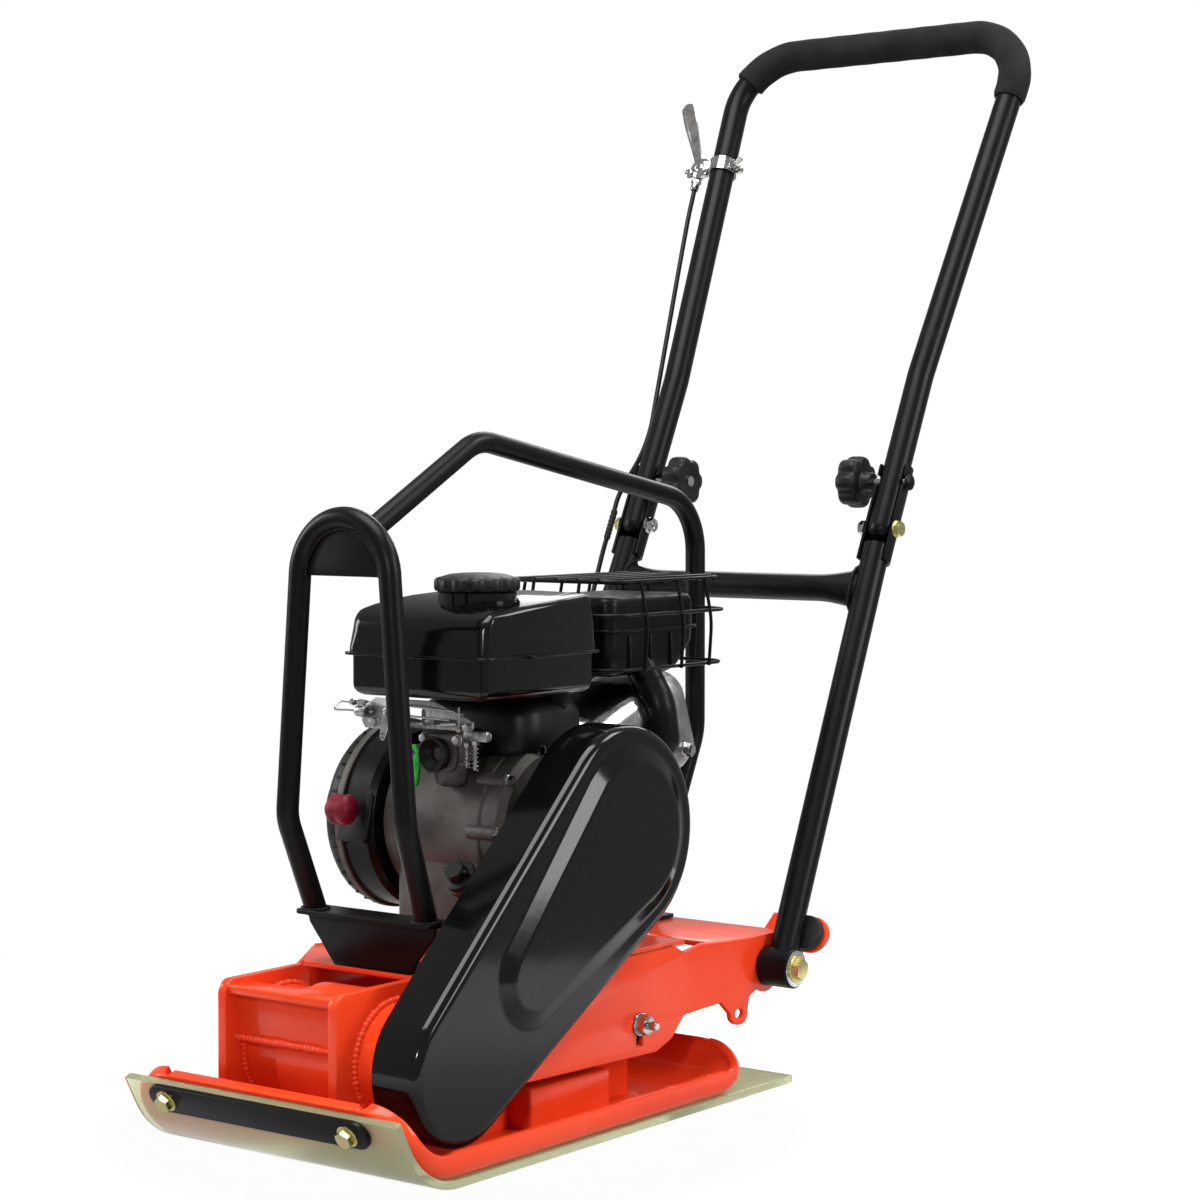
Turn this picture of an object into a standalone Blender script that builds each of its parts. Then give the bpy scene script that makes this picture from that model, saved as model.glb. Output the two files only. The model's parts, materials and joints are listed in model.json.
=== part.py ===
# Plate compactor: a vibrating sole plate with a petrol engine, a belt drive, a guard cage and a folding handle.
# Metres, +Z up, -Y is the front of the machine and +X its belt side. The floor is z = 0.
import math

import bmesh
import bpy
from mathutils import Matrix, Vector, geometry

# Gap between pieces that touch, gaps round pieces that turn and in bolt holes, overlap of welded pieces,
# and how far a cutter reaches past what it cuts.
FIT = 0.0003
RUNNING = 0.0012
HOLE_CLEARANCE = 0.0005
WELD = 0.0008
CUT_PAST = 0.004
CUTTER_REACH = 0.060

# Sole plate, a pressed tray with a tall front lip.
PLATE_WIDTH = 0.300
PLATE_LENGTH = 0.480
PLATE_SHEET = 0.006
FRONT_LIP_RADIUS = 0.065
FRONT_LIP_ANGLE = math.radians(62)
FRONT_LIP_STRAIGHT = 0.030
REAR_LIP_RADIUS = 0.040
REAR_LIP_ANGLE = math.radians(72)
REAR_LIP_STRAIGHT = 0.012
RIM_HEIGHT = 0.022
RIM_RADIUS = 0.010
LIP_CORNER = 0.038

# Paving pad under the plate, with the bar that clamps it.
PAD_THICKNESS = 0.007
PAD_OVERHANG = 0.068
PAD_FRONT_DROP = 0.003
CLAMP_LENGTH = 0.240
CLAMP_HEIGHT = 0.026
CLAMP_SHEET = 0.005
PAD_BOLT_SPAN = 0.200
PAD_BOLT_RADIUS = 0.004
PAD_BOLT_HEX = 0.0135
PAD_BOLT_HEAD = 0.0060
PAD_BOLT_WASHER = 0.0098

# Exciter: a welded tube with two ribs, an unbalanced shaft and two bearings.
EXCITER_SETBACK = 0.090
EXCITER_RISE = 0.075
EXCITER_RADIUS = 0.048
EXCITER_WALL = 0.010
EXCITER_LEFT = 0.075
EXCITER_RIGHT = 0.092
EXCITER_COVER = 0.007
EXCITER_COVER_INSET = 0.002
RIB_SPACING = 0.122
RIB_SHEET = 0.009
RIB_SETBACK = 0.020
RIB_LENGTH = 0.100
RIB_HEIGHT = 0.132
TIE_WIDTH = 0.028
TIE_SHEET = 0.008
EXCITER_SHAFT_RADIUS = 0.0125
EXCITER_SHAFT_INSET = 0.002
BEARING_WIDTH = 0.017
ECCENTRIC_RADIUS = 0.033
ECCENTRIC_LENGTH = 0.090

# Uprights on the plate and the rubber mounts that carry the deck.
UPRIGHT_FACE = 0.088
UPRIGHT_SHEET = 0.006
UPRIGHT_HEIGHT = 0.092
UPRIGHT_MARGIN = 0.028
UPRIGHT_CORNER = 0.0168
FOOT_RAIL_WIDTH = 0.024
FOOT_RAIL_HEIGHT = 0.035
FOOT_RAIL_LENGTH = 0.110
MOUNT_RADIUS = 0.018
MOUNT_WAIST = 0.0155
MOUNT_RISE = 0.0697
MOUNT_FRONT_INSET = 0.045
MOUNT_REAR_INSET = 0.067
STUD_RADIUS = 0.004
STUD_HEX = 0.013
STUD_NUT = 0.0065
STUD_WASHER = 0.0085
WASHER_SHEET = 0.0016

# Engine deck, a folded plate with flared arms for the handle.
DECK_WIDTH = 0.244
DECK_RISE = 0.1347
DECK_SHEET = 0.005
DECK_GAP = 0.003
DECK_LENGTH = 0.281
WALL_LOW = 0.041
WALL_TAPER = 0.006
HEEL_BACK = 0.025
HEEL_RUN = 0.023
HEEL_RISE = 0.008
ARM_STEP = 0.011
ARM_STEP_RUN = 0.020
ARM_FLARE = 0.020
ARM_FLARE_LENGTH = 0.074
ARM_DROP = 0.006
ARM_END_RADIUS = 0.0245
ARM_NECK = 0.027
ARM_NECK_DROP = 0.006
EAR_RADIUS = 0.0105
EAR_HOLE = 0.0045
EAR_DROP = 0.012
EAR_INSET = 0.002
EAR_RUN = 0.010
CROSS_START = 0.0296
CROSS_LENGTH = 0.098

# Handle: a lower frame on rubber bushes and an upper bow that folds forward.
PIVOT_INSET = 0.027
PIVOT_RISE = 0.0997
HANDLE_LEAN = math.radians(25.55)
HANDLE_TUBE = 0.013
SLEEVE_RADIUS = 0.0185
SLEEVE_LENGTH = 0.0315
SLEEVE_WALL = 0.005
PIVOT_BOLT_RADIUS = 0.005
PIVOT_BOLT_HEX = 0.017
PIVOT_BOLT_HEAD = 0.0065
PIVOT_WASHER = 0.0150
LOWER_TOP_X = 0.147
LOWER_BOTTOM_X = 0.1565
FOLD_REACH = 0.4386
CROSSBAR_REACH = 0.3753
CHANNEL_BELOW = 0.034
CHANNEL_ABOVE = 0.066
CHANNEL_SHEET = 0.0025
CHANNEL_FRONT = 0.0065
LOWER_END_GAP = 0.005
FOLD_BOLT_RADIUS = 0.004
FOLD_BOLT_HEX = 0.013
FOLD_BOLT_HEAD = 0.0055
KNOB_REACH = 0.0494
KNOB_RADIUS = 0.0255
KNOB_LOBES = 7
KNOB_DEPTH = 0.020
KNOB_STANDOFF = 0.017
KNOB_STUD_RADIUS = 0.004
KNOB_STUD_END = 0.006
KNOB_HUB = 0.0092
KNOB_EDGE = 0.003
BOW_REACH = 0.555
BOW_WIDTH = 0.347
BOW_STRAIGHT = 0.165
BOW_BEND = 0.062
GRIP_RADIUS = 0.0167
GRIP_LEFT = 0.172
GRIP_RIGHT = 0.222
STOP_PAD_SHEET = 0.008
STOP_SHEET = 0.005
STOP_LOW = 0.022
STOP_HIGH = 0.056
STOP_INNER = 0.107
STOP_OUTER = 0.184
STOP_SLOPE = 0.014
STOP_PAD_GAP = 0.004
STOP_PAD_INSET = 0.001

# Guard cage over the engine.
CAGE_TUBE = 0.0095
HOOP_AHEAD = 0.030
HOOP_TOP = 0.378
HOOP_BEND = 0.126
HOOP_FOOT = 0.046
HOOP_KICK = 0.031
HOOP_HALF_LOW = 0.066
HOOP_HALF_HIGH = 0.050
HOOP_HALF_FOOT = 0.062
HOOP_LEG_BEND = 0.040
SHELF_PAST = 0.004
SHELF_FRONT = 0.014
SHELF_REAR = 0.020
SKIRT_INSET = 0.034
SKIRT_CORNER = 0.006
SKIRT_EDGE = 0.012
SOLE_LENGTH = 0.036
CAGE_SHEET = 0.004
RAIL_APEX = 0.444
RAIL_APEX_BACK = 0.172
RAIL_SHOULDER = 0.385
RAIL_KICK_RISE = 0.165
RAIL_FOOT_INSET = 0.0206
RAIL_KICK = 0.081
RAIL_BEND = 0.055
RAIL_FOOT_HALF = 0.022
RAIL_FOOT_FRONT = 0.024
RAIL_FOOT_REAR = 0.016
RAIL_TAB = 0.040
RAIL_TAB_GAP = 0.004
RAIL_TAB_START = 0.012

# Engine: horizontal crankshaft along X, cylinder sloping up to the rear.
CRANK_BACK = 0.174
CRANK_RISE = 0.107
CRANK_RADIUS = 0.010
CASE_LEFT = 0.081
CASE_RIGHT = 0.055
CASE_RADIUS = 0.070
CASE_FOOT = 0.012
CASE_FOOT_LENGTH = 0.160
CASE_FOOT_INSET = 0.004
SUMP_INSET = 0.010
SUMP_HALF = 0.063
SUMP_EDGE = 0.008
SPOUT_RADIUS = 0.016
SPOUT_SLOPE = math.radians(36.87)
SPOUT_LENGTH = 0.052
SPOUT_INSET = 0.030
SPOUT_AHEAD = 0.0434
SPOUT_RISE = 0.038
DIPSTICK_RADIUS = 0.015
DIPSTICK_SHEET = 0.005
DIPSTICK_KNOB = 0.009
DIPSTICK_HEIGHT = 0.014
CYLINDER_SLOPE = math.radians(20)
CYLINDER_END = 0.178
CYLINDER_START = 0.056
CYLINDER_HALF = 0.040
FIN_HALF = 0.052
FIN_SHEET = 0.0028
FIN_COUNT = 5
FIN_CORNER = 0.018
FIRST_FIN = 0.0112
SHROUD_SHEET = 0.002
HEAD_LENGTH = 0.030
ROCKER_LENGTH = 0.026
ROCKER_HALF = 0.0458
ROCKER_EDGE = 0.006
FAN_RADIUS = 0.083
FAN_SHEET = 0.003
FAN_EDGE = 0.118
FAN_HUB_GAP = 0.004
RECOIL_FACE = 0.163
RECOIL_FACE_RADIUS = 0.058
RECOIL_SHOULDER = 0.143
RECOIL_ROUND = 0.010
RECOIL_HUB = 0.006
RECOIL_HUB_LENGTH = 0.020
LOUVRE_LENGTH = 0.040
LOUVRE_WIDTH = 0.016
LOUVRE_FLARE = 0.002
LOUVRE_DEPTH = 0.030
LOUVRE_COUNT = 6
FLYWHEEL_RADIUS = 0.072
FLYWHEEL_WIDTH = 0.018
FLYWHEEL_GAP = 0.006
CRANK_END = 0.004
STARTER_RADIUS = 0.040
STARTER_WIDTH = 0.010
STARTER_INSET = 0.018
STARTER_X = 0.100
STARTER_RISE = 0.009
STARTER_SLOPE = math.radians(14.065)
STARTER_GRIP_RADIUS = 0.017
STARTER_GRIP_GAP = 0.006
ROPE_RADIUS = 0.002

# Fuel tank on posts above the crankcase.
TANK_WIDTH = 0.156
TANK_AHEAD = 0.118
TANK_LENGTH = 0.157
TANK_RISE = 0.223
TANK_FRONT_HEIGHT = 0.062
TANK_REAR_HEIGHT = 0.090
TANK_SLOPE = 0.080
TANK_SEAM = 0.035
TANK_FLANGE = 0.013
TANK_SEAM_SHEET = 0.003
TANK_EDGE = 0.010
TANK_NOSE = 0.012
TANK_NOSE_STEP = 0.014
TANK_TAIL = 0.004
FLANGE_CORNER = 0.016
FILLER_X = 0.022
FILLER_BACK = 0.058
FILLER_RADIUS = 0.029
CAP_RADIUS = 0.0375
CAP_HEIGHT = 0.012
CAP_CROWN = 0.004
CAP_LOBES = 14
POST_RADIUS = 0.010
POST_LEFT = 0.028
POST_RIGHT = 0.012
POST_AHEAD = 0.042
POST_BEHIND = 0.022

# Silencer behind the tank with its wire guard.
SILENCER_WIDTH = 0.104
SILENCER_LENGTH = 0.130
SILENCER_HEIGHT = 0.072
SILENCER_BACK = 0.154
SILENCER_RISE = 0.267
WIRE_MARGIN = 0.016
WIRE_SIZE = 0.0034
WIRE_START = 0.006
SILENCER_EDGE = 0.016
SILENCER_FLANGE = 0.005
SILENCER_SEAM = 0.003
PIPE_RADIUS = 0.013

# Belt drive and its pressed guard.
BELT_X = 0.1295
BELT_WIDTH = 0.011
BELT_DEPTH = 0.008
BELT_TAPER = 0.72
CLUTCH_RADIUS = 0.056
DRIVEN_RADIUS = 0.041
PULLEY_RIM = 0.0025
CLUTCH_HUB_STEP = 0.010
CLUTCH_HUB_GAP = 0.020
GUARD_BACK = 0.096
GUARD_FACE = 0.142
GUARD_PANEL = 0.0045
GUARD_SHEET = 0.0025
GUARD_TOP_RADIUS = 0.093
GUARD_LOW_RADIUS = 0.062
GUARD_EDGE = 0.008
PANEL_INSET = 0.020
PANEL_END = 0.62
PANEL_LOW_RADIUS = 0.040

# Throttle lever on the bow, its cable and the control on the engine.
LEVER_REACH = 0.420
CLAMP_WIDTH = 0.015
CLAMP_WALL = 0.004
LEVER_OFFSET = 0.027
LEVER_LENGTH = 0.093
LEVER_SPREAD = math.radians(27)
LEVER_SHEET = 0.004
LEVER_EYE = 0.0095
LEVER_TIP = 0.007
LEVER_PIN = 0.004
LEVER_PIN_END = 0.003
LUG_SHEET = 0.005
LUG_HALF = 0.006
LUG_END = 0.008
LUG_DROP = 0.014
WING_RADIUS = 0.003
WING_LENGTH = 0.020
WING_ROOT = 0.014
WING_TIP = 0.026
WING_ROOT_HALF = 0.008
WING_TIP_HALF = 0.010
CABLE_RADIUS = 0.0025
CABLE_OFFSET = 0.032
CABLE_FOLD_GAP = 0.0038
CABLE_START = 0.018
CABLE_RUN = 0.030
CABLE_DROP = 0.050
CABLE_CLIP = 0.010
CABLE_TIE = 0.107
CABLE_EASE = 0.003
CABLE_STEP = 0.019
CABLE_LOW_OUT = 0.0128
CABLE_SAG = Vector((0.004, -0.030, -0.024))
CABLE_BELOW_FAN = Vector((-0.1817, 0.112, -0.105))
CABLE_BESIDE_FAN = Vector((-0.176, 0.042, 0.075))
CABLE_INTO_CLIP = Vector((-0.050, 0.030, 0.004))
CABLE_LEAD_IN = 0.016
CABLE_LEAD_OUT = 0.012
CARB_X = -0.003
CARB_BACK = 0.066
CARB_RISE = 0.178
CARB_SIZE = 0.036
HORN_RADIUS = 0.0155
HORN_LENGTH = 0.009
PIN_RADIUS = 0.003
PIN_END = 0.002
EYE_RADIUS = 0.0065
TIP_RADIUS = 0.004
CHOKE_OFFSET = 0.0245
CHOKE_EAR = 0.006
CHOKE_EAR_INNER = 0.014
CHOKE_EAR_DEPTH = 0.012
CARB_EDGE = 0.004
HORN_WALL = 0.0046
HORN_DROP = 0.0045
CHOKE_LENGTH = 0.030
CONTROL_LEFT = 0.085
CONTROL_RIGHT = 0.042
CONTROL_SHEET = 0.002
THROTTLE_ARM = 0.024
THROTTLE_ARM_LEFT = 0.0527
CONTROL_GAP = 0.003
CONTROL_TOP_GAP = 0.004
CONTROL_END = 0.012
CONTROL_SHOULDER = 0.020
CONTROL_CORNER = 0.010
CLIP_HALF = 0.006
CLIP_HEIGHT = 0.011
CLIP_DEPTH = 0.014
CLIP_DROP = 0.012

# How finely the rounds are cut.
TUBE_SIDES = 10
EXCITER_SIDES = 20
LIP_STEPS = 5
CASE_SIDES = 24
SLEEVE_SIDES = 14
FAN_SIDES = 24

# Heights and places worked out from the sizes above.
plate_under = PAD_THICKNESS + FIT
floor_top = plate_under + PLATE_SHEET
plate_front = -PLATE_LENGTH / 2
plate_rear = PLATE_LENGTH / 2
front_lip = FRONT_LIP_RADIUS * math.sin(FRONT_LIP_ANGLE) + FRONT_LIP_STRAIGHT * math.cos(FRONT_LIP_ANGLE)
rear_lip = REAR_LIP_RADIUS * math.sin(REAR_LIP_ANGLE) + REAR_LIP_STRAIGHT * math.cos(REAR_LIP_ANGLE)
front_flat = plate_front + front_lip
rear_flat = plate_rear - rear_lip
exciter = Vector((0, plate_front + EXCITER_SETBACK, floor_top + EXCITER_RISE))
exciter_bore = EXCITER_RADIUS - EXCITER_WALL
mount_z = floor_top + MOUNT_RISE
deck_top = floor_top + DECK_RISE
deck_half = DECK_WIDTH / 2
deck_front = exciter.y + DRIVEN_RADIUS + DECK_GAP
deck_rear = deck_front + DECK_LENGTH
mount_places = (("front", deck_front + MOUNT_FRONT_INSET), ("rear", deck_rear - MOUNT_REAR_INSET))
arm_y = deck_rear + ARM_FLARE_LENGTH
arm_top = deck_top - ARM_DROP
cross_front = deck_rear + CROSS_START
cross_rear = cross_front + CROSS_LENGTH
crank = Vector((0, deck_front + CRANK_BACK, deck_top + CRANK_RISE))
pivot = Vector((0, arm_y + PIVOT_INSET, floor_top + PIVOT_RISE))
arm_face = deck_half + ARM_FLARE
along_handle = Vector((0, math.sin(HANDLE_LEAN), math.cos(HANDLE_LEAN)))
behind_handle = Vector((0, math.cos(HANDLE_LEAN), -math.sin(HANDLE_LEAN)))
hoop_y = deck_front - HOOP_AHEAD
channel_half = HANDLE_TUBE + FIT
channel_out = channel_half / math.cos(math.pi / TUBE_SIDES) + CHANNEL_SHEET
sides = (("left", -1), ("right", 1))


def on_handle(x, reach, back=0.0):
    """A point of the handle plane, reach metres up from the pivot and back metres behind it."""
    return pivot + along_handle * reach + behind_handle * back + Vector((x, 0, 0))


# Scene, collections and materials

for leftover in list(bpy.data.objects):
    bpy.data.objects.remove(leftover, do_unlink=True)

parts = bpy.data.collections.new("plate_compactor")
bpy.context.scene.collection.children.link(parts)


def paint(name, colour, roughness, metallic=0.0):
    material = bpy.data.materials.new(name)
    material.use_nodes = True
    shader = material.node_tree.nodes["Principled BSDF"]
    shader.inputs["Base Color"].default_value = (*colour, 1)
    shader.inputs["Roughness"].default_value = roughness
    shader.inputs["Metallic"].default_value = metallic
    return material


orange_paint = paint("orange_paint", (0.85, 0.06, 0.015), 0.3)
black_coat = paint("black_coat", (0.012, 0.012, 0.013), 0.42)
gloss_black = paint("gloss_black", (0.008, 0.008, 0.009), 0.15)
black_plastic = paint("black_plastic", (0.02, 0.02, 0.021), 0.5)
foam = paint("foam", (0.018, 0.018, 0.019), 0.85)
rubber = paint("rubber", (0.02, 0.02, 0.02), 0.8)
clear_pad = paint("clear_pad", (0.62, 0.72, 0.45), 0.2)
cast_alloy = paint("cast_alloy", (0.42, 0.42, 0.41), 0.5, 0.8)
bright_steel = paint("bright_steel", (0.72, 0.72, 0.72), 0.22, 1.0)
yellow_zinc = paint("yellow_zinc", (0.62, 0.5, 0.22), 0.35, 1.0)
plain_steel = paint("plain_steel", (0.5, 0.5, 0.5), 0.4, 1.0)
dark_red = paint("dark_red", (0.32, 0.01, 0.035), 0.45)
green_plastic = paint("green_plastic", (0.03, 0.32, 0.05), 0.4)


# Modelling helpers

def keep(obj, material):
    obj.data.materials.clear()
    obj.data.materials.append(material)
    obj.data.shade_smooth()
    obj.data.set_sharp_from_angle(angle=math.radians(35))
    return obj


def link(name, mesh):
    obj = bpy.data.objects.new(name, mesh)
    parts.objects.link(obj)
    return obj


def settle(obj):
    """Turns an object with modifiers, or a curve, into a plain closed mesh object in world space."""
    bpy.context.view_layer.update()
    graph = bpy.context.evaluated_depsgraph_get()
    mesh = bpy.data.meshes.new_from_object(obj.evaluated_get(graph))
    mesh.transform(obj.matrix_world)
    name = obj.name
    bpy.data.objects.remove(obj, do_unlink=True)
    work = bmesh.new()
    work.from_mesh(mesh)
    bmesh.ops.remove_doubles(work, verts=work.verts, dist=1e-6)
    bmesh.ops.recalc_face_normals(work, faces=work.faces)
    work.to_mesh(mesh)
    work.free()
    return link(name, mesh)


def frame(origin, x_axis, y_axis):
    x_axis = Vector(x_axis).normalized()
    y_axis = Vector(y_axis).normalized()
    matrix = Matrix((x_axis, y_axis, x_axis.cross(y_axis))).transposed().to_4x4()
    matrix.translation = Vector(origin)
    return matrix


def along(origin, axis):
    """A frame whose Z runs along axis."""
    axis = Vector(axis).normalized()
    side = Vector((0, 0, 1)) if abs(axis.z) < 0.9 else Vector((0, 1, 0))
    return frame(origin, side.cross(axis), axis.cross(side.cross(axis)))


def side_view(x):
    """A frame that lays an outline of (y, z) points in the plane at x."""
    return frame((x, 0, 0), (0, 1, 0), (0, 0, 1))


def prism(name, loops, thickness, place):
    """A flat outline, with its holes, thickened evenly to both sides of its plane."""
    curve = bpy.data.curves.new(name, "CURVE")
    curve.dimensions = "2D"
    curve.fill_mode = "BOTH"
    curve.extrude = thickness / 2
    for loop in loops:
        spline = curve.splines.new("POLY")
        spline.points.add(len(loop) - 1)
        for point, (x, y) in zip(spline.points, loop):
            point.co = (x, y, 0, 1)
        spline.use_cyclic_u = True
    obj = link(name, curve)
    obj.matrix_world = place
    return settle(obj)


def tube(name, path, radius, resolution=TUBE_SIDES // 2 - 2):
    curve = bpy.data.curves.new(name, "CURVE")
    curve.dimensions = "3D"
    curve.bevel_depth = radius
    curve.bevel_resolution = resolution
    curve.use_fill_caps = True
    spline = curve.splines.new("POLY")
    spline.points.add(len(path) - 1)
    for point, place in zip(spline.points, path):
        point.co = (*place, 1)
    return settle(link(name, curve))


def turned(name, profile, place, steps=20, closed=False):
    """A profile of (radius, height) points turned round the frame's Z."""
    mesh = bpy.data.meshes.new(name)
    count = len(profile)
    edges = [(i, i + 1) for i in range(count - 1)]
    if closed:
        edges.append((count - 1, 0))
    mesh.from_pydata([(r, 0, h) for r, h in profile], edges, [])
    obj = link(name, mesh)
    obj.matrix_world = place
    screw = obj.modifiers.new("turn", "SCREW")
    screw.steps = steps
    screw.render_steps = steps
    screw.use_merge_vertices = True
    screw.merge_threshold = 1e-5
    return settle(obj)


def ring(name, inner, outer, low, high, place, steps=16):
    return turned(name, [(outer, high), (outer, low), (inner, low), (inner, high)], place, steps, True)


def block(name, low, high):
    low, high = Vector(low), Vector(high)
    work = bmesh.new()
    bmesh.ops.create_cube(work, size=1)
    size = high - low
    bmesh.ops.scale(work, vec=size, verts=work.verts)
    bmesh.ops.translate(work, vec=(low + high) / 2, verts=work.verts)
    mesh = bpy.data.meshes.new(name)
    work.to_mesh(mesh)
    work.free()
    return link(name, mesh)


def rod(name, start, end, radius, sides=16, tip=None):
    start, end = Vector(start), Vector(end)
    work = bmesh.new()
    length = (end - start).length
    tip = radius if tip is None else tip
    bmesh.ops.create_cone(work, cap_ends=True, segments=sides, radius1=radius, radius2=tip, depth=length)
    bmesh.ops.transform(work, matrix=along((start + end) / 2, end - start), verts=work.verts)
    mesh = bpy.data.meshes.new(name)
    work.to_mesh(mesh)
    work.free()
    return link(name, mesh)


def ball(name, centre, radius, segments=16):
    work = bmesh.new()
    bmesh.ops.create_uvsphere(work, u_segments=segments, v_segments=segments // 2, radius=radius)
    bmesh.ops.translate(work, vec=Vector(centre), verts=work.verts)
    mesh = bpy.data.meshes.new(name)
    work.to_mesh(mesh)
    work.free()
    return link(name, mesh)


def boolean(target, others, operation):
    for other in others:
        change = target.modifiers.new(operation.lower(), "BOOLEAN")
        change.operation = operation
        change.object = other
    solid = settle(target)
    for other in others:
        bpy.data.objects.remove(other, do_unlink=True)
    return solid


def unite(target, *others):
    return boolean(target, others, "UNION")


def cut(target, *others):
    return boolean(target, others, "DIFFERENCE")


def soften(obj, width, segments=2, angle=40):
    bevel = obj.modifiers.new("soft edges", "BEVEL")
    bevel.width = width
    bevel.segments = segments
    bevel.limit_method = "ANGLE"
    bevel.angle_limit = math.radians(angle)
    bevel.harden_normals = False
    return settle(obj)


def arc(centre, radius, start, end, steps):
    """Points of an arc in degrees, counted from the first axis of its plane."""
    angles = [math.radians(start + (end - start) * i / steps) for i in range(steps + 1)]
    return [(centre[0] + radius * math.cos(a), centre[1] + radius * math.sin(a)) for a in angles]


def rounded(points, radius, steps=5):
    """A polyline through the points, with each inner corner an arc of the radius."""
    points = [Vector(p) for p in points]
    path = [points[0]]
    for before, corner, after in zip(points, points[1:], points[2:]):
        into = (before - corner).normalized()
        out = (after - corner).normalized()
        half = into.angle(out) / 2
        reach = radius / math.tan(half)
        centre = corner + (into + out).normalized() * radius / math.sin(half)
        start = corner + into * reach - centre
        turn = math.pi - 2 * half
        axis = into.cross(out)
        for i in range(steps + 1):
            path.append(centre + Matrix.Rotation(-turn * i / steps, 3, axis) @ start)
    return path + [points[-1]]


def stretch(path, low, high):
    """The part of a polyline between two lengths from its start."""
    found = []
    walked = 0.0
    for a, b in zip(path, path[1:]):
        step = (b - a).length
        for mark in (low, high):
            if walked < mark < walked + step:
                found.append((mark, a.lerp(b, (mark - walked) / step)))
        if low < walked + step < high:
            found.append((walked + step, b))
        walked += step
    return [place for _, place in sorted(found, key=lambda item: item[0])]


def path_length(path):
    return sum((b - a).length for a, b in zip(path, path[1:]))


def bolt(name, seat, axis, grip, radius, hexagon, head, washer, material, nut=None):
    """A bolt whose head sits at seat and looks along axis, with its nut grip metres behind."""
    axis = Vector(axis).normalized()
    seat = Vector(seat) + axis * FIT
    nut = head if nut is None else nut
    far = seat - axis * (grip + 2 * FIT)
    corner = hexagon / math.sqrt(3)
    pieces = [
        rod("washer", seat, seat + axis * WASHER_SHEET, washer, 10),
        rod("head", seat + axis * (WASHER_SHEET - WELD), seat + axis * (WASHER_SHEET + head), corner, 6),
        rod("nut", far, far - axis * nut, corner, 6),
    ]
    shank = rod(name, seat + axis * WELD, far - axis * (nut + radius / 2), radius, 8)
    return keep(unite(shank, *pieces), material)


def hang_on(axis_name, place, *pieces):
    """Puts moving pieces under an empty that stands on their joint's axis."""
    empty = bpy.data.objects.new(axis_name, None)
    empty.location = place
    empty.empty_display_size = 0.03
    parts.objects.link(empty)
    bpy.context.view_layer.update()
    for piece in pieces:
        piece.parent = empty
        piece.matrix_parent_inverse = empty.matrix_world.inverted()
    return empty


# Sole plate

def plate_stations():
    """Stations (y, z, slope, run from the tip, lip share) along the under side of the plate."""
    stations = []
    tip_y = front_flat - FRONT_LIP_RADIUS * math.sin(FRONT_LIP_ANGLE)
    tip_z = plate_under + FRONT_LIP_RADIUS * (1 - math.cos(FRONT_LIP_ANGLE))
    for share in (1, 0.84, 0.5):
        run = FRONT_LIP_STRAIGHT * share
        y = tip_y - run * math.cos(FRONT_LIP_ANGLE)
        z = tip_z + run * math.sin(FRONT_LIP_ANGLE)
        stations.append((y, z, -FRONT_LIP_ANGLE, FRONT_LIP_STRAIGHT - run, 1.0))
    for i in range(LIP_STEPS + 1):
        angle = FRONT_LIP_ANGLE * (1 - i / LIP_STEPS)
        y = front_flat - FRONT_LIP_RADIUS * math.sin(angle)
        z = plate_under + FRONT_LIP_RADIUS * (1 - math.cos(angle))
        run = FRONT_LIP_STRAIGHT + FRONT_LIP_RADIUS * (FRONT_LIP_ANGLE - angle)
        stations.append((y, z, -angle, run, angle / FRONT_LIP_ANGLE))
    for i in range(LIP_STEPS + 1):
        angle = REAR_LIP_ANGLE * i / LIP_STEPS
        y = rear_flat + REAR_LIP_RADIUS * math.sin(angle)
        z = plate_under + REAR_LIP_RADIUS * (1 - math.cos(angle))
        run = REAR_LIP_STRAIGHT + REAR_LIP_RADIUS * (REAR_LIP_ANGLE - angle)
        stations.append((y, z, angle, run, angle / REAR_LIP_ANGLE))
    y, z, slope = stations[-1][:3]
    for share in (0.6, 1):
        run = REAR_LIP_STRAIGHT * share
        stations.append((y + run * math.cos(slope), z + run * math.sin(slope), slope,
                         REAR_LIP_STRAIGHT - run, 1.0))
    return stations


def plate_section(run, lip):
    """Half of a cross section as (x, height over the under side), from the middle outwards."""
    half = PLATE_WIDTH / 2
    if run < LIP_CORNER:
        half -= LIP_CORNER - math.sqrt(LIP_CORNER ** 2 - (LIP_CORNER - run) ** 2)
    height = RIM_HEIGHT + (RIM_RADIUS * 1.15 - RIM_HEIGHT) * lip
    bend = arc((half - RIM_RADIUS, RIM_RADIUS), RIM_RADIUS, -90, 0, 2)
    return bend + [(half, height)]


def make_base_plate():
    rows = []
    work = bmesh.new()
    for y, z, slope, run, lip in plate_stations():
        right = plate_section(run, lip)
        section = [(-x, h) for x, h in reversed(right)] + right
        row = [work.verts.new((x, y - h * math.sin(slope), z + h * math.cos(slope))) for x, h in section]
        rows.append(row)
    for row, following in zip(rows, rows[1:]):
        for i in range(len(row) - 1):
            work.faces.new((row[i], row[i + 1], following[i + 1], following[i]))
    bmesh.ops.recalc_face_normals(work, faces=work.faces)
    mesh = bpy.data.meshes.new("base_plate")
    work.to_mesh(mesh)
    work.free()
    middle = mesh.polygons[len(mesh.polygons) // 2]
    plate = link("base_plate", mesh)
    wall = plate.modifiers.new("sheet", "SOLIDIFY")
    wall.thickness = PLATE_SHEET
    wall.offset = 1 if middle.normal.z > 0 else -1
    wall.use_even_offset = True
    plate = settle(plate)
    plate = unite(plate, *make_uprights())
    holes = [pad_bolt_rod(f"hole_{name}", side, PAD_BOLT_RADIUS + HOLE_CLEARANCE) for name, side in sides]
    return keep(cut(plate, *holes), orange_paint)


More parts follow.
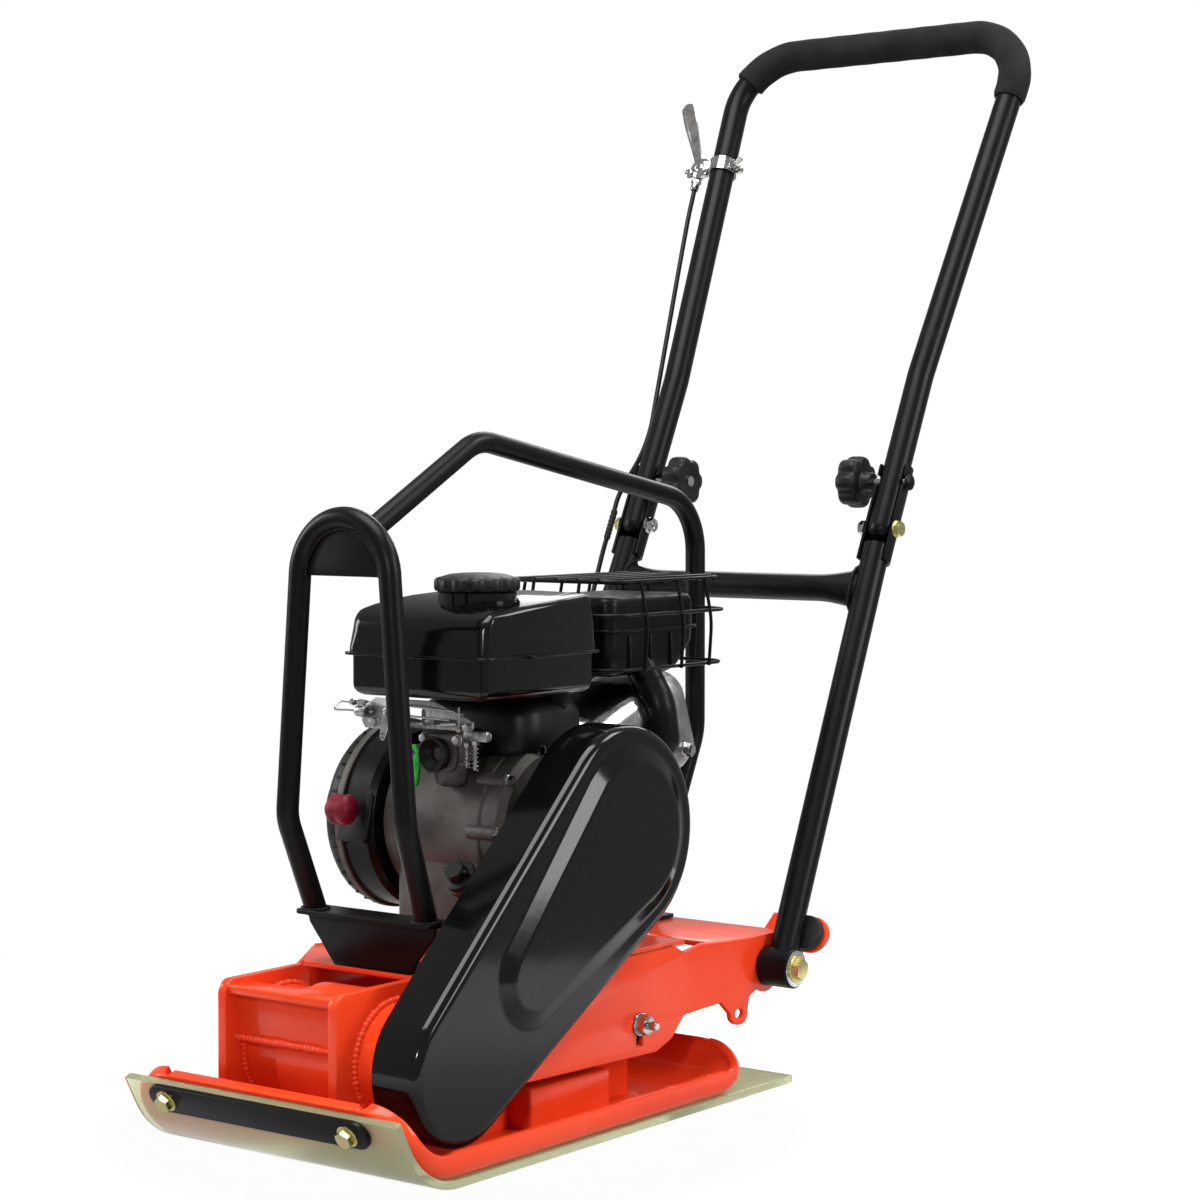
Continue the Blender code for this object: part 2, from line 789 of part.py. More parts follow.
def make_uprights():
    """The plates that carry the rubber mounts, each with a foot rail, welded to the floor of the tray."""
    front, rear = mount_places[0][1] - UPRIGHT_MARGIN, mount_places[1][1] + UPRIGHT_MARGIN
    low = floor_top - PLATE_SHEET / 2
    high = floor_top + UPRIGHT_HEIGHT
    corner = UPRIGHT_CORNER
    centre = (front + rear) / 2
    made = []
    for name, side in sides:
        middle = side * (UPRIGHT_FACE - UPRIGHT_SHEET / 2)
        outline = [(front, low), (rear, low), (rear, high - corner), (rear - corner, high),
                   (front + corner, high),
                   (front, high - corner)]
        holes = [arc((y, mount_z), STUD_RADIUS + HOLE_CLEARANCE, 0, 315, 7) for _, y in mount_places]
        made.append(prism(f"upright_{name}", [outline, *holes], UPRIGHT_SHEET, side_view(middle)))
        inner, outer = sorted((side * (UPRIGHT_FACE - UPRIGHT_SHEET / 2),
                               side * (UPRIGHT_FACE + FOOT_RAIL_WIDTH)))
        made.append(block(f"foot_{name}", (inner, centre - FOOT_RAIL_LENGTH / 2, low),
                          (outer, centre + FOOT_RAIL_LENGTH / 2, floor_top + FOOT_RAIL_HEIGHT)))
    return made


def lip_point(outward):
    """The middle of the straight front lip, and so many metres out from the under side."""
    y, z = front_flat, plate_under
    y -= FRONT_LIP_RADIUS * math.sin(FRONT_LIP_ANGLE) + FRONT_LIP_STRAIGHT / 2 * math.cos(FRONT_LIP_ANGLE)
    z += FRONT_LIP_RADIUS * (1 - math.cos(FRONT_LIP_ANGLE)) + FRONT_LIP_STRAIGHT / 2 * math.sin(FRONT_LIP_ANGLE)
    return Vector((0, y, z)) + lip_out * outward


lip_out = Vector((0, -math.sin(FRONT_LIP_ANGLE), -math.cos(FRONT_LIP_ANGLE)))
lip_up = Vector((0, -math.cos(FRONT_LIP_ANGLE), math.sin(FRONT_LIP_ANGLE)))
clamp_back = FIT + PAD_THICKNESS + FIT


def pad_bolt_rod(name, side, radius):
    centre = lip_point(0) + Vector((side * PAD_BOLT_SPAN / 2, 0, 0))
    return rod(name, centre - lip_out * CUTTER_REACH / 2, centre + lip_out * CUTTER_REACH / 2, radius, 16)


def make_paving_pad():
    inner, outer = [], []
    for y, z, slope, run, lip in plate_stations():
        if slope > 0 or run < PAD_FRONT_DROP:
            continue
        for line, depth in ((inner, FIT), (outer, FIT + PAD_THICKNESS)):
            line.append((y + depth * math.sin(slope), z - depth * math.cos(slope)))
    end = plate_rear + PAD_OVERHANG
    outline = inner + [(end, plate_under - FIT), (end, 0.0)] + outer[::-1]
    pad = prism("paving_pad", [outline], PLATE_WIDTH, side_view(0))
    holes = [pad_bolt_rod(f"hole_{name}", side, PAD_BOLT_RADIUS + HOLE_CLEARANCE) for name, side in sides]
    return keep(cut(pad, *holes), clear_pad)


def make_clamp_bar():
    end = CLAMP_LENGTH / 2 - CLAMP_HEIGHT / 2
    outline = arc((end, 0), CLAMP_HEIGHT / 2, -90, 90, 8) + arc((-end, 0), CLAMP_HEIGHT / 2, 90, 270, 8)
    hole = PAD_BOLT_RADIUS + HOLE_CLEARANCE
    holes = [arc((side * PAD_BOLT_SPAN / 2, 0), hole, 0, 337.5, 15) for _, side in sides]
    centre = lip_point(clamp_back + CLAMP_SHEET / 2)
    bar = prism("pad_clamp_bar", [outline, *holes], CLAMP_SHEET, frame(centre, (1, 0, 0), lip_up))
    keep(bar, black_coat)
    grip = clamp_back + CLAMP_SHEET + PLATE_SHEET
    for name, side in sides:
        seat = lip_point(clamp_back + CLAMP_SHEET) + Vector((side * PAD_BOLT_SPAN / 2, 0, 0))
        bolt(f"pad_bolt_{name}", seat, lip_out, grip, PAD_BOLT_RADIUS, PAD_BOLT_HEX, PAD_BOLT_HEAD,
             PAD_BOLT_WASHER, yellow_zinc)


# Exciter

def rib_outline():
    front = plate_front + RIB_SETBACK
    rear = front + RIB_LENGTH
    low = floor_top + FIT
    top = floor_top + RIB_HEIGHT
    inside = (FRONT_LIP_RADIUS - PLATE_SHEET) * math.cos(FRONT_LIP_ANGLE / (2 * LIP_STEPS)) - FIT
    centre = (front_flat, plate_under + FRONT_LIP_RADIUS)
    outline = [(rear, top - TIE_SHEET), (rear, low)]
    if front < front_flat:
        reach = math.degrees(math.asin(min(0.97, (front_flat - front) / inside)))
        outline += arc(centre, inside, -90, -90 - reach, 6)
    else:
        outline.append((front, low))
    return outline + [(front, top), (rear - TIE_SHEET, top)]


def make_exciter():
    place = along(exciter, (1, 0, 0))
    shell = rod("exciter_housing", exciter - Vector((EXCITER_LEFT, 0, 0)),
                exciter + Vector((EXCITER_RIGHT, 0, 0)),
                EXCITER_RADIUS, EXCITER_SIDES)
    ribs = []
    for name, side in sides:
        ribs.append(prism(f"rib_{name}", [rib_outline()], RIB_SHEET, side_view(side * RIB_SPACING / 2)))
    front = plate_front + RIB_SETBACK
    top = floor_top + RIB_HEIGHT
    half = RIB_SPACING / 2 + RIB_SHEET / 2
    tie = block("tie", (-half, front, top - TIE_SHEET), (half, front + TIE_WIDTH, top))
    shell = unite(shell, *ribs, tie)
    bore = rod("bore", exciter - Vector((EXCITER_LEFT + CUT_PAST, 0, 0)),
               exciter + Vector((EXCITER_RIGHT + CUT_PAST, 0, 0)),
               exciter_bore, EXCITER_SIDES)
    keep(cut(shell, bore), orange_paint)

    low, high = -EXCITER_LEFT - FIT, EXCITER_RIGHT + FIT
    rim = EXCITER_RADIUS - EXCITER_COVER_INSET
    cap = [(0, low - EXCITER_COVER), (rim, low - EXCITER_COVER), (rim, low), (0, low)]
    keep(turned("exciter_cover_left", cap, place, 24), orange_paint)
    keep(ring("exciter_cover_right", EXCITER_SHAFT_RADIUS + RUNNING, rim, high, high + EXCITER_COVER, place,
              20),
         orange_paint)
    inner = EXCITER_SHAFT_RADIUS + FIT
    outer = exciter_bore * math.cos(math.pi / EXCITER_SIDES) - FIT
    ends = {"left": -EXCITER_LEFT + FIT, "right": EXCITER_RIGHT - FIT - BEARING_WIDTH}
    for name, start in ends.items():
        keep(ring(f"exciter_bearing_{name}", inner, outer, start, start + BEARING_WIDTH, place), plain_steel)

    shaft_end = BELT_X + BELT_WIDTH / 2 + PULLEY_RIM
    shaft = rod("exciter_shaft", exciter - Vector((EXCITER_LEFT - EXCITER_SHAFT_INSET, 0, 0)),
                exciter + Vector((shaft_end, 0, 0)),
                EXCITER_SHAFT_RADIUS, 20)
    half_disc = arc((exciter.y, exciter.z), ECCENTRIC_RADIUS, 180, 360, 12)
    middle = (EXCITER_RIGHT - EXCITER_LEFT) / 2
    weight = prism("weight", [half_disc], ECCENTRIC_LENGTH, side_view(middle))
    shaft = keep(unite(shaft, weight), plain_steel)
    pulley = make_pulley("driven_pulley", DRIVEN_RADIUS, EXCITER_SHAFT_RADIUS, place)
    hang_on("exciter_axis", exciter, shaft, pulley)


def make_pulley(name, radius, shaft, place, hub=None):
    """A pulley with one V groove, centred on the belt."""
    half = BELT_WIDTH / 2 + FIT
    depth = BELT_DEPTH + RUNNING
    outer = half + PULLEY_RIM
    floor = radius - depth
    narrow = half * BELT_TAPER
    profile = [
        (radius, BELT_X + outer), (radius, BELT_X + half), (floor, BELT_X + narrow),
        (floor, BELT_X - narrow), (radius, BELT_X - half), (radius, BELT_X - outer),
    ]
    if hub:
        profile += [(hub[0], BELT_X - outer), (hub[0], hub[1]), (shaft + FIT, hub[1])]
    else:
        profile += [(shaft + FIT, BELT_X - outer)]
    profile += [(shaft + FIT, BELT_X + outer)]
    return keep(turned(name, profile, place, 20, True), plain_steel)


# Rubber mounts

def make_mounts():
    for name, side in sides:
        for spot, y in mount_places:
            make_mount(f"rubber_mount_{spot}_{name}", side, y)


def make_mount(name, side, y):
    """A rubber barrel on a stud, between the upright and the deck wall, with a nut at both ends."""
    low, high = UPRIGHT_FACE + FIT, deck_half - DECK_SHEET - FIT
    out, back = deck_half + FIT, UPRIGHT_FACE - UPRIGHT_SHEET - FIT
    tip = out + WASHER_SHEET + STUD_NUT + STUD_RADIUS / 2
    tail = back - STUD_NUT - STUD_RADIUS / 2
    profile = [
        (0, tip), (STUD_RADIUS, tip), (STUD_RADIUS, out + WASHER_SHEET), (STUD_WASHER, out + WASHER_SHEET),
        (STUD_WASHER, out), (STUD_RADIUS, out), (STUD_RADIUS, high), (MOUNT_RADIUS, high),
               (MOUNT_WAIST, (low + high) / 2),
        (MOUNT_RADIUS, low), (STUD_RADIUS, low), (STUD_RADIUS, tail), (0, tail),
    ]
    origin = Vector((0, y, mount_z))
    axis = Vector((side, 0, 0))
    corner = STUD_HEX / math.sqrt(3)
    start = out + WASHER_SHEET - WELD
    nuts = [
        rod("nut", origin + axis * start, origin + axis * (start + STUD_NUT), corner, 6),
        rod("inner nut", origin + axis * (back - STUD_NUT), origin + axis * back, corner, 6),
    ]
    return keep(unite(turned(name, profile, along(origin, axis), 8), *nuts), rubber)


# Engine deck

def make_deck():
    top = block("engine_deck", (WELD - deck_half, deck_front + WELD, deck_top - DECK_SHEET),
                (deck_half - WELD, deck_rear - WELD, deck_top))
    sheet_x = deck_half - DECK_SHEET / 2
    narrow, wide = sheet_x + ARM_FLARE * CROSS_START / ARM_FLARE_LENGTH, sheet_x + ARM_FLARE
    plan = [(-narrow, cross_front), (narrow, cross_front), (wide, arm_y), (wide, cross_rear),
            (-wide, cross_rear),
            (-wide, arm_y)]
    cross = prism("cross", [plan], DECK_SHEET, Matrix.Translation((0, 0, arm_top - WELD - DECK_SHEET / 2)))
    pieces = [cross]
    cutters = []
    slot = STUD_RADIUS + HOLE_CLEARANCE
    for name, side in sides:
        pieces.append(make_deck_side(name, side))
        pieces.append(make_stop_plate(name, side))
        for _, y in mount_places:
            inner, outer = sorted((side * (deck_half - DECK_SHEET - CUT_PAST), side * (deck_half + CUT_PAST)))
            eye = rod("eye", (inner, y, mount_z), (outer, y, mount_z), slot, 8)
            mouth = block("mouth", (inner, y - slot, floor_top), (outer, y + slot, mount_z))
            cutters.append(unite(eye, mouth))
    return keep(cut(unite(top, *pieces), *cutters), orange_paint)


def make_deck_side(name, side):
    """One side wall with its handle arm: cut flat, then folded out along two upright bend lines."""
    low = floor_top + WALL_LOW
    neck = pivot.z - ARM_NECK
    heel = mount_places[1][1] + HEEL_BACK
    ear = (arm_y - EAR_RADIUS - EAR_INSET, neck - EAR_DROP)
    stop_back = HANDLE_TUBE + STOP_PAD_SHEET + STOP_SHEET / 2
    stop = pivot + along_handle * (STOP_LOW + STOP_PAD_GAP) + behind_handle * stop_back
    outline = [
        (deck_front, deck_top - WELD), (deck_front, low + WALL_TAPER), (heel, low),
        (heel + HEEL_RUN, low + HEEL_RISE), (deck_rear, neck - ARM_NECK_DROP),
               (ear[0] - EAR_RADIUS - EAR_RUN, neck),
        *arc(ear, EAR_RADIUS, 180, 360, 5), (arm_y, neck + EAR_INSET),
        *arc((pivot.y, pivot.z), ARM_END_RADIUS, 235, 345, 5), (stop.y, stop.z),
               (stop.y + STOP_SHEET, arm_top),
        (deck_rear + ARM_STEP_RUN, arm_top), (deck_rear, deck_top - ARM_STEP),
               (deck_rear - ARM_STEP_RUN, deck_top - WELD),
    ]
    pivot_hole = arc((pivot.y, pivot.z), PIVOT_BOLT_RADIUS + HOLE_CLEARANCE, 0, 315, 7)
    holes = [arc(ear, EAR_HOLE, 0, 315, 7), pivot_hole]
    sheet = prism(f"side_{name}", [outline, *holes], DECK_SHEET,
                  side_view(side * (deck_half - DECK_SHEET / 2)))
    work = bmesh.new()
    work.from_mesh(sheet.data)
    for y in (deck_rear, arm_y):
        everything = list(work.verts) + list(work.edges) + list(work.faces)
        bmesh.ops.bisect_plane(work, geom=everything, dist=1e-7, plane_co=(0, y, 0), plane_no=(0, 1, 0))
    for vertex in work.verts:
        share = (vertex.co.y - deck_rear) / ARM_FLARE_LENGTH
        vertex.co.x += side * ARM_FLARE * min(1.0, max(0.0, share))
    work.to_mesh(sheet.data)
    work.free()
    return sheet


def make_stop_plate(name, side):
    """The plate behind the handle tube that keeps the handle from falling back."""
    radius = (STOP_HIGH - STOP_LOW) / 2
    middle = (STOP_HIGH + STOP_LOW) / 2
    outline = [(STOP_INNER, STOP_LOW), *arc((STOP_OUTER - radius, middle), radius, -90, 90, 6),
               (STOP_INNER + STOP_SLOPE, STOP_HIGH)]
    outline = [(side * x, s) for x, s in outline]
    back = HANDLE_TUBE + FIT + STOP_PAD_SHEET + FIT + STOP_SHEET / 2
    return prism(f"stop_{name}", [outline], STOP_SHEET,
                 frame(pivot + behind_handle * back, (1, 0, 0), along_handle))


def make_stop_pads():
    radius = (STOP_HIGH - STOP_LOW) / 2 - STOP_PAD_INSET
    middle = (STOP_HIGH + STOP_LOW) / 2
    inner = arm_face + STOP_PAD_GAP
    for name, side in sides:
        outline = [(inner, middle - radius), *arc((STOP_OUTER - radius - 2 * STOP_PAD_INSET, middle),
                                                  radius, -90, 90, 6),
                   (inner, middle + radius)]
        outline = [(side * x, s) for x, s in outline]
        place = frame(pivot + behind_handle * (HANDLE_TUBE + FIT + STOP_PAD_SHEET / 2), (1, 0, 0),
                      along_handle)
        keep(prism(f"stop_pad_{name}", [outline], STOP_PAD_SHEET, place), rubber)


# Handle

def make_lower_handle():
    end = FOLD_REACH - HANDLE_TUBE - LOWER_END_GAP
    ends = [on_handle(-LOWER_TOP_X, CROSSBAR_REACH), on_handle(LOWER_TOP_X, CROSSBAR_REACH)]
    across = tube("lower_handle", ends, HANDLE_TUBE)
    pieces, cutters = [], []
    for name, side in sides:
        lean = (LOWER_TOP_X - LOWER_BOTTOM_X) / end
        path = [on_handle(side * LOWER_BOTTOM_X, SLEEVE_RADIUS / 2),
                on_handle(side * (LOWER_BOTTOM_X + lean * end), end)]
        pieces.append(tube(f"leg_{name}", path, HANDLE_TUBE))
        inner = arm_face + FIT
        start, stop = Vector((side * inner, 0, 0)), Vector((side * (inner + SLEEVE_LENGTH), 0, 0))
        pieces.append(rod(f"sleeve_{name}", pivot + start, pivot + stop, SLEEVE_RADIUS, SLEEVE_SIDES))
        out = Vector((side * CUT_PAST, 0, 0))
        cutters.append(rod(f"bore_{name}", pivot + start - out, pivot + stop + out,
                           SLEEVE_RADIUS - SLEEVE_WALL,
                           SLEEVE_SIDES))
        pieces.append(make_channel(name, side))
    handle = unite(across, *pieces)
    return keep(cut(handle, *cutters), black_coat)


def make_channel(name, side):
    """The half-round trough at the top of a lower tube, slotted so that the knob's stud can swing out."""
    x = side * LOWER_TOP_X
    low, high = FOLD_REACH - CHANNEL_BELOW, FOLD_REACH + CHANNEL_ABOVE
    inner, outer = channel_half / math.cos(math.pi / TUBE_SIDES), channel_out
    plan = [(x - outer, -CHANNEL_FRONT), *arc((x, 0), outer, 180, 0, 8), (x + outer, -CHANNEL_FRONT),
            (x + inner, -CHANNEL_FRONT), *arc((x, 0), inner, 0, 180, 8), (x - inner, -CHANNEL_FRONT)]
    place = frame(on_handle(0, (low + high) / 2), (1, 0, 0), behind_handle)
    channel = prism(f"channel_{name}", [plan], high - low, place)
    plug = arc((x, 0), outer - WELD, 0, 330, 11)
    plug_high = FOLD_REACH - HANDLE_TUBE - LOWER_END_GAP
    plug_place = frame(on_handle(0, (low + plug_high) / 2), (1, 0, 0), behind_handle)
    channel = unite(channel, prism("plug", [plug], plug_high - low - WELD, plug_place))
    wide = Vector((channel_out + CUT_PAST, 0, 0))
    eye = on_handle(x, FOLD_REACH)
    stud = on_handle(x, FOLD_REACH + KNOB_REACH)
    slot = KNOB_STUD_RADIUS + HOLE_CLEARANCE
    cutters = [
        rod("eye", eye - wide, eye + wide, FOLD_BOLT_RADIUS + HOLE_CLEARANCE, 10),
        rod("stud eye", stud - wide, stud + wide, slot, 10),
        prism("slot", [[(-slot, 0), (-slot, -CHANNEL_FRONT - CUT_PAST), (slot, -CHANNEL_FRONT - CUT_PAST),
                        (slot, 0)]],
              2 * wide.x, frame(stud, along_handle, behind_handle)),
    ]
    return cut(channel, *cutters)


def make_pivots():
    for name, side in sides:
        axis = Vector((side, 0, 0))
        inner = arm_face + FIT
        outer = inner + SLEEVE_LENGTH
        place = along(pivot, axis)
        bush = (SLEEVE_RADIUS - SLEEVE_WALL) * math.cos(math.pi / SLEEVE_SIDES) - FIT
        keep(ring(f"handle_bush_{name}", PIVOT_BOLT_RADIUS + FIT, bush, inner, outer, place), rubber)
        grip = SLEEVE_LENGTH + FIT + DECK_SHEET
        bolt(f"pivot_bolt_{name}", pivot + axis * outer, axis, grip, PIVOT_BOLT_RADIUS, PIVOT_BOLT_HEX,
             PIVOT_BOLT_HEAD,
             PIVOT_WASHER, yellow_zinc)


def make_fold_bolts():
    made = []
    for name, side in sides:
        seat = on_handle(side * (LOWER_TOP_X + channel_out), FOLD_REACH)
        made.append(bolt(f"fold_bolt_{name}", seat, (side, 0, 0), 2 * channel_out, FOLD_BOLT_RADIUS,
                         FOLD_BOLT_HEX,
                         FOLD_BOLT_HEAD, FOLD_BOLT_HEX * 0.6, yellow_zinc))
    return made


def bow_path():
    half = BOW_WIDTH / 2
    top = FOLD_REACH + BOW_REACH
    shoulder = FOLD_REACH + BOW_STRAIGHT
    corners = [on_handle(-LOWER_TOP_X, FOLD_REACH), on_handle(-LOWER_TOP_X, shoulder), on_handle(-half, top),
               on_handle(half, top), on_handle(LOWER_TOP_X, shoulder), on_handle(LOWER_TOP_X, FOLD_REACH)]
    return rounded(corners, BOW_BEND, 4)


def make_upper_handle():
    path = bow_path()
    bow = tube("upper_handle", path, HANDLE_TUBE)
    ends, cutters = [], []
    for name, side in sides:
        eye = on_handle(side * LOWER_TOP_X, FOLD_REACH)
        stud = on_handle(side * LOWER_TOP_X, FOLD_REACH + KNOB_REACH)
        wide = Vector((HANDLE_TUBE + CUT_PAST, 0, 0))
        ends.append(ball(f"end_{name}", eye, HANDLE_TUBE, 10))
        cutters.append(rod("eye", eye - wide, eye + wide, FOLD_BOLT_RADIUS + HOLE_CLEARANCE, 10))
        cutters.append(rod("stud", stud - wide, stud + wide, KNOB_STUD_RADIUS + FIT * 2, 10))
    bow = cut(unite(bow, *ends), *cutters)
    keep(bow, black_coat)
    middle = path_length(path) / 2
    covered = stretch(path, middle - GRIP_LEFT, middle + GRIP_RIGHT)
    longer = stretch(path, middle - GRIP_LEFT - CUT_PAST, middle + GRIP_RIGHT + CUT_PAST)
    bore = (HANDLE_TUBE + FIT) / math.cos(math.pi / TUBE_SIDES)
    grip = cut(tube("handle_grip", covered, GRIP_RADIUS), tube("core", longer, bore))
    return bow, keep(grip, foam)


def make_knob(name, side):
    """A lobed hand knob on a stud that runs through the channel and the bow."""
    centre = on_handle(side * LOWER_TOP_X, FOLD_REACH + KNOB_REACH)
    axis = Vector((-side, 0, 0))
    step = 360 / KNOB_LOBES
    outline = []
    for i in range(KNOB_LOBES):
        for turn, reach in ((-0.22, 1.0), (0.22, 1.0), (0.36, 0.84), (0.64, 0.84)):
            a = math.radians(step * (i + turn))
            outline.append((KNOB_RADIUS * reach * math.cos(a), KNOB_RADIUS * reach * math.sin(a)))
    start = channel_out + KNOB_STANDOFF
    place = along(centre + axis * (start + KNOB_DEPTH / 2), axis)
    knob = soften(prism(f"knob_{name}", [outline], KNOB_DEPTH, place), KNOB_EDGE, 1, 60)
    hub = rod("hub", centre + axis * (channel_out + FIT), centre + axis * (start + KNOB_EDGE), KNOB_HUB, 16)
    stud_end = centre - axis * (channel_out + KNOB_STUD_END)
    stud = rod("stud", stud_end, centre + axis * (start + 2 * KNOB_EDGE), KNOB_STUD_RADIUS, 12)
    knob = keep(unite(knob, hub, stud), black_plastic)
    hang_on(f"knob_{name}_axis", centre, knob)


def make_throttle_lever():
    """A clamp round the left tube of the bow, with a flat lever that pivots in front of it."""
    share = (LEVER_REACH - BOW_STRAIGHT) / (BOW_REACH - BOW_STRAIGHT)
    x = -(LOWER_TOP_X + (BOW_WIDTH / 2 - LOWER_TOP_X) * share)
    reach = FOLD_REACH + LEVER_REACH
    foot = on_handle(-LOWER_TOP_X, FOLD_REACH + BOW_STRAIGHT)
    head = on_handle(-BOW_WIDTH / 2, FOLD_REACH + BOW_REACH)
    place = along(on_handle(x, reach), head - foot)
    inner, outer = HANDLE_TUBE + FIT, HANDLE_TUBE + CLAMP_WALL
    clamp = ring("throttle_clamp", inner, outer, -CLAMP_WIDTH / 2, CLAMP_WIDTH / 2, place)
    post = on_handle(x - LEVER_OFFSET, reach)
    root, end = -inner - CLAMP_WALL / 2, -LEVER_OFFSET - LUG_END
    lug = prism("lug", [[(root, -LUG_HALF), (root, LUG_HALF), (end, LUG_END), (end, -LUG_DROP)]], LUG_SHEET,
                frame(on_handle(x, reach), (1, 0, 0), along_handle))
    pin_end = post - behind_handle * (LUG_SHEET / 2 + FIT + LEVER_SHEET + LEVER_PIN_END)
    pin = rod("pin", post, pin_end, LEVER_PIN, 12)
    screw = on_handle(x + inner + CLAMP_WALL / 2, reach)
    wing = rod("wing", screw, screw + Vector((WING_LENGTH, 0, 0)), WING_RADIUS, 10)
    wings = [(WING_ROOT, -WING_ROOT_HALF), (WING_TIP, -WING_TIP_HALF), (WING_TIP, WING_TIP_HALF),
             (WING_ROOT, WING_ROOT_HALF)]
    wing_plate = prism("wing plate", [wings], WING_RADIUS,
                       frame(on_handle(x + inner, reach), (1, 0, 0), along_handle))
    clamp = keep(unite(clamp, lug, pin, wing, wing_plate), bright_steel)
    front = post - behind_handle * (LUG_SHEET / 2 + FIT + LEVER_SHEET / 2)
    blade_x = Vector((math.cos(LEVER_SPREAD), 0, 0)) + along_handle * math.sin(LEVER_SPREAD)
    blade_y = Vector((-math.sin(LEVER_SPREAD), 0, 0)) + along_handle * math.cos(LEVER_SPREAD)
    outline = arc((0, 0), LEVER_EYE, 200, 340, 6) + arc((0, LEVER_LENGTH - LEVER_TIP), LEVER_TIP, 0, 180, 8)
    eye = arc((0, 0), LEVER_PIN + FIT, 0, 330, 11)
    lever = keep(prism("throttle_lever", [outline, eye], LEVER_SHEET, frame(front, blade_x, blade_y)),
                 bright_steel)
    hang_on("throttle_lever_axis", post, lever)
    return clamp, post


# Guard cage

def make_hoop():
    top = deck_top + HOOP_TOP
    bend = deck_top + HOOP_BEND
    foot = deck_top + HOOP_FOOT - CAGE_SHEET / 2
    shoulder = top - HOOP_HALF_HIGH
    foot_y = hoop_y + HOOP_KICK
    left = [(-HOOP_HALF_FOOT, foot_y, foot), (-HOOP_HALF_LOW, hoop_y, bend),
            (-HOOP_HALF_HIGH, hoop_y, shoulder)]
    legs = rounded([Vector(p) for p in left], HOOP_LEG_BEND, 2)
    crown = [Vector((x, hoop_y, z)) for x, z in arc((0, shoulder), HOOP_HALF_HIGH, 180, 0, 8)]
    right = [Vector((-p.x, p.y, p.z)) for p in reversed(legs)]
    hoop = tube("cage_hoop", legs[:-1] + crown + right[1:], CAGE_TUBE)
    web = [(-HOOP_HALF_HIGH, shoulder), *arc((0, shoulder), HOOP_HALF_HIGH, 165, 15, 7),
           (HOOP_HALF_HIGH, shoulder)]
    web_plate = prism("web", [web], CAGE_SHEET, frame((0, hoop_y, 0), (1, 0, 0), (0, 0, 1)))
    shelf_half = HOOP_HALF_FOOT + CAGE_TUBE + SHELF_PAST
    shelf_top = deck_top + HOOP_FOOT
    shelf = block("shelf", (-shelf_half, foot_y - SHELF_FRONT, shelf_top - CAGE_SHEET),
                  (shelf_half, foot_y + SHELF_REAR, shelf_top))
    low, narrow = deck_top + FIT, shelf_half - SKIRT_INSET
    right_edge = [(narrow, low), (shelf_half - SKIRT_CORNER, shelf_top - SKIRT_EDGE),
                  (shelf_half, shelf_top - WELD)]
    skirt = right_edge + [(-x, z) for x, z in reversed(right_edge)]
    skirt_y = max(foot_y - SHELF_FRONT, deck_front) + CAGE_SHEET / 2
    skirt_plate = prism("skirt", [skirt], CAGE_SHEET, frame((0, skirt_y, 0), (1, 0, 0), (0, 0, 1)))
    sole_front = skirt_y - CAGE_SHEET / 2
    sole = block("sole", (-narrow, sole_front, low), (narrow, sole_front + SOLE_LENGTH, low + CAGE_SHEET))
    return keep(unite(hoop, web_plate, shelf, skirt_plate, sole), black_coat)


def make_rail():
    top = deck_top + RAIL_APEX
    start_y = hoop_y + CAGE_SHEET / 2 + FIT
    tab_top = deck_top + HOOP_TOP - CAGE_TUBE - RAIL_TAB_GAP
    foot_y = cross_rear - RAIL_FOOT_INSET
    leg_y = foot_y + RAIL_KICK
    start = Vector((0, start_y + CAGE_SHEET, tab_top - RAIL_TAB_START))
    corners = [start, (0, hoop_y + RAIL_APEX_BACK, top), (0, leg_y, deck_top + RAIL_SHOULDER),
               (0, leg_y, deck_top + RAIL_KICK_RISE), (0, foot_y, arm_top + FIT + CAGE_SHEET / 2)]
    rail = tube("cage_rail", rounded(corners, RAIL_BEND, 3), CAGE_TUBE)
    tab = block("tab", (-CAGE_TUBE, start_y, tab_top - RAIL_TAB), (CAGE_TUBE, start_y + CAGE_SHEET, tab_top))
    foot = block("foot", (-RAIL_FOOT_HALF, foot_y - RAIL_FOOT_FRONT, arm_top + FIT),
                 (RAIL_FOOT_HALF, foot_y + RAIL_FOOT_REAR, arm_top + FIT + CAGE_SHEET))
    reach = CUTTER_REACH
    under = block("under", (-reach, foot_y - reach, arm_top - reach), (reach, foot_y + reach, arm_top + FIT))
    front = block("front", (-reach, start_y - reach, tab_top - reach), (reach, start_y, tab_top + reach))
    return keep(cut(unite(rail, tab, foot), under, front), black_coat)


# Engine

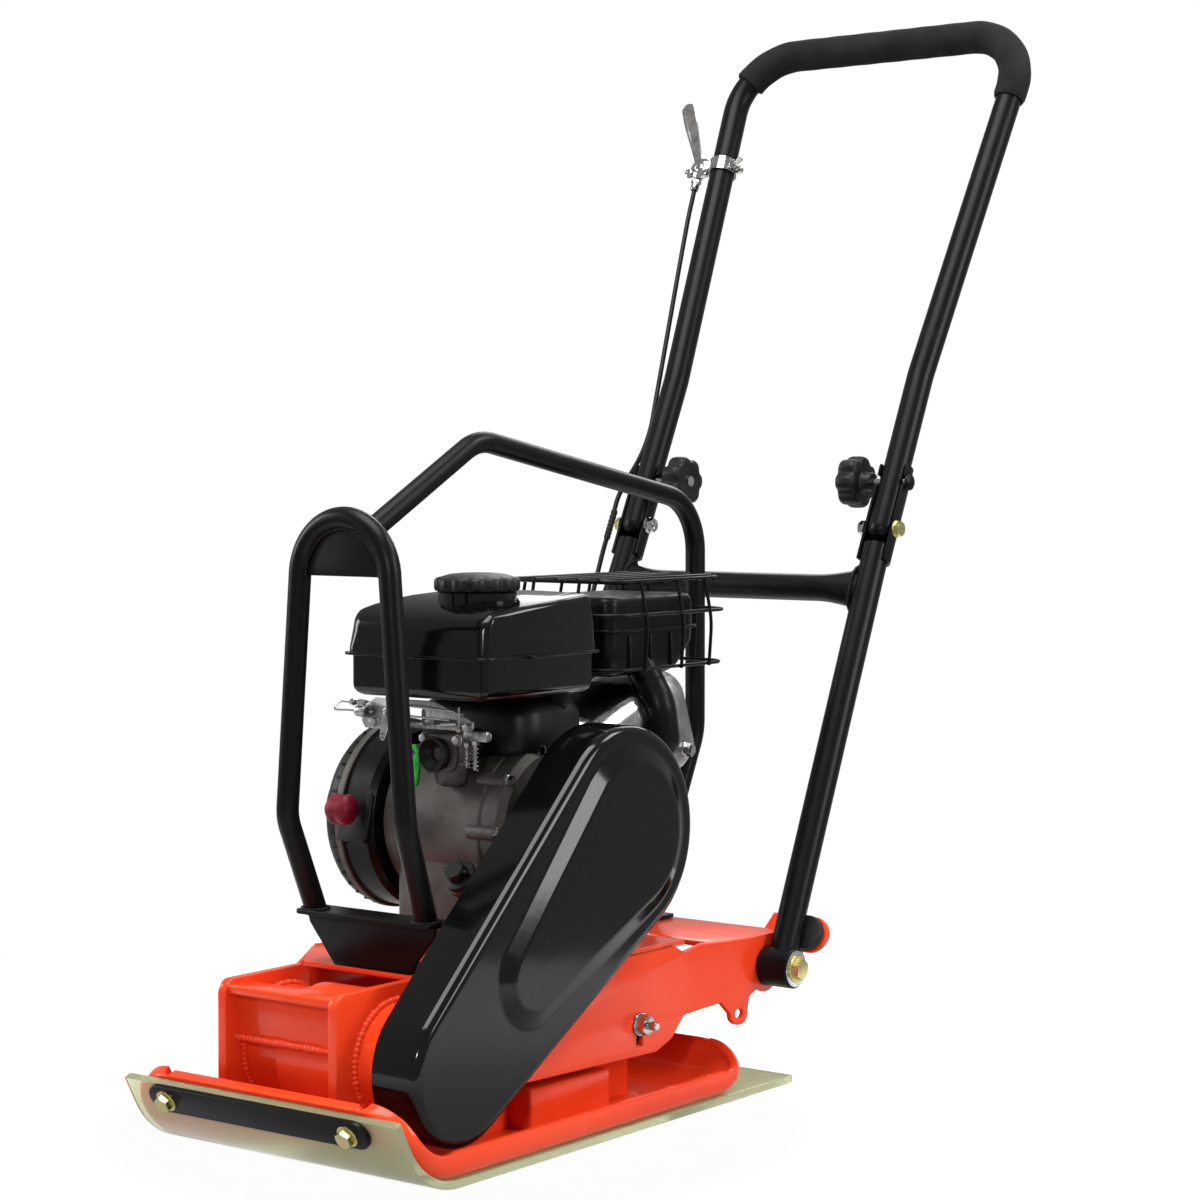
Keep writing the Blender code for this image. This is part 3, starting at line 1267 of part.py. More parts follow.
def make_crankcase():
    left, right = -CASE_LEFT, CASE_RIGHT
    low = deck_top + FIT
    case = rod("crankcase", crank + Vector((left, 0, 0)), crank + Vector((right, 0, 0)), CASE_RADIUS,
               CASE_SIDES)
    foot = block("foot", (left + CASE_FOOT_INSET, crank.y - CASE_FOOT_LENGTH / 2, low),
                 (right - CASE_FOOT_INSET, crank.y + CASE_FOOT_LENGTH / 2, low + CASE_FOOT))
    sump = block("sump", (left + SUMP_INSET, crank.y - SUMP_HALF, low),
                 (right - SUMP_INSET, crank.y + SUMP_HALF, crank.z))
    posts = []
    tank_low = deck_top + TANK_RISE - FIT
    for x in (left + POST_LEFT, right - POST_RIGHT):
        for y in (crank.y - POST_AHEAD, crank.y + POST_BEHIND):
            posts.append(rod("post", (x, y, crank.z), (x, y, tank_low), POST_RADIUS, 8))
    spout = rod("spout", oil_filler(0.0), oil_filler(SPOUT_LENGTH), SPOUT_RADIUS, 16)
    case = unite(case, foot, soften(sump, SUMP_EDGE, 1), *posts, spout)
    bore = rod("bore", crank + Vector((left - CUT_PAST, 0, 0)), crank + Vector((right + CUT_PAST, 0, 0)),
               CRANK_RADIUS + RUNNING, 24)
    return keep(cut(case, bore), cast_alloy)


filler_way = Vector((0, -math.cos(SPOUT_SLOPE), math.sin(SPOUT_SLOPE)))


def oil_filler(reach):
    """A point on the axis of the oil filler, which slopes up out of the front of the sump."""
    start = Vector((CASE_RIGHT - SPOUT_INSET, crank.y - SPOUT_AHEAD, deck_top + SPOUT_RISE))
    return start + filler_way * reach


def make_dipstick():
    seat = oil_filler(SPOUT_LENGTH + FIT)
    profile = [(0, DIPSTICK_HEIGHT), (DIPSTICK_KNOB, DIPSTICK_HEIGHT), (DIPSTICK_KNOB, DIPSTICK_SHEET),
               (DIPSTICK_RADIUS, DIPSTICK_SHEET), (DIPSTICK_RADIUS, 0), (0, 0)]
    dipstick = keep(turned("oil_dipstick", profile, along(seat, filler_way), 16), black_plastic)
    hang_on("dipstick_axis", seat, dipstick)


def case_round():
    """A cutter that clears the round of the crankcase."""
    wide = Vector((FIN_HALF + CUTTER_REACH, 0, 0))
    return rod("clear", crank - wide, crank + wide, CASE_RADIUS + FIT, CASE_SIDES)


def cylinder_frame(reach):
    out = Vector((0, math.cos(CYLINDER_SLOPE), math.sin(CYLINDER_SLOPE)))
    over = Vector((0, -math.sin(CYLINDER_SLOPE), math.cos(CYLINDER_SLOPE)))
    return frame(crank + out * reach, (1, 0, 0), over)


def rounded_square(half, corner, steps=2):
    inner = half - corner
    outline = []
    for start, x, y in ((0, inner, inner), (90, -inner, inner), (180, -inner, -inner), (270, inner, -inner)):
        outline += arc((x, y), corner, start, start + 90, steps)
    return outline


def make_cylinder():
    """A finned barrel with its head, then the rocker cover; reach is counted from the crankshaft."""
    def slab(name, half, low, high):
        return prism(name, [rounded_square(half, FIN_CORNER)], high - low, cylinder_frame((low + high) / 2))

    barrel = slab("cylinder", CYLINDER_HALF, CYLINDER_START, CYLINDER_END - WELD)
    head_start = CYLINDER_END - HEAD_LENGTH
    first = CASE_RADIUS + FIRST_FIN
    pitch = (head_start - first) / FIN_COUNT
    fins = []
    for i in range(FIN_COUNT):
        low = first + pitch * i
        fins.append(slab(f"fin_{i}", FIN_HALF, low, low + FIN_SHEET))
    head = slab("head", FIN_HALF - WELD, head_start, CYLINDER_END)
    cylinder = unite(barrel, *fins, head)
    keep(cut(cylinder, case_round()), cast_alloy)
    start = CYLINDER_END + FIT
    cover = slab("rocker_cover", ROCKER_HALF, start, start + ROCKER_LENGTH)
    keep(soften(cover, ROCKER_EDGE, 1, 60), plain_steel)

    inner = rounded_square(FIN_HALF + FIT, FIN_CORNER + FIT)
    outer = rounded_square(FIN_HALF + FIT + SHROUD_SHEET, FIN_CORNER + FIT + SHROUD_SHEET)
    half = len(inner) // 2
    sheet = [(outer[0][0], -CYLINDER_HALF), *outer[:half], *inner[half - 1::-1],
             (inner[0][0], -CYLINDER_HALF)]
    length = head_start - first
    keep(prism("cylinder_shroud", [sheet], length, cylinder_frame(first + length / 2)), bright_steel)


def make_fan_and_starter():
    place = along(crank, (-1, 0, 0))
    near, far = CASE_LEFT + FIT, FAN_EDGE
    wall = FAN_RADIUS - FAN_SHEET
    hub = CRANK_RADIUS + RUNNING + FAN_HUB_GAP
    housing = [(FAN_RADIUS, far), (FAN_RADIUS, near), (hub, near), (hub, near + FAN_SHEET),
               (wall, near + FAN_SHEET),
               (wall, far)]
    keep(turned("fan_housing", housing, place, FAN_SIDES, True), black_coat)

    low = FAN_EDGE + FIT
    face, shoulder = RECOIL_FACE, RECOIL_SHOULDER
    hub_end = face - RECOIL_HUB_LENGTH
    rounding = shoulder + RECOIL_ROUND * 0.8
    shell = [(0, face), (RECOIL_FACE_RADIUS, face), (FAN_RADIUS - RECOIL_ROUND, rounding),
             (FAN_RADIUS, shoulder),
             (FAN_RADIUS, low), (wall, low), (wall, shoulder - FIT),
             (wall - RECOIL_ROUND, rounding - FAN_SHEET),
             (RECOIL_FACE_RADIUS - FAN_SHEET, face - FAN_SHEET), (RECOIL_HUB, face - FAN_SHEET),
             (RECOIL_HUB, hub_end),
             (0, hub_end)]
    cover = turned("recoil_cover", shell, place, 20)
    slots = []
    for i in range(LOUVRE_COUNT):
        angle = 2 * math.pi * (i + 0.5) / LOUVRE_COUNT
        outward = Vector((0, math.cos(angle), math.sin(angle)))
        sideways = Vector((0, -math.sin(angle), math.cos(angle)))
        centre = crank - Vector(((shoulder + face) / 2, 0, 0))
        centre += outward * (RECOIL_FACE_RADIUS + FAN_RADIUS) / 2
        long = LOUVRE_LENGTH / 2
        root, mouth = (LOUVRE_WIDTH - LOUVRE_FLARE) / 2, (LOUVRE_WIDTH + LOUVRE_FLARE) / 2
        outline = [(-long, -root), (long, -mouth), (long, mouth), (-long, root)]
        slope = outward * 0.8 + Vector((0.35, 0, 0))
        slots.append(prism(f"slot_{i}", [outline], LOUVRE_DEPTH, frame(centre, slope, sideways)))
    keep(cut(cover, *slots), black_plastic)

    reel_low = face - STARTER_INSET - STARTER_WIDTH / 2
    reel = ring("starter_pulley", RECOIL_HUB + FIT, STARTER_RADIUS, reel_low, reel_low + STARTER_WIDTH,
                place, 24)
    keep(reel, plain_steel)
    hang_on("starter_axis", crank, reel)

    wheel_low = CASE_LEFT + FAN_SHEET + FLYWHEEL_GAP
    wheel = ring("flywheel", CRANK_RADIUS + FIT, FLYWHEEL_RADIUS, wheel_low, wheel_low + FLYWHEEL_WIDTH,
                 place, 24)
    keep(wheel, cast_alloy)
    shaft_left = wheel_low + FLYWHEEL_WIDTH + CRANK_END
    shaft_right = BELT_X + BELT_WIDTH / 2 + PULLEY_RIM
    shaft = keep(rod("crankshaft", crank - Vector((shaft_left, 0, 0)), crank + Vector((shaft_right, 0, 0)),
                     CRANK_RADIUS, 20), plain_steel)
    right = along(crank, (1, 0, 0))
    hub = (CLUTCH_RADIUS - CLUTCH_HUB_STEP, CASE_RIGHT + CLUTCH_HUB_GAP)
    clutch = make_pulley("clutch_pulley", CLUTCH_RADIUS, CRANK_RADIUS, right, hub)
    hang_on("crank_axis", crank, shaft, wheel, clutch)


def starter_exit():
    """Where the rope leaves the fan housing, whose rounds are flats."""
    flat = FAN_RADIUS * math.cos(math.pi / FAN_SIDES) + 2 * FIT
    return crank + Vector((-STARTER_X, -math.sqrt(flat ** 2 - STARTER_RISE ** 2), STARTER_RISE))


pull_way = Vector((0, -math.cos(STARTER_SLOPE), math.sin(STARTER_SLOPE)))


def make_starter_grip():
    """The pull grip with its rope, in front of the fan housing."""
    exit_point = starter_exit()
    seat = exit_point + pull_way * STARTER_GRIP_GAP
    centre = seat + pull_way * STARTER_GRIP_RADIUS * 0.75
    place = frame(centre, (1, 0, 0), (0, pull_way.z, -pull_way.y))
    half = STARTER_GRIP_RADIUS
    outline = [(-1.05 * half, -0.34 * half), *arc((0, 0), half, -150, -30, 8), (1.05 * half, -0.34 * half),
               (1.05 * half, 0.34 * half), *arc((0, 0), half, 30, 150, 8), (-1.05 * half, 0.34 * half)]
    grip = soften(prism("starter_grip", [outline], 1.5 * half, place), 0.005, 1, 50)
    keep(grip, dark_red)
    rope = tube("starter_rope", [exit_point, seat - pull_way * FIT], ROPE_RADIUS, 2)
    keep(rope, black_plastic)
    hang_on("starter_pull_axis", centre, grip, rope)
    return centre


# Tank, silencer and carburettor

def make_tank():
    low = deck_top + TANK_RISE
    front = crank.y - TANK_AHEAD
    rear = front + TANK_LENGTH
    brow, top = low + TANK_FRONT_HEIGHT, low + TANK_REAR_HEIGHT
    outline = [(front, low), (rear, low), (rear, top - TANK_TAIL), (rear - TANK_EDGE, top),
               (front + TANK_SLOPE, top - TANK_TAIL / 2), (front + TANK_NOSE, brow + TANK_NOSE_STEP / 2),
               (front, brow - TANK_NOSE_STEP / 2)]
    body = soften(prism("fuel_tank", [outline], TANK_WIDTH, side_view(0)), TANK_EDGE, 1, 30)
    half = TANK_WIDTH / 2 + TANK_FLANGE
    seam_low = low + TANK_SEAM
    seam = block("seam", (-half, front - TANK_FLANGE, seam_low),
                 (half, rear + TANK_FLANGE, seam_low + TANK_SEAM_SHEET))
    filler_y = front + FILLER_BACK
    neck_top = top
    neck_low = low + TANK_FRONT_HEIGHT / 2
    neck = rod("neck", (FILLER_X, filler_y, neck_low), (FILLER_X, filler_y, neck_top), FILLER_RADIUS, 24)
    keep(unite(body, soften_plan(seam), neck), gloss_black)

    place = along((FILLER_X, filler_y, neck_top + FIT), (0, 0, 1))
    outline = []
    for i in range(CAP_LOBES):
        for turn, reach in ((-0.30, 1.0), (0.16, 1.0), (0.30, 0.95), (0.56, 0.95)):
            a = 2 * math.pi * (i + turn) / CAP_LOBES
            outline.append((CAP_RADIUS * reach * math.cos(a), CAP_RADIUS * reach * math.sin(a)))
    disc = prism("fuel_cap", [outline], CAP_HEIGHT, place @ Matrix.Translation((0, 0, CAP_HEIGHT / 2)))
    crown = turned("crown", [(0, CAP_HEIGHT + CAP_CROWN), (CAP_RADIUS * 0.55, CAP_HEIGHT + CAP_CROWN * 0.75),
                             (CAP_RADIUS * 0.85, CAP_HEIGHT - WELD), (0, CAP_HEIGHT - WELD)], place, 24)
    cap = keep(unite(disc, crown), black_plastic)
    hang_on("fuel_cap_axis", (FILLER_X, filler_y, neck_top), cap)


def soften_plan(plate):
    """Rounds the upright corner edges of a flat plate."""
    bevel = plate.modifiers.new("corners", "BEVEL")
    bevel.width = FLANGE_CORNER
    bevel.segments = 2
    bevel.limit_method = "WEIGHT"
    weights = plate.data.attributes.new("bevel_weight_edge", "FLOAT", "EDGE")
    for edge in plate.data.edges:
        a, b = (plate.data.vertices[i].co for i in edge.vertices)
        weights.data[edge.index].value = 1.0 if abs(a.z - b.z) > abs(a.x - b.x) + abs(a.y - b.y) else 0.0
    return settle(plate)


def silencer_box():
    centre = Vector((0, crank.y + SILENCER_BACK, deck_top + SILENCER_RISE))
    half = Vector((SILENCER_WIDTH, SILENCER_LENGTH, SILENCER_HEIGHT)) / 2
    return centre - half, centre + half


def make_silencer():
    low, high = silencer_box()
    body = soften(block("silencer", low, high), SILENCER_EDGE, 1)
    out = Vector((WIRE_MARGIN, WIRE_MARGIN, WIRE_MARGIN))
    cage_low, cage_high = low - out, high + out
    cage_low.z = low.z + WIRE_START
    seam_z = (cage_low.z + cage_high.z) / 2
    lip = Vector((SILENCER_FLANGE, SILENCER_FLANGE, 0))
    seam = Vector((0, 0, SILENCER_SEAM / 2))
    flange = block("flange", Vector((low.x, low.y, seam_z)) - lip - seam,
                   Vector((high.x, high.y, seam_z)) + lip + seam)
    head = cylinder_frame(CYLINDER_END - HEAD_LENGTH / 2)
    clear = PIPE_RADIUS * 1.25
    corners = [(FIN_HALF - WELD + FIT, 0), (FIN_HALF + clear, 0), (FIN_HALF + clear, FIN_HALF * 0.6),
               (FIN_HALF + clear * 0.4, FIN_HALF + clear * 0.75), (FIN_HALF * 0.6, FIN_HALF + clear * 1.1)]
    corners = [head @ Vector((x, over, 0)) for x, over in corners]
    corners.append(Vector((FIN_HALF * 0.2, corners[-1].y, low.z + PIPE_RADIUS)))
    pipe = tube("exhaust_pipe", rounded(corners, PIPE_RADIUS * 0.8, 2), PIPE_RADIUS)
    keep(unite(body, soften_plan(flange), pipe), black_coat)

    work = bmesh.new()
    bmesh.ops.create_grid(work, x_segments=2, y_segments=3, size=0.5)
    flat = bmesh.ops.extrude_edge_only(work, edges=[e for e in work.edges if e.is_boundary])
    walls = [g for g in flat["geom"] if isinstance(g, bmesh.types.BMVert)]
    bmesh.ops.translate(work, vec=(0, 0, -0.5), verts=walls)
    edges = [e for e in flat["geom"] if isinstance(e, bmesh.types.BMEdge)]
    lower = bmesh.ops.extrude_edge_only(work, edges=edges)
    walls = [g for g in lower["geom"] if isinstance(g, bmesh.types.BMVert)]
    bmesh.ops.translate(work, vec=(0, 0, -0.5), verts=walls)
    size = cage_high - cage_low
    for vertex in work.verts:
        vertex.co = cage_low + Vector(((vertex.co.x + 0.5) * size.x, (vertex.co.y + 0.5) * size.y,
                                       (vertex.co.z + 1) * size.z))
    bmesh.ops.recalc_face_normals(work, faces=work.faces)
    mesh = bpy.data.meshes.new("silencer_guard")
    work.to_mesh(mesh)
    work.free()
    cage = link("silencer_guard", mesh)
    wires = cage.modifiers.new("wires", "WIREFRAME")
    wires.thickness = WIRE_SIZE
    wires.use_boundary = True
    wires.use_even_offset = True
    wires.use_relative_offset = False
    cage = settle(cage)
    stubs = []
    middle = (low.y + high.y) / 2
    for x, side in ((low.x, -1), (high.x, 1)):
        inside, outside = x + side * (SILENCER_FLANGE + FIT), x + side * WIRE_MARGIN
        stubs.append(rod("stub", (inside, middle, seam_z), (outside, middle, seam_z), WIRE_SIZE * 0.6, 8))
    keep(unite(cage, *stubs), black_coat)


# Carburettor and its controls

def make_controls():
    """The carburettor under the tank, the control plate before it, and the two small levers."""
    centre = Vector((CARB_X, crank.y - CARB_BACK, deck_top + CARB_RISE))
    half = CARB_SIZE / 2
    front = centre.y - half
    corner = Vector((half, half, half))
    body = soften(block("carburettor", centre - corner, centre + corner), CARB_EDGE, 1)
    horn_z = centre.z - HORN_DROP
    horn = rod("horn", (centre.x, front + WELD, horn_z), (centre.x, front - HORN_LENGTH, horn_z),
               HORN_RADIUS, 14)
    throat = rod("throat", (centre.x, front - HORN_LENGTH - CUT_PAST, horn_z), (centre.x, front, horn_z),
                 HORN_RADIUS - HORN_WALL, 12)
    choke_at = Vector((centre.x - CHOKE_OFFSET, front, horn_z))
    pin_out = Vector((0, FIT + LEVER_SHEET + PIN_END, 0))
    pin = rod("pin", choke_at + Vector((0, CHOKE_EAR_DEPTH - WELD, 0)), choke_at - pin_out, PIN_RADIUS, 10)
    ear = block("ear", choke_at - Vector((CHOKE_EAR, 0, CHOKE_EAR)),
                choke_at + Vector((CHOKE_EAR_INNER, CHOKE_EAR_DEPTH, CHOKE_EAR)))
    flange = block("flange", centre - Vector((half * 0.7, 0, half * 0.6)),
                   (centre.x + half * 0.7, crank.y - CASE_RADIUS * 0.3, centre.z + half * 0.4))
    keep(cut(unite(body, horn, pin, ear, flange), throat, case_round()), cast_alloy)
    choke = lever_plate("choke_lever", choke_at - Vector((0, FIT, 0)), CHOKE_LENGTH, (0, 0, -1))
    keep(choke, green_plastic)
    hang_on("choke_axis", choke_at, choke)

    high = deck_top + TANK_RISE - CONTROL_TOP_GAP
    low = horn_z + HORN_RADIUS + CONTROL_GAP
    left, right = CARB_X - CONTROL_LEFT, CARB_X + CONTROL_RIGHT
    outline = [(left, low), (right, low), (right, low + CONTROL_END), (CARB_X, high),
               (left + CONTROL_SHOULDER, high),
               (left, high - CONTROL_CORNER)]
    sheet_y = front - FIT - CONTROL_SHEET / 2
    plate = prism("control_plate", [outline], CONTROL_SHEET, frame((0, sheet_y, 0), (1, 0, 0), (0, 0, 1)))
    arm_at = Vector((CARB_X - THROTTLE_ARM_LEFT, sheet_y - CONTROL_SHEET / 2, (low + high) / 2))
    post = rod("post", arm_at + Vector((0, WELD, 0)), arm_at - pin_out, PIN_RADIUS, 10)
    clip_at = Vector((left + CLIP_HALF, sheet_y, high - CLIP_DROP))
    clip = block("clip", clip_at - Vector((CLIP_HALF, CLIP_DEPTH, CLIP_HEIGHT / 2)),
                 clip_at + Vector((CLIP_HALF, 0, CLIP_HEIGHT / 2)))
    plate = unite(plate, post, clip)
    cable_at = clip_at - Vector((0, CLIP_DEPTH / 2, 0))
    through = Vector((CLIP_HALF + CUT_PAST, 0, 0))
    eye = rod("eye", cable_at - through, cable_at + through, CABLE_RADIUS + FIT * 2, 12)
    keep(cut(plate, eye), bright_steel)
    arm = lever_plate("throttle_arm", arm_at - Vector((0, FIT, 0)), THROTTLE_ARM, (-0.25, 0, -1))
    keep(arm, bright_steel)
    hang_on("throttle_arm_axis", arm_at, arm)
    return cable_at


def lever_plate(name, eye_at, length, way):
    """A small flat lever whose eye sits at eye_at, in front of the face that its pin stands on."""
    way = Vector(way).normalized()
    across = Vector((0, -1, 0)).cross(way)
    outline = arc((0, 0), EYE_RADIUS, 180, 360, 6) + arc((0, length), TIP_RADIUS, 0, 180, 6)
    eye = arc((0, 0), PIN_RADIUS + FIT, 0, 324, 9)
    centre = eye_at - Vector((0, LEVER_SHEET / 2, 0))
    return prism(name, [outline, eye], LEVER_SHEET, frame(centre, -across, way))


# Belt drive

def loop_round(upper, lower, steps=(11, 7)):
    """The outline (y, z) of a band round a circle at the crankshaft and one at the exciter."""
    line = Vector((exciter.y - crank.y, exciter.z - crank.z))
    toward = math.degrees(math.atan2(line.y, line.x))
    swing = math.degrees(math.acos((upper - lower) / line.length))
    return (arc((crank.y, crank.z), upper, toward + swing, toward + 360 - swing, steps[0])
            + arc((exciter.y, exciter.z), lower, toward - swing, toward + swing, steps[1]))


def loft(name, sections, capped=True):
    """Skins loops of (y, z) points, each at its x, in order; with no caps the last loop joins the first."""
    work = bmesh.new()
    rings = [[work.verts.new((x, y, z)) for y, z in loop] for loop, x in sections]
    pairs = list(zip(rings, rings[1:]))
    if not capped:
        pairs.append((rings[-1], rings[0]))
    for a, b in pairs:
        for i in range(len(a)):
            j = (i + 1) % len(a)
            work.faces.new((a[i], a[j], b[j], b[i]))
    if capped:
        work.faces.new(rings[0])
        work.faces.new(rings[-1])
    bmesh.ops.recalc_face_normals(work, faces=work.faces)
    mesh = bpy.data.meshes.new(name)
    work.to_mesh(mesh)
    work.free()
    return link(name, mesh)


def make_belt():
    wide, narrow = BELT_WIDTH / 2, BELT_WIDTH / 2 * BELT_TAPER - FIT
    steps = (16, 14)
    top = loop_round(CLUTCH_RADIUS, DRIVEN_RADIUS, steps)
    under = loop_round(CLUTCH_RADIUS - BELT_DEPTH, DRIVEN_RADIUS - BELT_DEPTH, steps)
    sections = [(top, BELT_X - wide), (top, BELT_X + wide), (under, BELT_X + narrow), (under, BELT_X - narrow)]
    belt = loft("v_belt", sections, False)
    return keep(belt, rubber)


def make_belt_guard():
    """A deep pressed cover with a rounded edge and a raised panel that follows the upper pulley."""
    def cover(name, inset, back, face):
        upper, lower = GUARD_TOP_RADIUS - inset, GUARD_LOW_RADIUS - inset
        edge = GUARD_EDGE - inset
        sections = [(loop_round(upper, lower), back)]
        for turn in (0, 45, 90):
            shrink = edge * (1 - math.cos(math.radians(turn)))
            rise = edge * (1 - math.sin(math.radians(turn)))
            sections.append((loop_round(upper - shrink, lower - shrink), face - rise))
        return loft(name, sections)

    def panel(name, inset, low, high):
        line = exciter - crank
        end = crank + line * PANEL_END
        upper, lower = GUARD_TOP_RADIUS - PANEL_INSET - inset, PANEL_LOW_RADIUS - inset
        toward = math.degrees(math.atan2(line.z, line.y))
        swing = math.degrees(math.acos((upper - lower) / (line.length * PANEL_END)))
        step = (high - low) * 0.2
        outlines = []
        for shrink in (0, GUARD_PANEL * 0.8):
            outlines.append(arc((crank.y, crank.z), upper - shrink, toward + swing, toward + 360 - swing, 11)
                            + arc((end.y, end.z), lower - shrink, toward - swing, toward + swing, 6))
        return loft(name, [(outlines[0], low), (outlines[0], low + step), (outlines[1], high)])

    shell = cover("belt_guard", 0, GUARD_BACK, GUARD_FACE)
    raised = panel("raised", 0, GUARD_FACE - WELD, GUARD_FACE + GUARD_PANEL)
    hollow = cover("hollow", GUARD_SHEET, GUARD_BACK - CUT_PAST, GUARD_FACE - GUARD_SHEET)
    recess = panel("recess", GUARD_SHEET, GUARD_FACE - GUARD_SHEET - WELD,
                   GUARD_FACE + GUARD_PANEL - GUARD_SHEET)
    notch = block("notch", (0, deck_front - CUT_PAST, 0), (deck_half + FIT, deck_rear, deck_top + FIT))
    return keep(cut(unite(shell, raised), hollow, recess, notch), gloss_black)


# Throttle cable

def make_cables(lever_post, cable_at):
    """Three lengths of cable that meet on the fold axis and on the tilt axis of the handle."""
    beside = HANDLE_TUBE + CABLE_RADIUS + FIT
    fold_x = -(LOWER_TOP_X + CABLE_OFFSET)
    pivot_x = -(arm_face + SLEEVE_LENGTH + PIVOT_BOLT_HEAD + CABLE_LOW_OUT)
    start = lever_post - along_handle * CABLE_START - Vector((LEVER_PIN, 0, 0))
    fold_top, fold_low = FOLD_REACH + CABLE_FOLD_GAP, FOLD_REACH - CABLE_FOLD_GAP
    upper_tie = on_handle(-LOWER_TOP_X - beside, FOLD_REACH + CABLE_TIE)
    upper = cable("cable_upper", [
        start, start - along_handle * CABLE_DROP + Vector((LEVER_PIN, 0, 0)), *tied(upper_tie),
        on_handle(fold_x, fold_top + CABLE_RUN), on_handle(fold_x, fold_top),
    ])
    lower_tie = on_handle(-(LOWER_BOTTOM_X + LOWER_TOP_X) / 2 - beside, FOLD_REACH / 2)
    lower = cable("cable_lower", [
        on_handle(fold_x, fold_low), on_handle(fold_x, fold_low - CABLE_RUN), *tied(lower_tie),
        on_handle(pivot_x, CABLE_RUN), on_handle(pivot_x, FIT),
    ])
    begin = on_handle(pivot_x, -FIT)
    lead = Vector((CABLE_LEAD_IN, 0, 0))
    cable("cable_engine", [
        begin, begin - along_handle * CABLE_CLIP, begin + CABLE_SAG, crank + CABLE_BELOW_FAN,
        crank + CABLE_BESIDE_FAN, cable_at + CABLE_INTO_CLIP, cable_at - 2 * lead, cable_at - lead,
        cable_at + Vector((CABLE_LEAD_OUT, 0, 0)),
    ])
    return upper, lower


def cable(name, route):
    return keep(tube(name, smooth(route, CABLE_STEP), CABLE_RADIUS, 2), black_plastic)


def tied(spot):
    """Three points of a route, which touches the handle's tube at the middle one."""
    away = Vector((-CABLE_EASE, 0, 0))
    return [spot + along_handle * CABLE_RUN + away, spot, spot - along_handle * CABLE_RUN + away]


def smooth(route, step):
    """Points about a step apart on a smooth curve through the points of a route."""
    befores, afters = [route[0], *route[:-1]], [*route[1:], route[-1]]
    ways = [(after - before).normalized() for before, after in zip(befores, afters)]
    made = [route[0]]
    for start, end, out, into in zip(route, route[1:], ways, ways[1:]):
        length = (end - start).length
        handle = length / 3
        count = max(2, round(length / step) + 1)
        made += geometry.interpolate_bezier(start, start + out * handle, end - into * handle, end, count)[1:]
    return made


def make_handle():
    lower = make_lower_handle()
    make_pivots()
    fold_bolts = make_fold_bolts()
    upper, grip = make_upper_handle()
    for name, side in sides:
        make_knob(name, side)
    clamp, lever_post = make_throttle_lever()
    cable_upper, cable_lower = make_cables(lever_post, make_controls())
    hang_on("tilt_axis", pivot, lower, *fold_bolts, cable_lower)
    hang_on("fold_axis", on_handle(0, FOLD_REACH), upper, grip, clamp, cable_upper)


def make_all():
    make_base_plate()
    make_paving_pad()
    make_clamp_bar()
    make_exciter()
    make_mounts()
    make_deck()
    make_stop_pads()
    make_hoop()
    make_rail()
    make_crankcase()
    make_dipstick()
    make_cylinder()
    make_fan_and_starter()
    make_starter_grip()
    make_tank()
    make_silencer()
    make_belt()
    make_belt_guard()
    make_handle()


make_all()
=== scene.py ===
import json
import math
import bmesh
import bpy
from mathutils import Matrix, Vector
from mathutils.geometry import interpolate_bezier


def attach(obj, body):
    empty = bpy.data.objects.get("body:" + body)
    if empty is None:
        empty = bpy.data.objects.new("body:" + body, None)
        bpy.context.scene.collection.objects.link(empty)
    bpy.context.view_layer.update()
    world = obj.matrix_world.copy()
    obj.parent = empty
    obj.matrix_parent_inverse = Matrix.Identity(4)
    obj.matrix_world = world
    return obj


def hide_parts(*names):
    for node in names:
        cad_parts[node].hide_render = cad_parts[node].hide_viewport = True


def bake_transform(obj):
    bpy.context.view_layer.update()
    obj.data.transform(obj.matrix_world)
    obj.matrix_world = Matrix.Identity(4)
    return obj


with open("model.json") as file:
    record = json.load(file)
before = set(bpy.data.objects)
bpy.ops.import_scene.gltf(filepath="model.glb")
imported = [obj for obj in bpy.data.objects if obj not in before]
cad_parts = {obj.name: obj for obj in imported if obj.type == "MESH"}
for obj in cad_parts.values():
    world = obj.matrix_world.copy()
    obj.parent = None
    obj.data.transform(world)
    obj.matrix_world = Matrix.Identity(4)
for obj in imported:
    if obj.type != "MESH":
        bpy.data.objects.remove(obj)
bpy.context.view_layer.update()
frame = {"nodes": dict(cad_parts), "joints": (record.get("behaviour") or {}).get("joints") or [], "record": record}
nodes = frame["nodes"]
scene = bpy.context.scene
hinges = {joint["name"]: Vector(joint["pos_m"]) for joint in frame["joints"] if "pos_m" in joint}

crank = hinges["crank_spin"].copy()
exciter = hinges["exciter_spin"].copy()
pivot = hinges["handle_tilt"].copy()
fold = hinges["handle_fold"].copy()
upHandle = (fold - pivot).normalized()
backHandle = Vector((0, upHandle.z, -upHandle.y))
foldReach = (fold - pivot).length
deckTop = 0.148
floorTop = 0.0133
sides = (("left", -1), ("right", 1))


def onHandle(x, reach, back=0.0):
    return pivot + upHandle * reach + backHandle * back + Vector((x, 0, 0))


# camera and light
view = bpy.data.cameras.new("photoCamera")
view.lens = 83.6
view.sensor_width = 36
cameraObject = bpy.data.objects.new("photoCamera", view)
cameraObject.location = (1.5505, -1.8307, 0.5667)
cameraObject.rotation_euler = (math.radians(87.2935), 0, math.radians(37.211))
scene.collection.objects.link(cameraObject)
scene.camera = cameraObject
scene.view_settings.view_transform = "Standard"


def softBox(name, place, target, size, power):
    lamp = bpy.data.lights.new(name, "AREA")
    lamp.shape = "RECTANGLE"
    lamp.size, lamp.size_y = size
    lamp.energy = power
    lampObject = bpy.data.objects.new(name, lamp)
    lampObject.location = place
    aimAt = Vector(target) - Vector(place)
    lampObject.rotation_euler = aimAt.to_track_quat("-Z", "Y").to_euler()
    scene.collection.objects.link(lampObject)


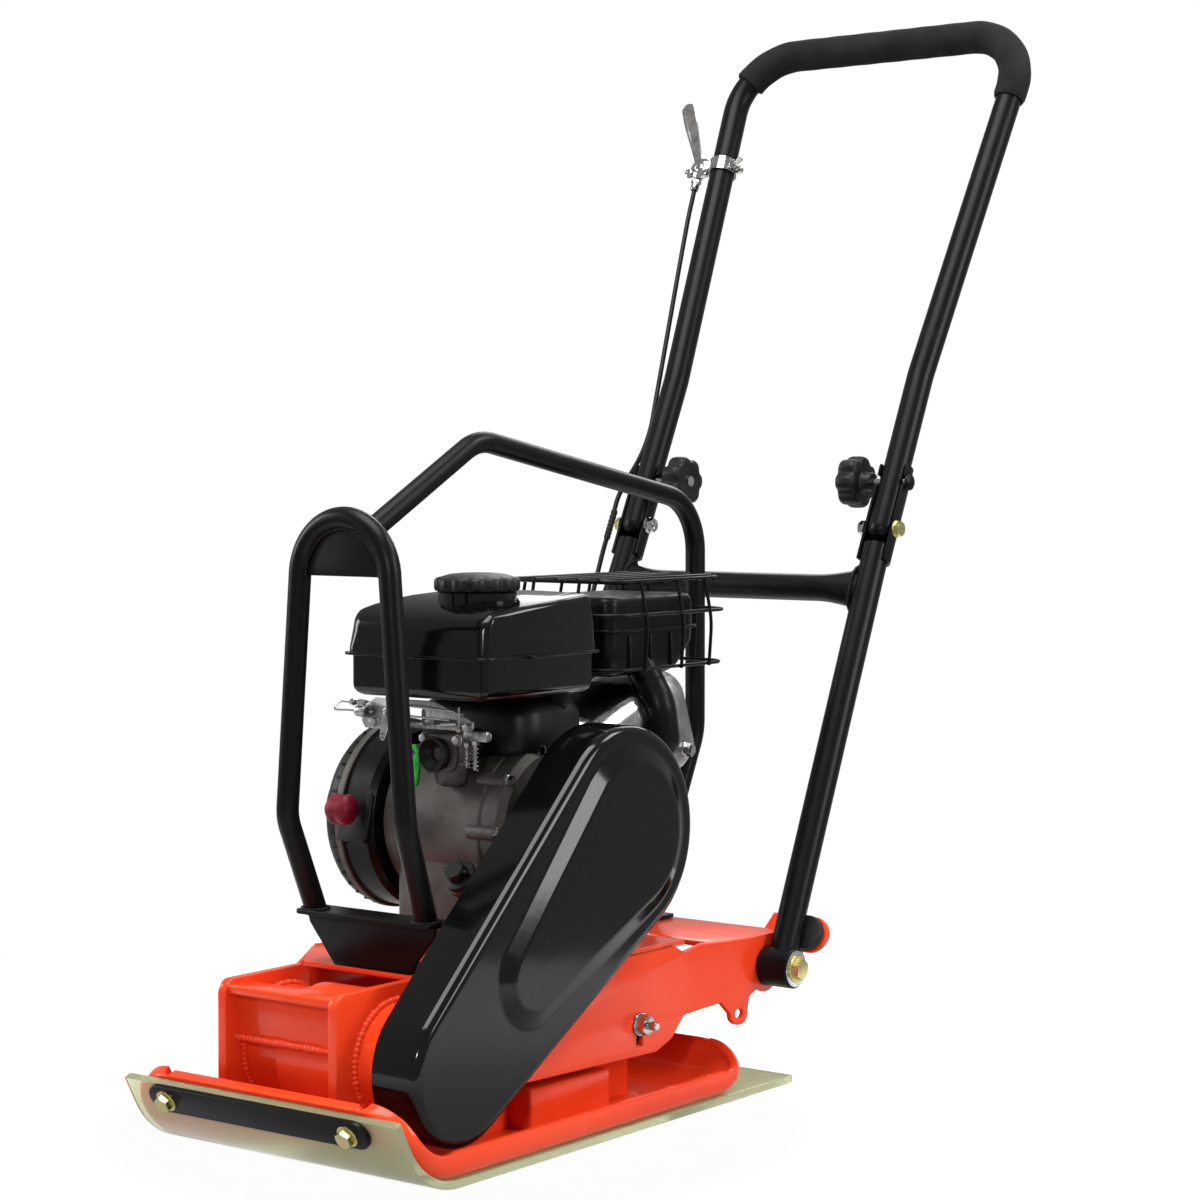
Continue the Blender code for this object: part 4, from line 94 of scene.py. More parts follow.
softBox("overhead", (0.05, -0.5, 2.9), (0, 0.1, 0.3), (1.9, 2.0), 100)
softBox("frontLeft", (-2.7, -1.2, 1.3), (0, 0, 0.4), (0.9, 1.6), 46)
softBox("rightSide", (2.5, 0.8, 1.35), (0.1, 0.05, 0.3), (0.9, 1.2), 36)
softBox("highRight", (1.25, 1.45, 2.2), (0.05, 0.16, 0.35), (0.8, 0.8), 22)
softBox("behind", (-1.0, 2.6, 2.0), (0, 0.1, 0.5), (1.8, 1.4), 28)
softBox("nearCamera", (1.2, -2.1, 1.1), (0, 0, 0.3), (0.2, 0.2), 14)

print("stage: camera and light")


# shader wiring
def feed(tree, value, socket):
    if isinstance(value, Wire):
        tree.links.new(value.socket, socket)
    else:
        socket.default_value = value


def addNode(tree, kind, output=0, settings=None, sockets=None):
    node = tree.nodes.new(kind)
    for name, value in (settings or {}).items():
        setattr(node, name, value)
    for name, value in (sockets or {}).items():
        feed(tree, value, node.inputs[name])
    return Wire(tree, node.outputs[output])


class Wire:
    def __init__(self, tree, socket):
        self.tree = tree
        self.socket = socket

    def maths(self, operation, first, second):
        return addNode(self.tree, "ShaderNodeMath", 0, {"operation": operation}, {0: first, 1: second})

    def __add__(self, other):
        return self.maths("ADD", self, other)

    def __radd__(self, other):
        return self.maths("ADD", other, self)

    def __mul__(self, other):
        return self.maths("MULTIPLY", self, other)

    def __rmul__(self, other):
        return self.maths("MULTIPLY", other, self)

    def step(self, low, high, start=0.0, end=1.0):
        limits = {"Value": self, "From Min": low, "From Max": high, "To Min": start, "To Max": end}
        return addNode(self.tree, "ShaderNodeMapRange", 0, {"interpolation_type": "SMOOTHSTEP"}, limits)


# pale surroundings: white to the eye and through the pad, weaker in gloss, dim as light
studio = {"light": 0.14, "seen": 1.0, "gloss": 0.3}
world = bpy.data.worlds.new("paleStudio")
world.use_nodes = True
scene.world = world
worldTree = world.node_tree
dim = worldTree.nodes["Background"]
bright = worldTree.nodes.new("ShaderNodeBackground")
for sky, strength in ((dim, studio["light"]), (bright, studio["seen"])):
    sky.inputs["Color"].default_value = (1, 1, 1, 1)
    sky.inputs["Strength"].default_value = strength
byEye, inGloss, through = [addNode(worldTree, "ShaderNodeLightPath", f"Is {kind} Ray")
                           for kind in ("Camera", "Glossy", "Transmission")]
seen = byEye + inGloss * studio["gloss"] + through
skies = {0: seen, 1: Wire(worldTree, dim.outputs[0]), 2: Wire(worldTree, bright.outputs[0])}
pick = addNode(worldTree, "ShaderNodeMixShader", 0, None, skies)
feed(worldTree, pick, worldTree.nodes["World Output"].inputs["Surface"])


class Finish:
    def __init__(self, slot, colour, roughness, metallic=0.0, **fixed):
        self.slot = slot
        self.material = bpy.data.materials.new(slot + "Finish")
        self.material.use_nodes = True
        self.tree = self.material.node_tree
        self.shader = self.tree.nodes["Principled BSDF"]
        self.put("Base Color", (*colour, 1))
        self.put("Roughness", roughness)
        self.put("Metallic", metallic)
        for name, value in fixed.items():
            self.put(name.replace("_", " "), value)
        self.coords = self.add("ShaderNodeTexCoord", "Object")

    def add(self, kind, output=0, **sockets):
        return addNode(self.tree, kind, output, None, sockets)

    def put(self, name, value):
        feed(self.tree, value, self.shader.inputs[name])

    def noise(self, scale, detail=3.0, stretch=(1, 1, 1)):
        where = self.add("ShaderNodeMapping", Vector=self.coords, Scale=stretch)
        return self.add("ShaderNodeTexNoise", Vector=where, Scale=scale, Detail=detail)

    def cells(self, scale):
        return self.add("ShaderNodeTexVoronoi", "Distance", Vector=self.coords, Scale=scale)

    def mix(self, factor, first, second):
        first, second = [value if isinstance(value, Wire) else (*value, 1) for value in (first, second)]
        colours = {0: factor, 6: first, 7: second}
        return addNode(self.tree, "ShaderNodeMix", 2, {"data_type": "RGBA"}, colours)

    def looks(self, colour, roughness, height, strength, distance=0.0004):
        normal = self.add("ShaderNodeBump", Height=height, Strength=strength, Distance=distance)
        for name, value in (("Base Color", colour), ("Roughness", roughness), ("Normal", normal)):
            self.put(name, value)
        return self


def orangePaint():
    paint = Finish("orange_paint", (0.83, 0.052, 0.013), 0.2, Specular_IOR_Level=0.24, Coat_Weight=0.05,
                   Coat_Roughness=0.1)
    broad = paint.noise(9.0, 2.0)
    dust = paint.noise(55.0, 5.0).step(0.56, 0.8)
    shade = paint.mix(broad.step(0.3, 0.7), (0.8, 0.05, 0.012), (0.88, 0.066, 0.016))
    colour = paint.mix(dust * 0.06, shade, (0.95, 0.2, 0.1))
    roughness = 0.15 + broad * 0.08 + dust * 0.12
    return paint.looks(colour, roughness, paint.noise(170.0, 2.0), 0.1)


def blackCoat():
    paint = Finish("black_coat", (0.004, 0.004, 0.0045), 0.35, Specular_IOR_Level=0.13)
    grain = paint.noise(1400.0, 2.0)
    scuff = paint.noise(38.0, 5.0).step(0.6, 0.82)
    colour = paint.mix(scuff * 0.35, (0.0035, 0.0035, 0.004), (0.016, 0.015, 0.015))
    roughness = 0.25 + paint.noise(24.0) * 0.14 + scuff * 0.12
    return paint.looks(colour, roughness, grain, 0.18, 0.0003)


def glossBlack():
    paint = Finish("gloss_black", (0.0025, 0.0025, 0.003), 0.14, Specular_IOR_Level=0.28)
    haze = paint.noise(14.0, 4.0)
    speck = paint.noise(420.0, 2.0).step(0.68, 0.78)
    colour = paint.mix(speck * 0.2, (0.0022, 0.0022, 0.0026), (0.03, 0.029, 0.028))
    roughness = 0.06 + haze * 0.09 + speck * 0.25
    return paint.looks(colour, roughness, paint.noise(95.0, 1.0), 0.05)


def blackPlastic():
    paint = Finish("black_plastic", (0.006, 0.006, 0.0065), 0.46, Specular_IOR_Level=0.22)
    worn = paint.noise(60.0, 4.0)
    colour = paint.mix(worn.step(0.45, 0.75), (0.005, 0.005, 0.0055), (0.01, 0.0098, 0.0098))
    roughness = 0.34 + worn * 0.18
    return paint.looks(colour, roughness, paint.cells(1100.0), 0.16, 0.0003)


def foamGrip():
    paint = Finish("foam", (0.009, 0.009, 0.0095), 0.9, Specular_IOR_Level=0.2)
    cell = paint.cells(950.0)
    patch = paint.noise(26.0, 3.0)
    colour = paint.mix(patch.step(0.35, 0.7), (0.007, 0.007, 0.0075), (0.013, 0.0125, 0.013))
    roughness = 0.78 + cell * 0.2
    return paint.looks(colour, roughness, cell, 0.45, 0.0005)


def blackRubber():
    paint = Finish("rubber", (0.014, 0.014, 0.014), 0.72, Specular_IOR_Level=0.25)
    bloom = paint.noise(70.0, 4.0)
    colour = paint.mix(bloom.step(0.5, 0.8), (0.012, 0.012, 0.012), (0.034, 0.033, 0.031))
    roughness = 0.62 + bloom * 0.2
    return paint.looks(colour, roughness, paint.noise(600.0, 2.0), 0.2)


def clearPad():
    paint = Finish("clear_pad", (0.88, 0.9, 0.6), 0.12, Transmission_Weight=0.8, IOR=1.4)
    cloud = paint.noise(16.0, 3.0)
    colour = paint.mix(cloud.step(0.3, 0.7), (0.91, 0.91, 0.62), (0.85, 0.89, 0.54))
    roughness = 0.05 + cloud * 0.1
    return paint.looks(colour, roughness, paint.noise(40.0, 2.0), 0.05)


def castAlloy():
    paint = Finish("cast_alloy", (0.12, 0.11, 0.1), 0.5, 0.6)
    mottle = paint.noise(34.0, 6.0)
    stain = paint.noise(12.0, 4.0).step(0.5, 0.8)
    base = paint.mix(mottle.step(0.3, 0.7), (0.06, 0.055, 0.05), (0.118, 0.11, 0.102))
    colour = paint.mix(stain * 0.6, base, (0.058, 0.05, 0.044))
    roughness = 0.44 + mottle * 0.2
    return paint.looks(colour, roughness, paint.noise(700.0, 3.0), 0.3)


def brightSteel():
    paint = Finish("bright_steel", (0.44, 0.43, 0.42), 0.2, 1.0)
    film = paint.noise(120.0, 4.0)
    colour = paint.mix(film.step(0.35, 0.75), (0.56, 0.55, 0.54), (0.3, 0.295, 0.29))
    roughness = 0.06 + film * 0.14
    return paint.looks(colour, roughness, paint.noise(300.0, 2.0), 0.06)


def yellowZinc():
    paint = Finish("yellow_zinc", (0.62, 0.5, 0.22), 0.28, 1.0)
    film = paint.noise(210.0, 2.0)
    tint = paint.mix(film.step(0.3, 0.55), (0.58, 0.45, 0.16), (0.52, 0.5, 0.22))
    colour = paint.mix(paint.noise(95.0, 3.0).step(0.52, 0.72), tint, (0.66, 0.42, 0.3))
    roughness = 0.2 + film * 0.16
    return paint.looks(colour, roughness, paint.noise(800.0, 2.0), 0.1)


def plainSteel():
    paint = Finish("plain_steel", (0.42, 0.42, 0.42), 0.38, 1.0)
    turned = paint.noise(240.0, 3.0, (1, 0.15, 0.15))
    colour = paint.mix(turned.step(0.3, 0.7), (0.25, 0.25, 0.25), (0.4, 0.4, 0.39))
    roughness = 0.3 + turned * 0.2
    return paint.looks(colour, roughness, turned, 0.15)


def darkRed():
    paint = Finish("dark_red", (0.17, 0.004, 0.016), 0.42, Specular_IOR_Level=0.2)
    shade = paint.noise(80.0, 3.0)
    colour = paint.mix(shade.step(0.3, 0.7), (0.14, 0.003, 0.012), (0.21, 0.005, 0.022))
    roughness = 0.36 + shade * 0.16
    return paint.looks(colour, roughness, paint.cells(900.0), 0.12)


def greenPlastic():
    paint = Finish("green_plastic", (0.025, 0.34, 0.04), 0.36)
    shade = paint.noise(110.0, 3.0)
    colour = paint.mix(shade.step(0.3, 0.7), (0.018, 0.33, 0.03), (0.05, 0.55, 0.07))
    roughness = 0.28 + shade * 0.16
    return paint.looks(colour, roughness, paint.noise(700.0, 2.0), 0.1)


makers = (orangePaint, blackCoat, glossBlack, blackPlastic, foamGrip, blackRubber, clearPad, castAlloy,
          brightSteel, yellowZinc, plainSteel, darkRed, greenPlastic)
finishes = {}
for maker in makers:
    made = maker()
    finishes[made.slot] = made
slotOf = {row["node"]: row["material_slot"] for row in frame["record"]["subparts"]}
for nodeName, node in nodes.items():
    node.data.materials.clear()
    node.data.materials.append(finishes[slotOf[nodeName]].material)
print("stage: materials")


# mesh tools
clearance = 0.0003
mergeReach = 1e-6
smoothAngle = 32


def axes(origin, xAxis, yAxis):
    xAxis, yAxis = Vector(xAxis).normalized(), Vector(yAxis).normalized()
    place = Matrix((xAxis, yAxis, xAxis.cross(yAxis))).transposed().to_4x4()
    place.translation = Vector(origin)
    return place


def aim(origin, axis):
    axis = Vector(axis).normalized()
    helper = Vector((0, 0, 1)) if abs(axis.z) < 0.9 else Vector((0, 1, 0))
    return axes(origin, helper.cross(axis), axis.cross(helper.cross(axis)))


def sideView(x):
    return axes((x, 0, 0), (0, 1, 0), (0, 0, 1))


def frontView(y):
    return axes((0, y, 0), (1, 0, 0), (0, 0, 1))


def level(z):
    return Matrix.Translation((0, 0, z))


def turnsOf(count):
    return [2 * math.pi * i / count for i in range(count)]


def shares(count):
    return [i / count for i in range(count + 1)]


def lengthOf(path):
    return sum((b - a).length for a, b in zip(path, path[1:]))


def arc(centre, radius, start, end, steps):
    turns = [math.radians(start + (end - start) * i / steps) for i in range(steps + 1)]
    return [(centre[0] + radius * math.cos(t), centre[1] + radius * math.sin(t)) for t in turns]


def hole(centre, radius, steps=12):
    return arc(centre, radius, 0, 360 - 360 / steps, steps - 1)


def roundRect(low, high, radius, steps=8):
    corners = ((high[0] - radius, high[1] - radius, 0), (low[0] + radius, high[1] - radius, 90),
               (low[0] + radius, low[1] + radius, 180), (high[0] - radius, low[1] + radius, 270))
    loop = []
    for x, y, start in corners:
        loop += arc((x, y), radius, start, start + 90, steps)
    return loop


# how far in and how far down each step of a rounded edge lies
def roundEdge(size, step=15):
    turns = [math.radians(turn) for turn in range(0, 91, step)]
    return [(size * (1 - math.cos(t)), size * (1 - math.sin(t))) for t in turns]


def levelRing(loop, z):
    return [Vector((x, y, z)) for x, y in loop]


def sideRing(loop, x):
    return [Vector((x, y, z)) for y, z in loop]


def cleaned(work):
    bmesh.ops.remove_doubles(work, verts=work.verts, dist=mergeReach)
    bmesh.ops.recalc_face_normals(work, faces=work.faces)
    return work


def skin(rings, capStart=True, capEnd=True, around=True, along=False):
    work = bmesh.new()
    rows = [[work.verts.new(p) for p in ring] for ring in rings]
    pairs = list(zip(rows, rows[1:])) + ([(rows[-1], rows[0])] if along else [])
    for a, b in pairs:
        for i in range(len(a) if around else len(a) - 1):
            j = (i + 1) % len(a)
            work.faces.new((a[i], a[j], b[j], b[i]))
    if capStart:
        work.faces.new(rows[0])
    if capEnd:
        work.faces.new(rows[-1])
    return cleaned(work)


def turnedRings(profile, place, steps):
    turns = turnsOf(steps)
    return [[place @ Vector((radius * math.cos(t), radius * math.sin(t), height)) for t in turns]
            for radius, height in profile]


def lathe(profile, place, steps=48):
    return skin(turnedRings(profile, place, steps), profile[0][0] > 0, profile[-1][0] > 0)


def ringOf(profile, place, steps=48):
    return skin(turnedRings(profile, place, steps), False, False, True, True)


def rod(radius, low, high, place, steps):
    return lathe([(0, low), (radius, low), (radius, high), (0, high)], place, steps)


# profile of a tube with chamfered outer edges
def tube(bore, radius, low, high, edge, along=None):
    along = edge if along is None else along
    return [(bore, low), (radius - edge, low), (radius, low + along), (radius, high - along),
            (radius - edge, high), (bore, high)]


# a round part with lobes, dipped most at the rim
def lobed(profile, radius, lobes, valley, place, steps=14, fade=6):
    rings = []
    for share, height in profile:
        ring = []
        for turn in turnsOf(lobes * steps):
            dip = ((1 - math.cos(lobes * turn)) / 2) ** 2.0
            reach = radius * share * (1 - valley * dip * share ** fade)
            ring.append(place @ Vector((reach * math.cos(turn), reach * math.sin(turn), height)))
        rings.append(ring)
    return skin(rings, profile[0][0] > 0, profile[-1][0] > 0)


def sweep(path, radius, sides=24):
    path = [Vector(p) for p in path]
    normal = None
    rings = []
    for i, point in enumerate(path):
        before, after = path[max(i - 1, 0)], path[min(i + 1, len(path) - 1)]
        tangent = (after - before).normalized()
        if normal is None:
            normal = tangent.orthogonal().normalized()
        normal = (normal - tangent * normal.dot(tangent)).normalized()
        other = tangent.cross(normal)
        size = radius(i / (len(path) - 1)) if callable(radius) else radius
        rings.append([point + (normal * math.cos(t) + other * math.sin(t)) * size for t in turnsOf(sides)])
    return skin(rings)


def rounded(points, radius, steps=10):
    points = [Vector(p) for p in points]
    radii = radius if isinstance(radius, (list, tuple)) else [radius] * (len(points) - 2)
    path = [points[0]]
    for before, corner, after, bend in zip(points, points[1:], points[2:], radii):
        into, out = (before - corner).normalized(), (after - corner).normalized()
        half = into.angle(out) / 2
        centre = corner + (into + out).normalized() * bend / math.sin(half)
        start = corner + into * bend / math.tan(half) - centre
        axis = into.cross(out)
        for share in shares(steps):
            path.append(centre + Matrix.Rotation(-(math.pi - 2 * half) * share, 3, axis) @ start)
    return path + [points[-1]]


def evenly(path, step):
    found = [path[0]]
    for a, b in zip(path, path[1:]):
        count = max(1, round((b - a).length / step))
        found += [a.lerp(b, (i + 1) / count) for i in range(count)]
    return found


def stretchOf(path, low, high):
    found, walked = [], 0.0
    for a, b in zip(path, path[1:]):
        length = (b - a).length
        for mark in (low, high):
            if walked < mark < walked + length:
                found.append((mark, a.lerp(b, (mark - walked) / length)))
        if low < walked + length < high:
            found.append((walked + length, b))
        walked += length
    return [spot for _, spot in sorted(found, key=lambda pair: pair[0])]


def finalMesh(obj):
    bpy.context.view_layer.update()
    mesh = bpy.data.meshes.new_from_object(obj.evaluated_get(bpy.context.evaluated_depsgraph_get()))
    mesh.transform(obj.matrix_world)
    data = obj.data
    bpy.data.objects.remove(obj)
    kept = bpy.data.curves if isinstance(data, bpy.types.Curve) else bpy.data.meshes
    kept.remove(data)
    return mesh


def settled(obj):
    mesh = finalMesh(obj)
    work = bmesh.new()
    work.from_mesh(mesh)
    bpy.data.meshes.remove(mesh)
    return cleaned(work)


def sheet(loops, thickness, place, edge=0.0008):
    curve = bpy.data.curves.new("flat", "CURVE")
    curve.dimensions = "2D"
    curve.fill_mode = "BOTH"
    edge = min(edge, thickness * 0.45)
    curve.extrude = thickness / 2 - edge
    curve.bevel_depth = edge
    curve.bevel_resolution = 2
    curve.offset = -edge
    for loop in loops:
        spline = curve.splines.new("POLY")
        spline.points.add(len(loop) - 1)
        for point, (x, y) in zip(spline.points, loop):
            point.co = (x, y, 0, 1)
        spline.use_cyclic_u = True
    flat = bpy.data.objects.new("flat", curve)
    flat.matrix_world = place
    scene.collection.objects.link(flat)
    return settled(flat)


def slab(low, high, edge=0.001, segments=2):
    low, high = Vector(low), Vector(high)
    work = bmesh.new()
    bmesh.ops.create_cube(work, size=1)
    for vertex in work.verts:
        vertex.co = (low + high) / 2 + Vector([c * s for c, s in zip(vertex.co, high - low)])
    bmesh.ops.bevel(work, geom=work.edges, offset=edge, segments=segments, profile=0.5, affect="EDGES")
    return work


def merged(*works):
    whole = bmesh.new()
    for work in works:
        spare = bpy.data.meshes.new("spare")
        work.to_mesh(spare)
        work.free()
        whole.from_mesh(spare)
        bpy.data.meshes.remove(spare)
    return whole


def looseObject(work, name="loose"):
    mesh = bpy.data.meshes.new(name)
    work.to_mesh(mesh)
    work.free()
    loose = bpy.data.objects.new(name, mesh)
    scene.collection.objects.link(loose)
    return loose


def carved(work, *cutters):
    body = looseObject(work)
    tools = [looseObject(cutter) for cutter in cutters]
    for tool in tools:
        change = body.modifiers.new("cut", "BOOLEAN")
        change.operation = "DIFFERENCE"
        change.object = tool
    result = settled(body)
    for tool in tools:
        data = tool.data
        bpy.data.objects.remove(tool)
        bpy.data.meshes.remove(data)
    return result


def smoothed(mesh, angle):
    mesh.shade_smooth()
    mesh.set_sharp_from_angle(angle=math.radians(angle))


def listed(piece, body, stands):
    if body:
        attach(piece, body)
    if stands:
        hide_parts(*stands)
    return piece


def addPiece(name, work, slot, body, *stands, angle=smoothAngle):
    piece = looseObject(work, name)
    piece.data.materials.append(finishes[slot].material)
    smoothed(piece.data, angle)
    return listed(piece, body, stands)


def hexHead(place, across, height, low=0.0):
    flat = across / 2
    foot, rim, top = [], [], []
    for turn in turnsOf(36):
        reach = flat / math.cos((turn + math.pi / 6) % (math.pi / 3) - math.pi / 6)
        rise = height - (reach - flat) * 0.55
        for ring, out, z in ((foot, reach, low), (rim, reach, rise), (top, flat * 0.96, height)):
            ring.append(place @ Vector((out * math.cos(turn), out * math.sin(turn), z)))
    return skin([foot, rim, top])


def washerOn(place, radius, height):
    return lathe([(0, 0), (radius, 0), (radius, height * 0.75), (radius * 0.95, height), (0, height)], place)


# a bolt's sizes: across its flats, height, radius of its washer and the washer's height
def boltHead(seat, axis, across, height, washer, under):
    place = aim(seat, axis)
    return merged(washerOn(place, washer, under), hexHead(place, across, under + height, under * 0.5))


def nutOn(seat, axis, across, height, thread, reach, washer=0.0):
    place = aim(seat, axis)
    low = 0.0016 if washer else 0.0
    works = [washerOn(place, washer, low)] if washer else []
    works.append(hexHead(place, across, low + height, low * 0.5))
    end = low + height + reach
    works.append(lathe([(0, low), (thread, low), (thread, end - 0.0008), (thread * 0.75, end), (0, end)],
                       place, steps=24))
    return merged(*works)


# geometry nodes: a tree takes a shape and its named sizes, and ends in real, dressed geometry
def startTree(name, inputs):
    tree = bpy.data.node_groups.new(name, "GeometryNodeTree")
    face = tree.interface
    face.new_socket("Geometry", in_out="INPUT", socket_type="NodeSocketGeometry")
    sockets = {}
    for label, kind in {**inputs, "Material": "Material"}.items():
        sockets[label] = face.new_socket(label, in_out="INPUT", socket_type="NodeSocket" + kind).identifier
    face.new_socket("Geometry", in_out="OUTPUT", socket_type="NodeSocketGeometry")
    given = tree.nodes.new("NodeGroupInput")
    return tree, sockets, {label: Wire(tree, given.outputs[label]) for label in ("Geometry", *sockets)}


def endTree(tree, shape, material):
    dressed = {"Geometry": shape, "Material": material}
    last = addNode(tree, "GeometryNodeSetMaterial", 0, None, dressed)
    feed(tree, last, tree.nodes.new("NodeGroupOutput").inputs["Geometry"])


# weld ripples along lines
def beadTree():
    tree, sockets, given = startTree("weldRipple", {"Pitch": "Float", "Width": "Float", "Seed": "Int"})
    line = addNode(tree, "GeometryNodeMeshToCurve", 0, None, {"Mesh": given["Geometry"]})
    spacing = {"Curve": line, "Length": given["Pitch"]}
    even = addNode(tree, "GeometryNodeResampleCurve", 0, {"mode": "LENGTH"}, spacing)
    drop = addNode(tree, "GeometryNodeMeshIcoSphere", "Mesh", None, {"Radius": 0.5, "Subdivisions": 2})
    tangent = addNode(tree, "GeometryNodeInputTangent")
    turn = addNode(tree, "FunctionNodeAlignRotationToVector", 0, {"axis": "X"}, {"Vector": tangent})
    spread = {2: 0.86, 3: 1.16, "Seed": given["Seed"]}
    size = addNode(tree, "FunctionNodeRandomValue", 1, {"data_type": "FLOAT"}, spread) * given["Width"]
    scale = addNode(tree, "ShaderNodeCombineXYZ", 0, None, {"X": size, "Y": size, "Z": size})
    drops = {"Points": even, "Instance": drop, "Rotation": turn, "Scale": scale}
    laid = addNode(tree, "GeometryNodeInstanceOnPoints", 0, None, drops)
    real = addNode(tree, "GeometryNodeRealizeInstances", 0, None, {"Geometry": laid})
    smooth = addNode(tree, "GeometryNodeSetShadeSmooth", 0, None, {"Geometry": real})
    endTree(tree, smooth, given["Material"])
    return tree, sockets


# a shape again and again, each copy turned and moved on from the last
def repeatTree():
    inputs = {"Count": "Int", "Turn": "Float", "Axis": "Vector", "Centre": "Vector", "Step": "Vector"}
    tree, sockets, given = startTree("repeatShape", inputs)
    row = addNode(tree, "GeometryNodeMeshLine", 0, None, {"Count": given["Count"], "Offset": (0, 0, 0)})
    copies = {"Points": row, "Instance": given["Geometry"]}
    laid = addNode(tree, "GeometryNodeInstanceOnPoints", 0, None, copies)
    index = addNode(tree, "GeometryNodeInputIndex")
    angle = {"Axis": given["Axis"], "Angle": index * given["Turn"]}
    spin = addNode(tree, "FunctionNodeAxisAngleToRotation", 0, None, angle)
    about = {"Instances": laid, "Rotation": spin, "Pivot Point": given["Centre"], "Local Space": False}
    turned = addNode(tree, "GeometryNodeRotateInstances", 0, None, about)
    far = addNode(tree, "ShaderNodeVectorMath", 0, {"operation": "SCALE"},
                  {0: given["Step"], "Scale": index})
    shift = {"Instances": turned, "Translation": far, "Local Space": False}
    moved = addNode(tree, "GeometryNodeTranslateInstances", 0, None, shift)
    real = addNode(tree, "GeometryNodeRealizeInstances", 0, None, {"Geometry": moved})
    endTree(tree, real, given["Material"])
    return tree, sockets


weldRipple = beadTree()
repeatShape = repeatTree()


def nodePiece(name, work, group, values, slot, body):
    tree, sockets = group
    loose = looseObject(work, name)
    smoothed(loose.data, smoothAngle)
    change = loose.modifiers.new("nodes", "NODES")
    change.node_group = tree
    for key, value in {**values, "Material": finishes[slot].material}.items():
        change[sockets[key]] = value
    mesh = finalMesh(loose)
    mesh.name = name
    piece = bpy.data.objects.new(name, mesh)
    scene.collection.objects.link(piece)
    return listed(piece, body, ())


def weldBead(name, paths, slot, body, width, pitch, seed):
    work = bmesh.new()
    for line in paths:
        spots = [work.verts.new(p) for p in line]
        for a, b in zip(spots, spots[1:]):
            work.edges.new((a, b))
    return nodePiece(name, work, weldRipple, {"Pitch": pitch, "Width": width, "Seed": seed}, slot, body)


def repeated(name, work, slot, body, count, turn=0.0, centre=(0, 0, 0), step=(0, 0, 0)):
    values = {"Count": count, "Turn": math.radians(turn), "Axis": (1, 0, 0), "Centre": tuple(centre),
              "Step": tuple(step)}
    return nodePiece(name, work, repeatShape, values, slot, body)


def circleLine(place, radius, steps=40):
    return [place @ Vector((x, y, 0)) for x, y in arc((0, 0), radius, 0, 360, steps)]


# throttle cable, in one run for each part that carries it
cable = {"radius": 0.0025, "beside": 0.0158, "foldX": -0.179, "pivotX": -0.1928, "gap": 0.0038,
         "straight": 0.03, "step": 0.005, "post": (-0.19133, 0.42), "tie": (-0.147, 0.107),
         "lowTie": -0.15175, "tieReach": 0.03, "tieAside": 0.003, "bare": 0.088, "wire": 0.0009,
         "clip": Vector((-0.082, -0.0243, 0.355)), "bootHalf": 0.016, "bootWall": 0.0006,
         "bootRidge": 0.0005}


def smoothRoute(route):
    ways = []
    for i in range(len(route)):
        ways.append((route[min(i + 1, len(route) - 1)] - route[max(i - 1, 0)]).normalized())
    found = [route[0]]
    for a, b, leave, arrive in zip(route, route[1:], ways, ways[1:]):
        reach = (b - a).length / 3
        count = max(2, round((b - a).length / cable["step"]))
        found += interpolate_bezier(a, a + leave * reach, b - arrive * reach, b, count + 1)[1:]
    return found


def tied(spot):
    away = upHandle * cable["tieReach"]
    aside = Vector((-cable["tieAside"], 0, 0))
    return [spot + away + aside, spot, spot - away + aside]


def makeCable(name, line, body, node):
    length = lengthOf(line)
    sheath = addPiece(name, sweep(line, cable["radius"], sides=14), "black_plastic", body, node)


def cableStart():
    x, reach = cable["post"]
    return onHandle(x - 0.004, foldReach + reach - 0.018)


def bootRadius(share):
    return cable["radius"] + cable["bootWall"] + cable["bootRidge"] * math.sin(share * math.pi * 7) ** 2


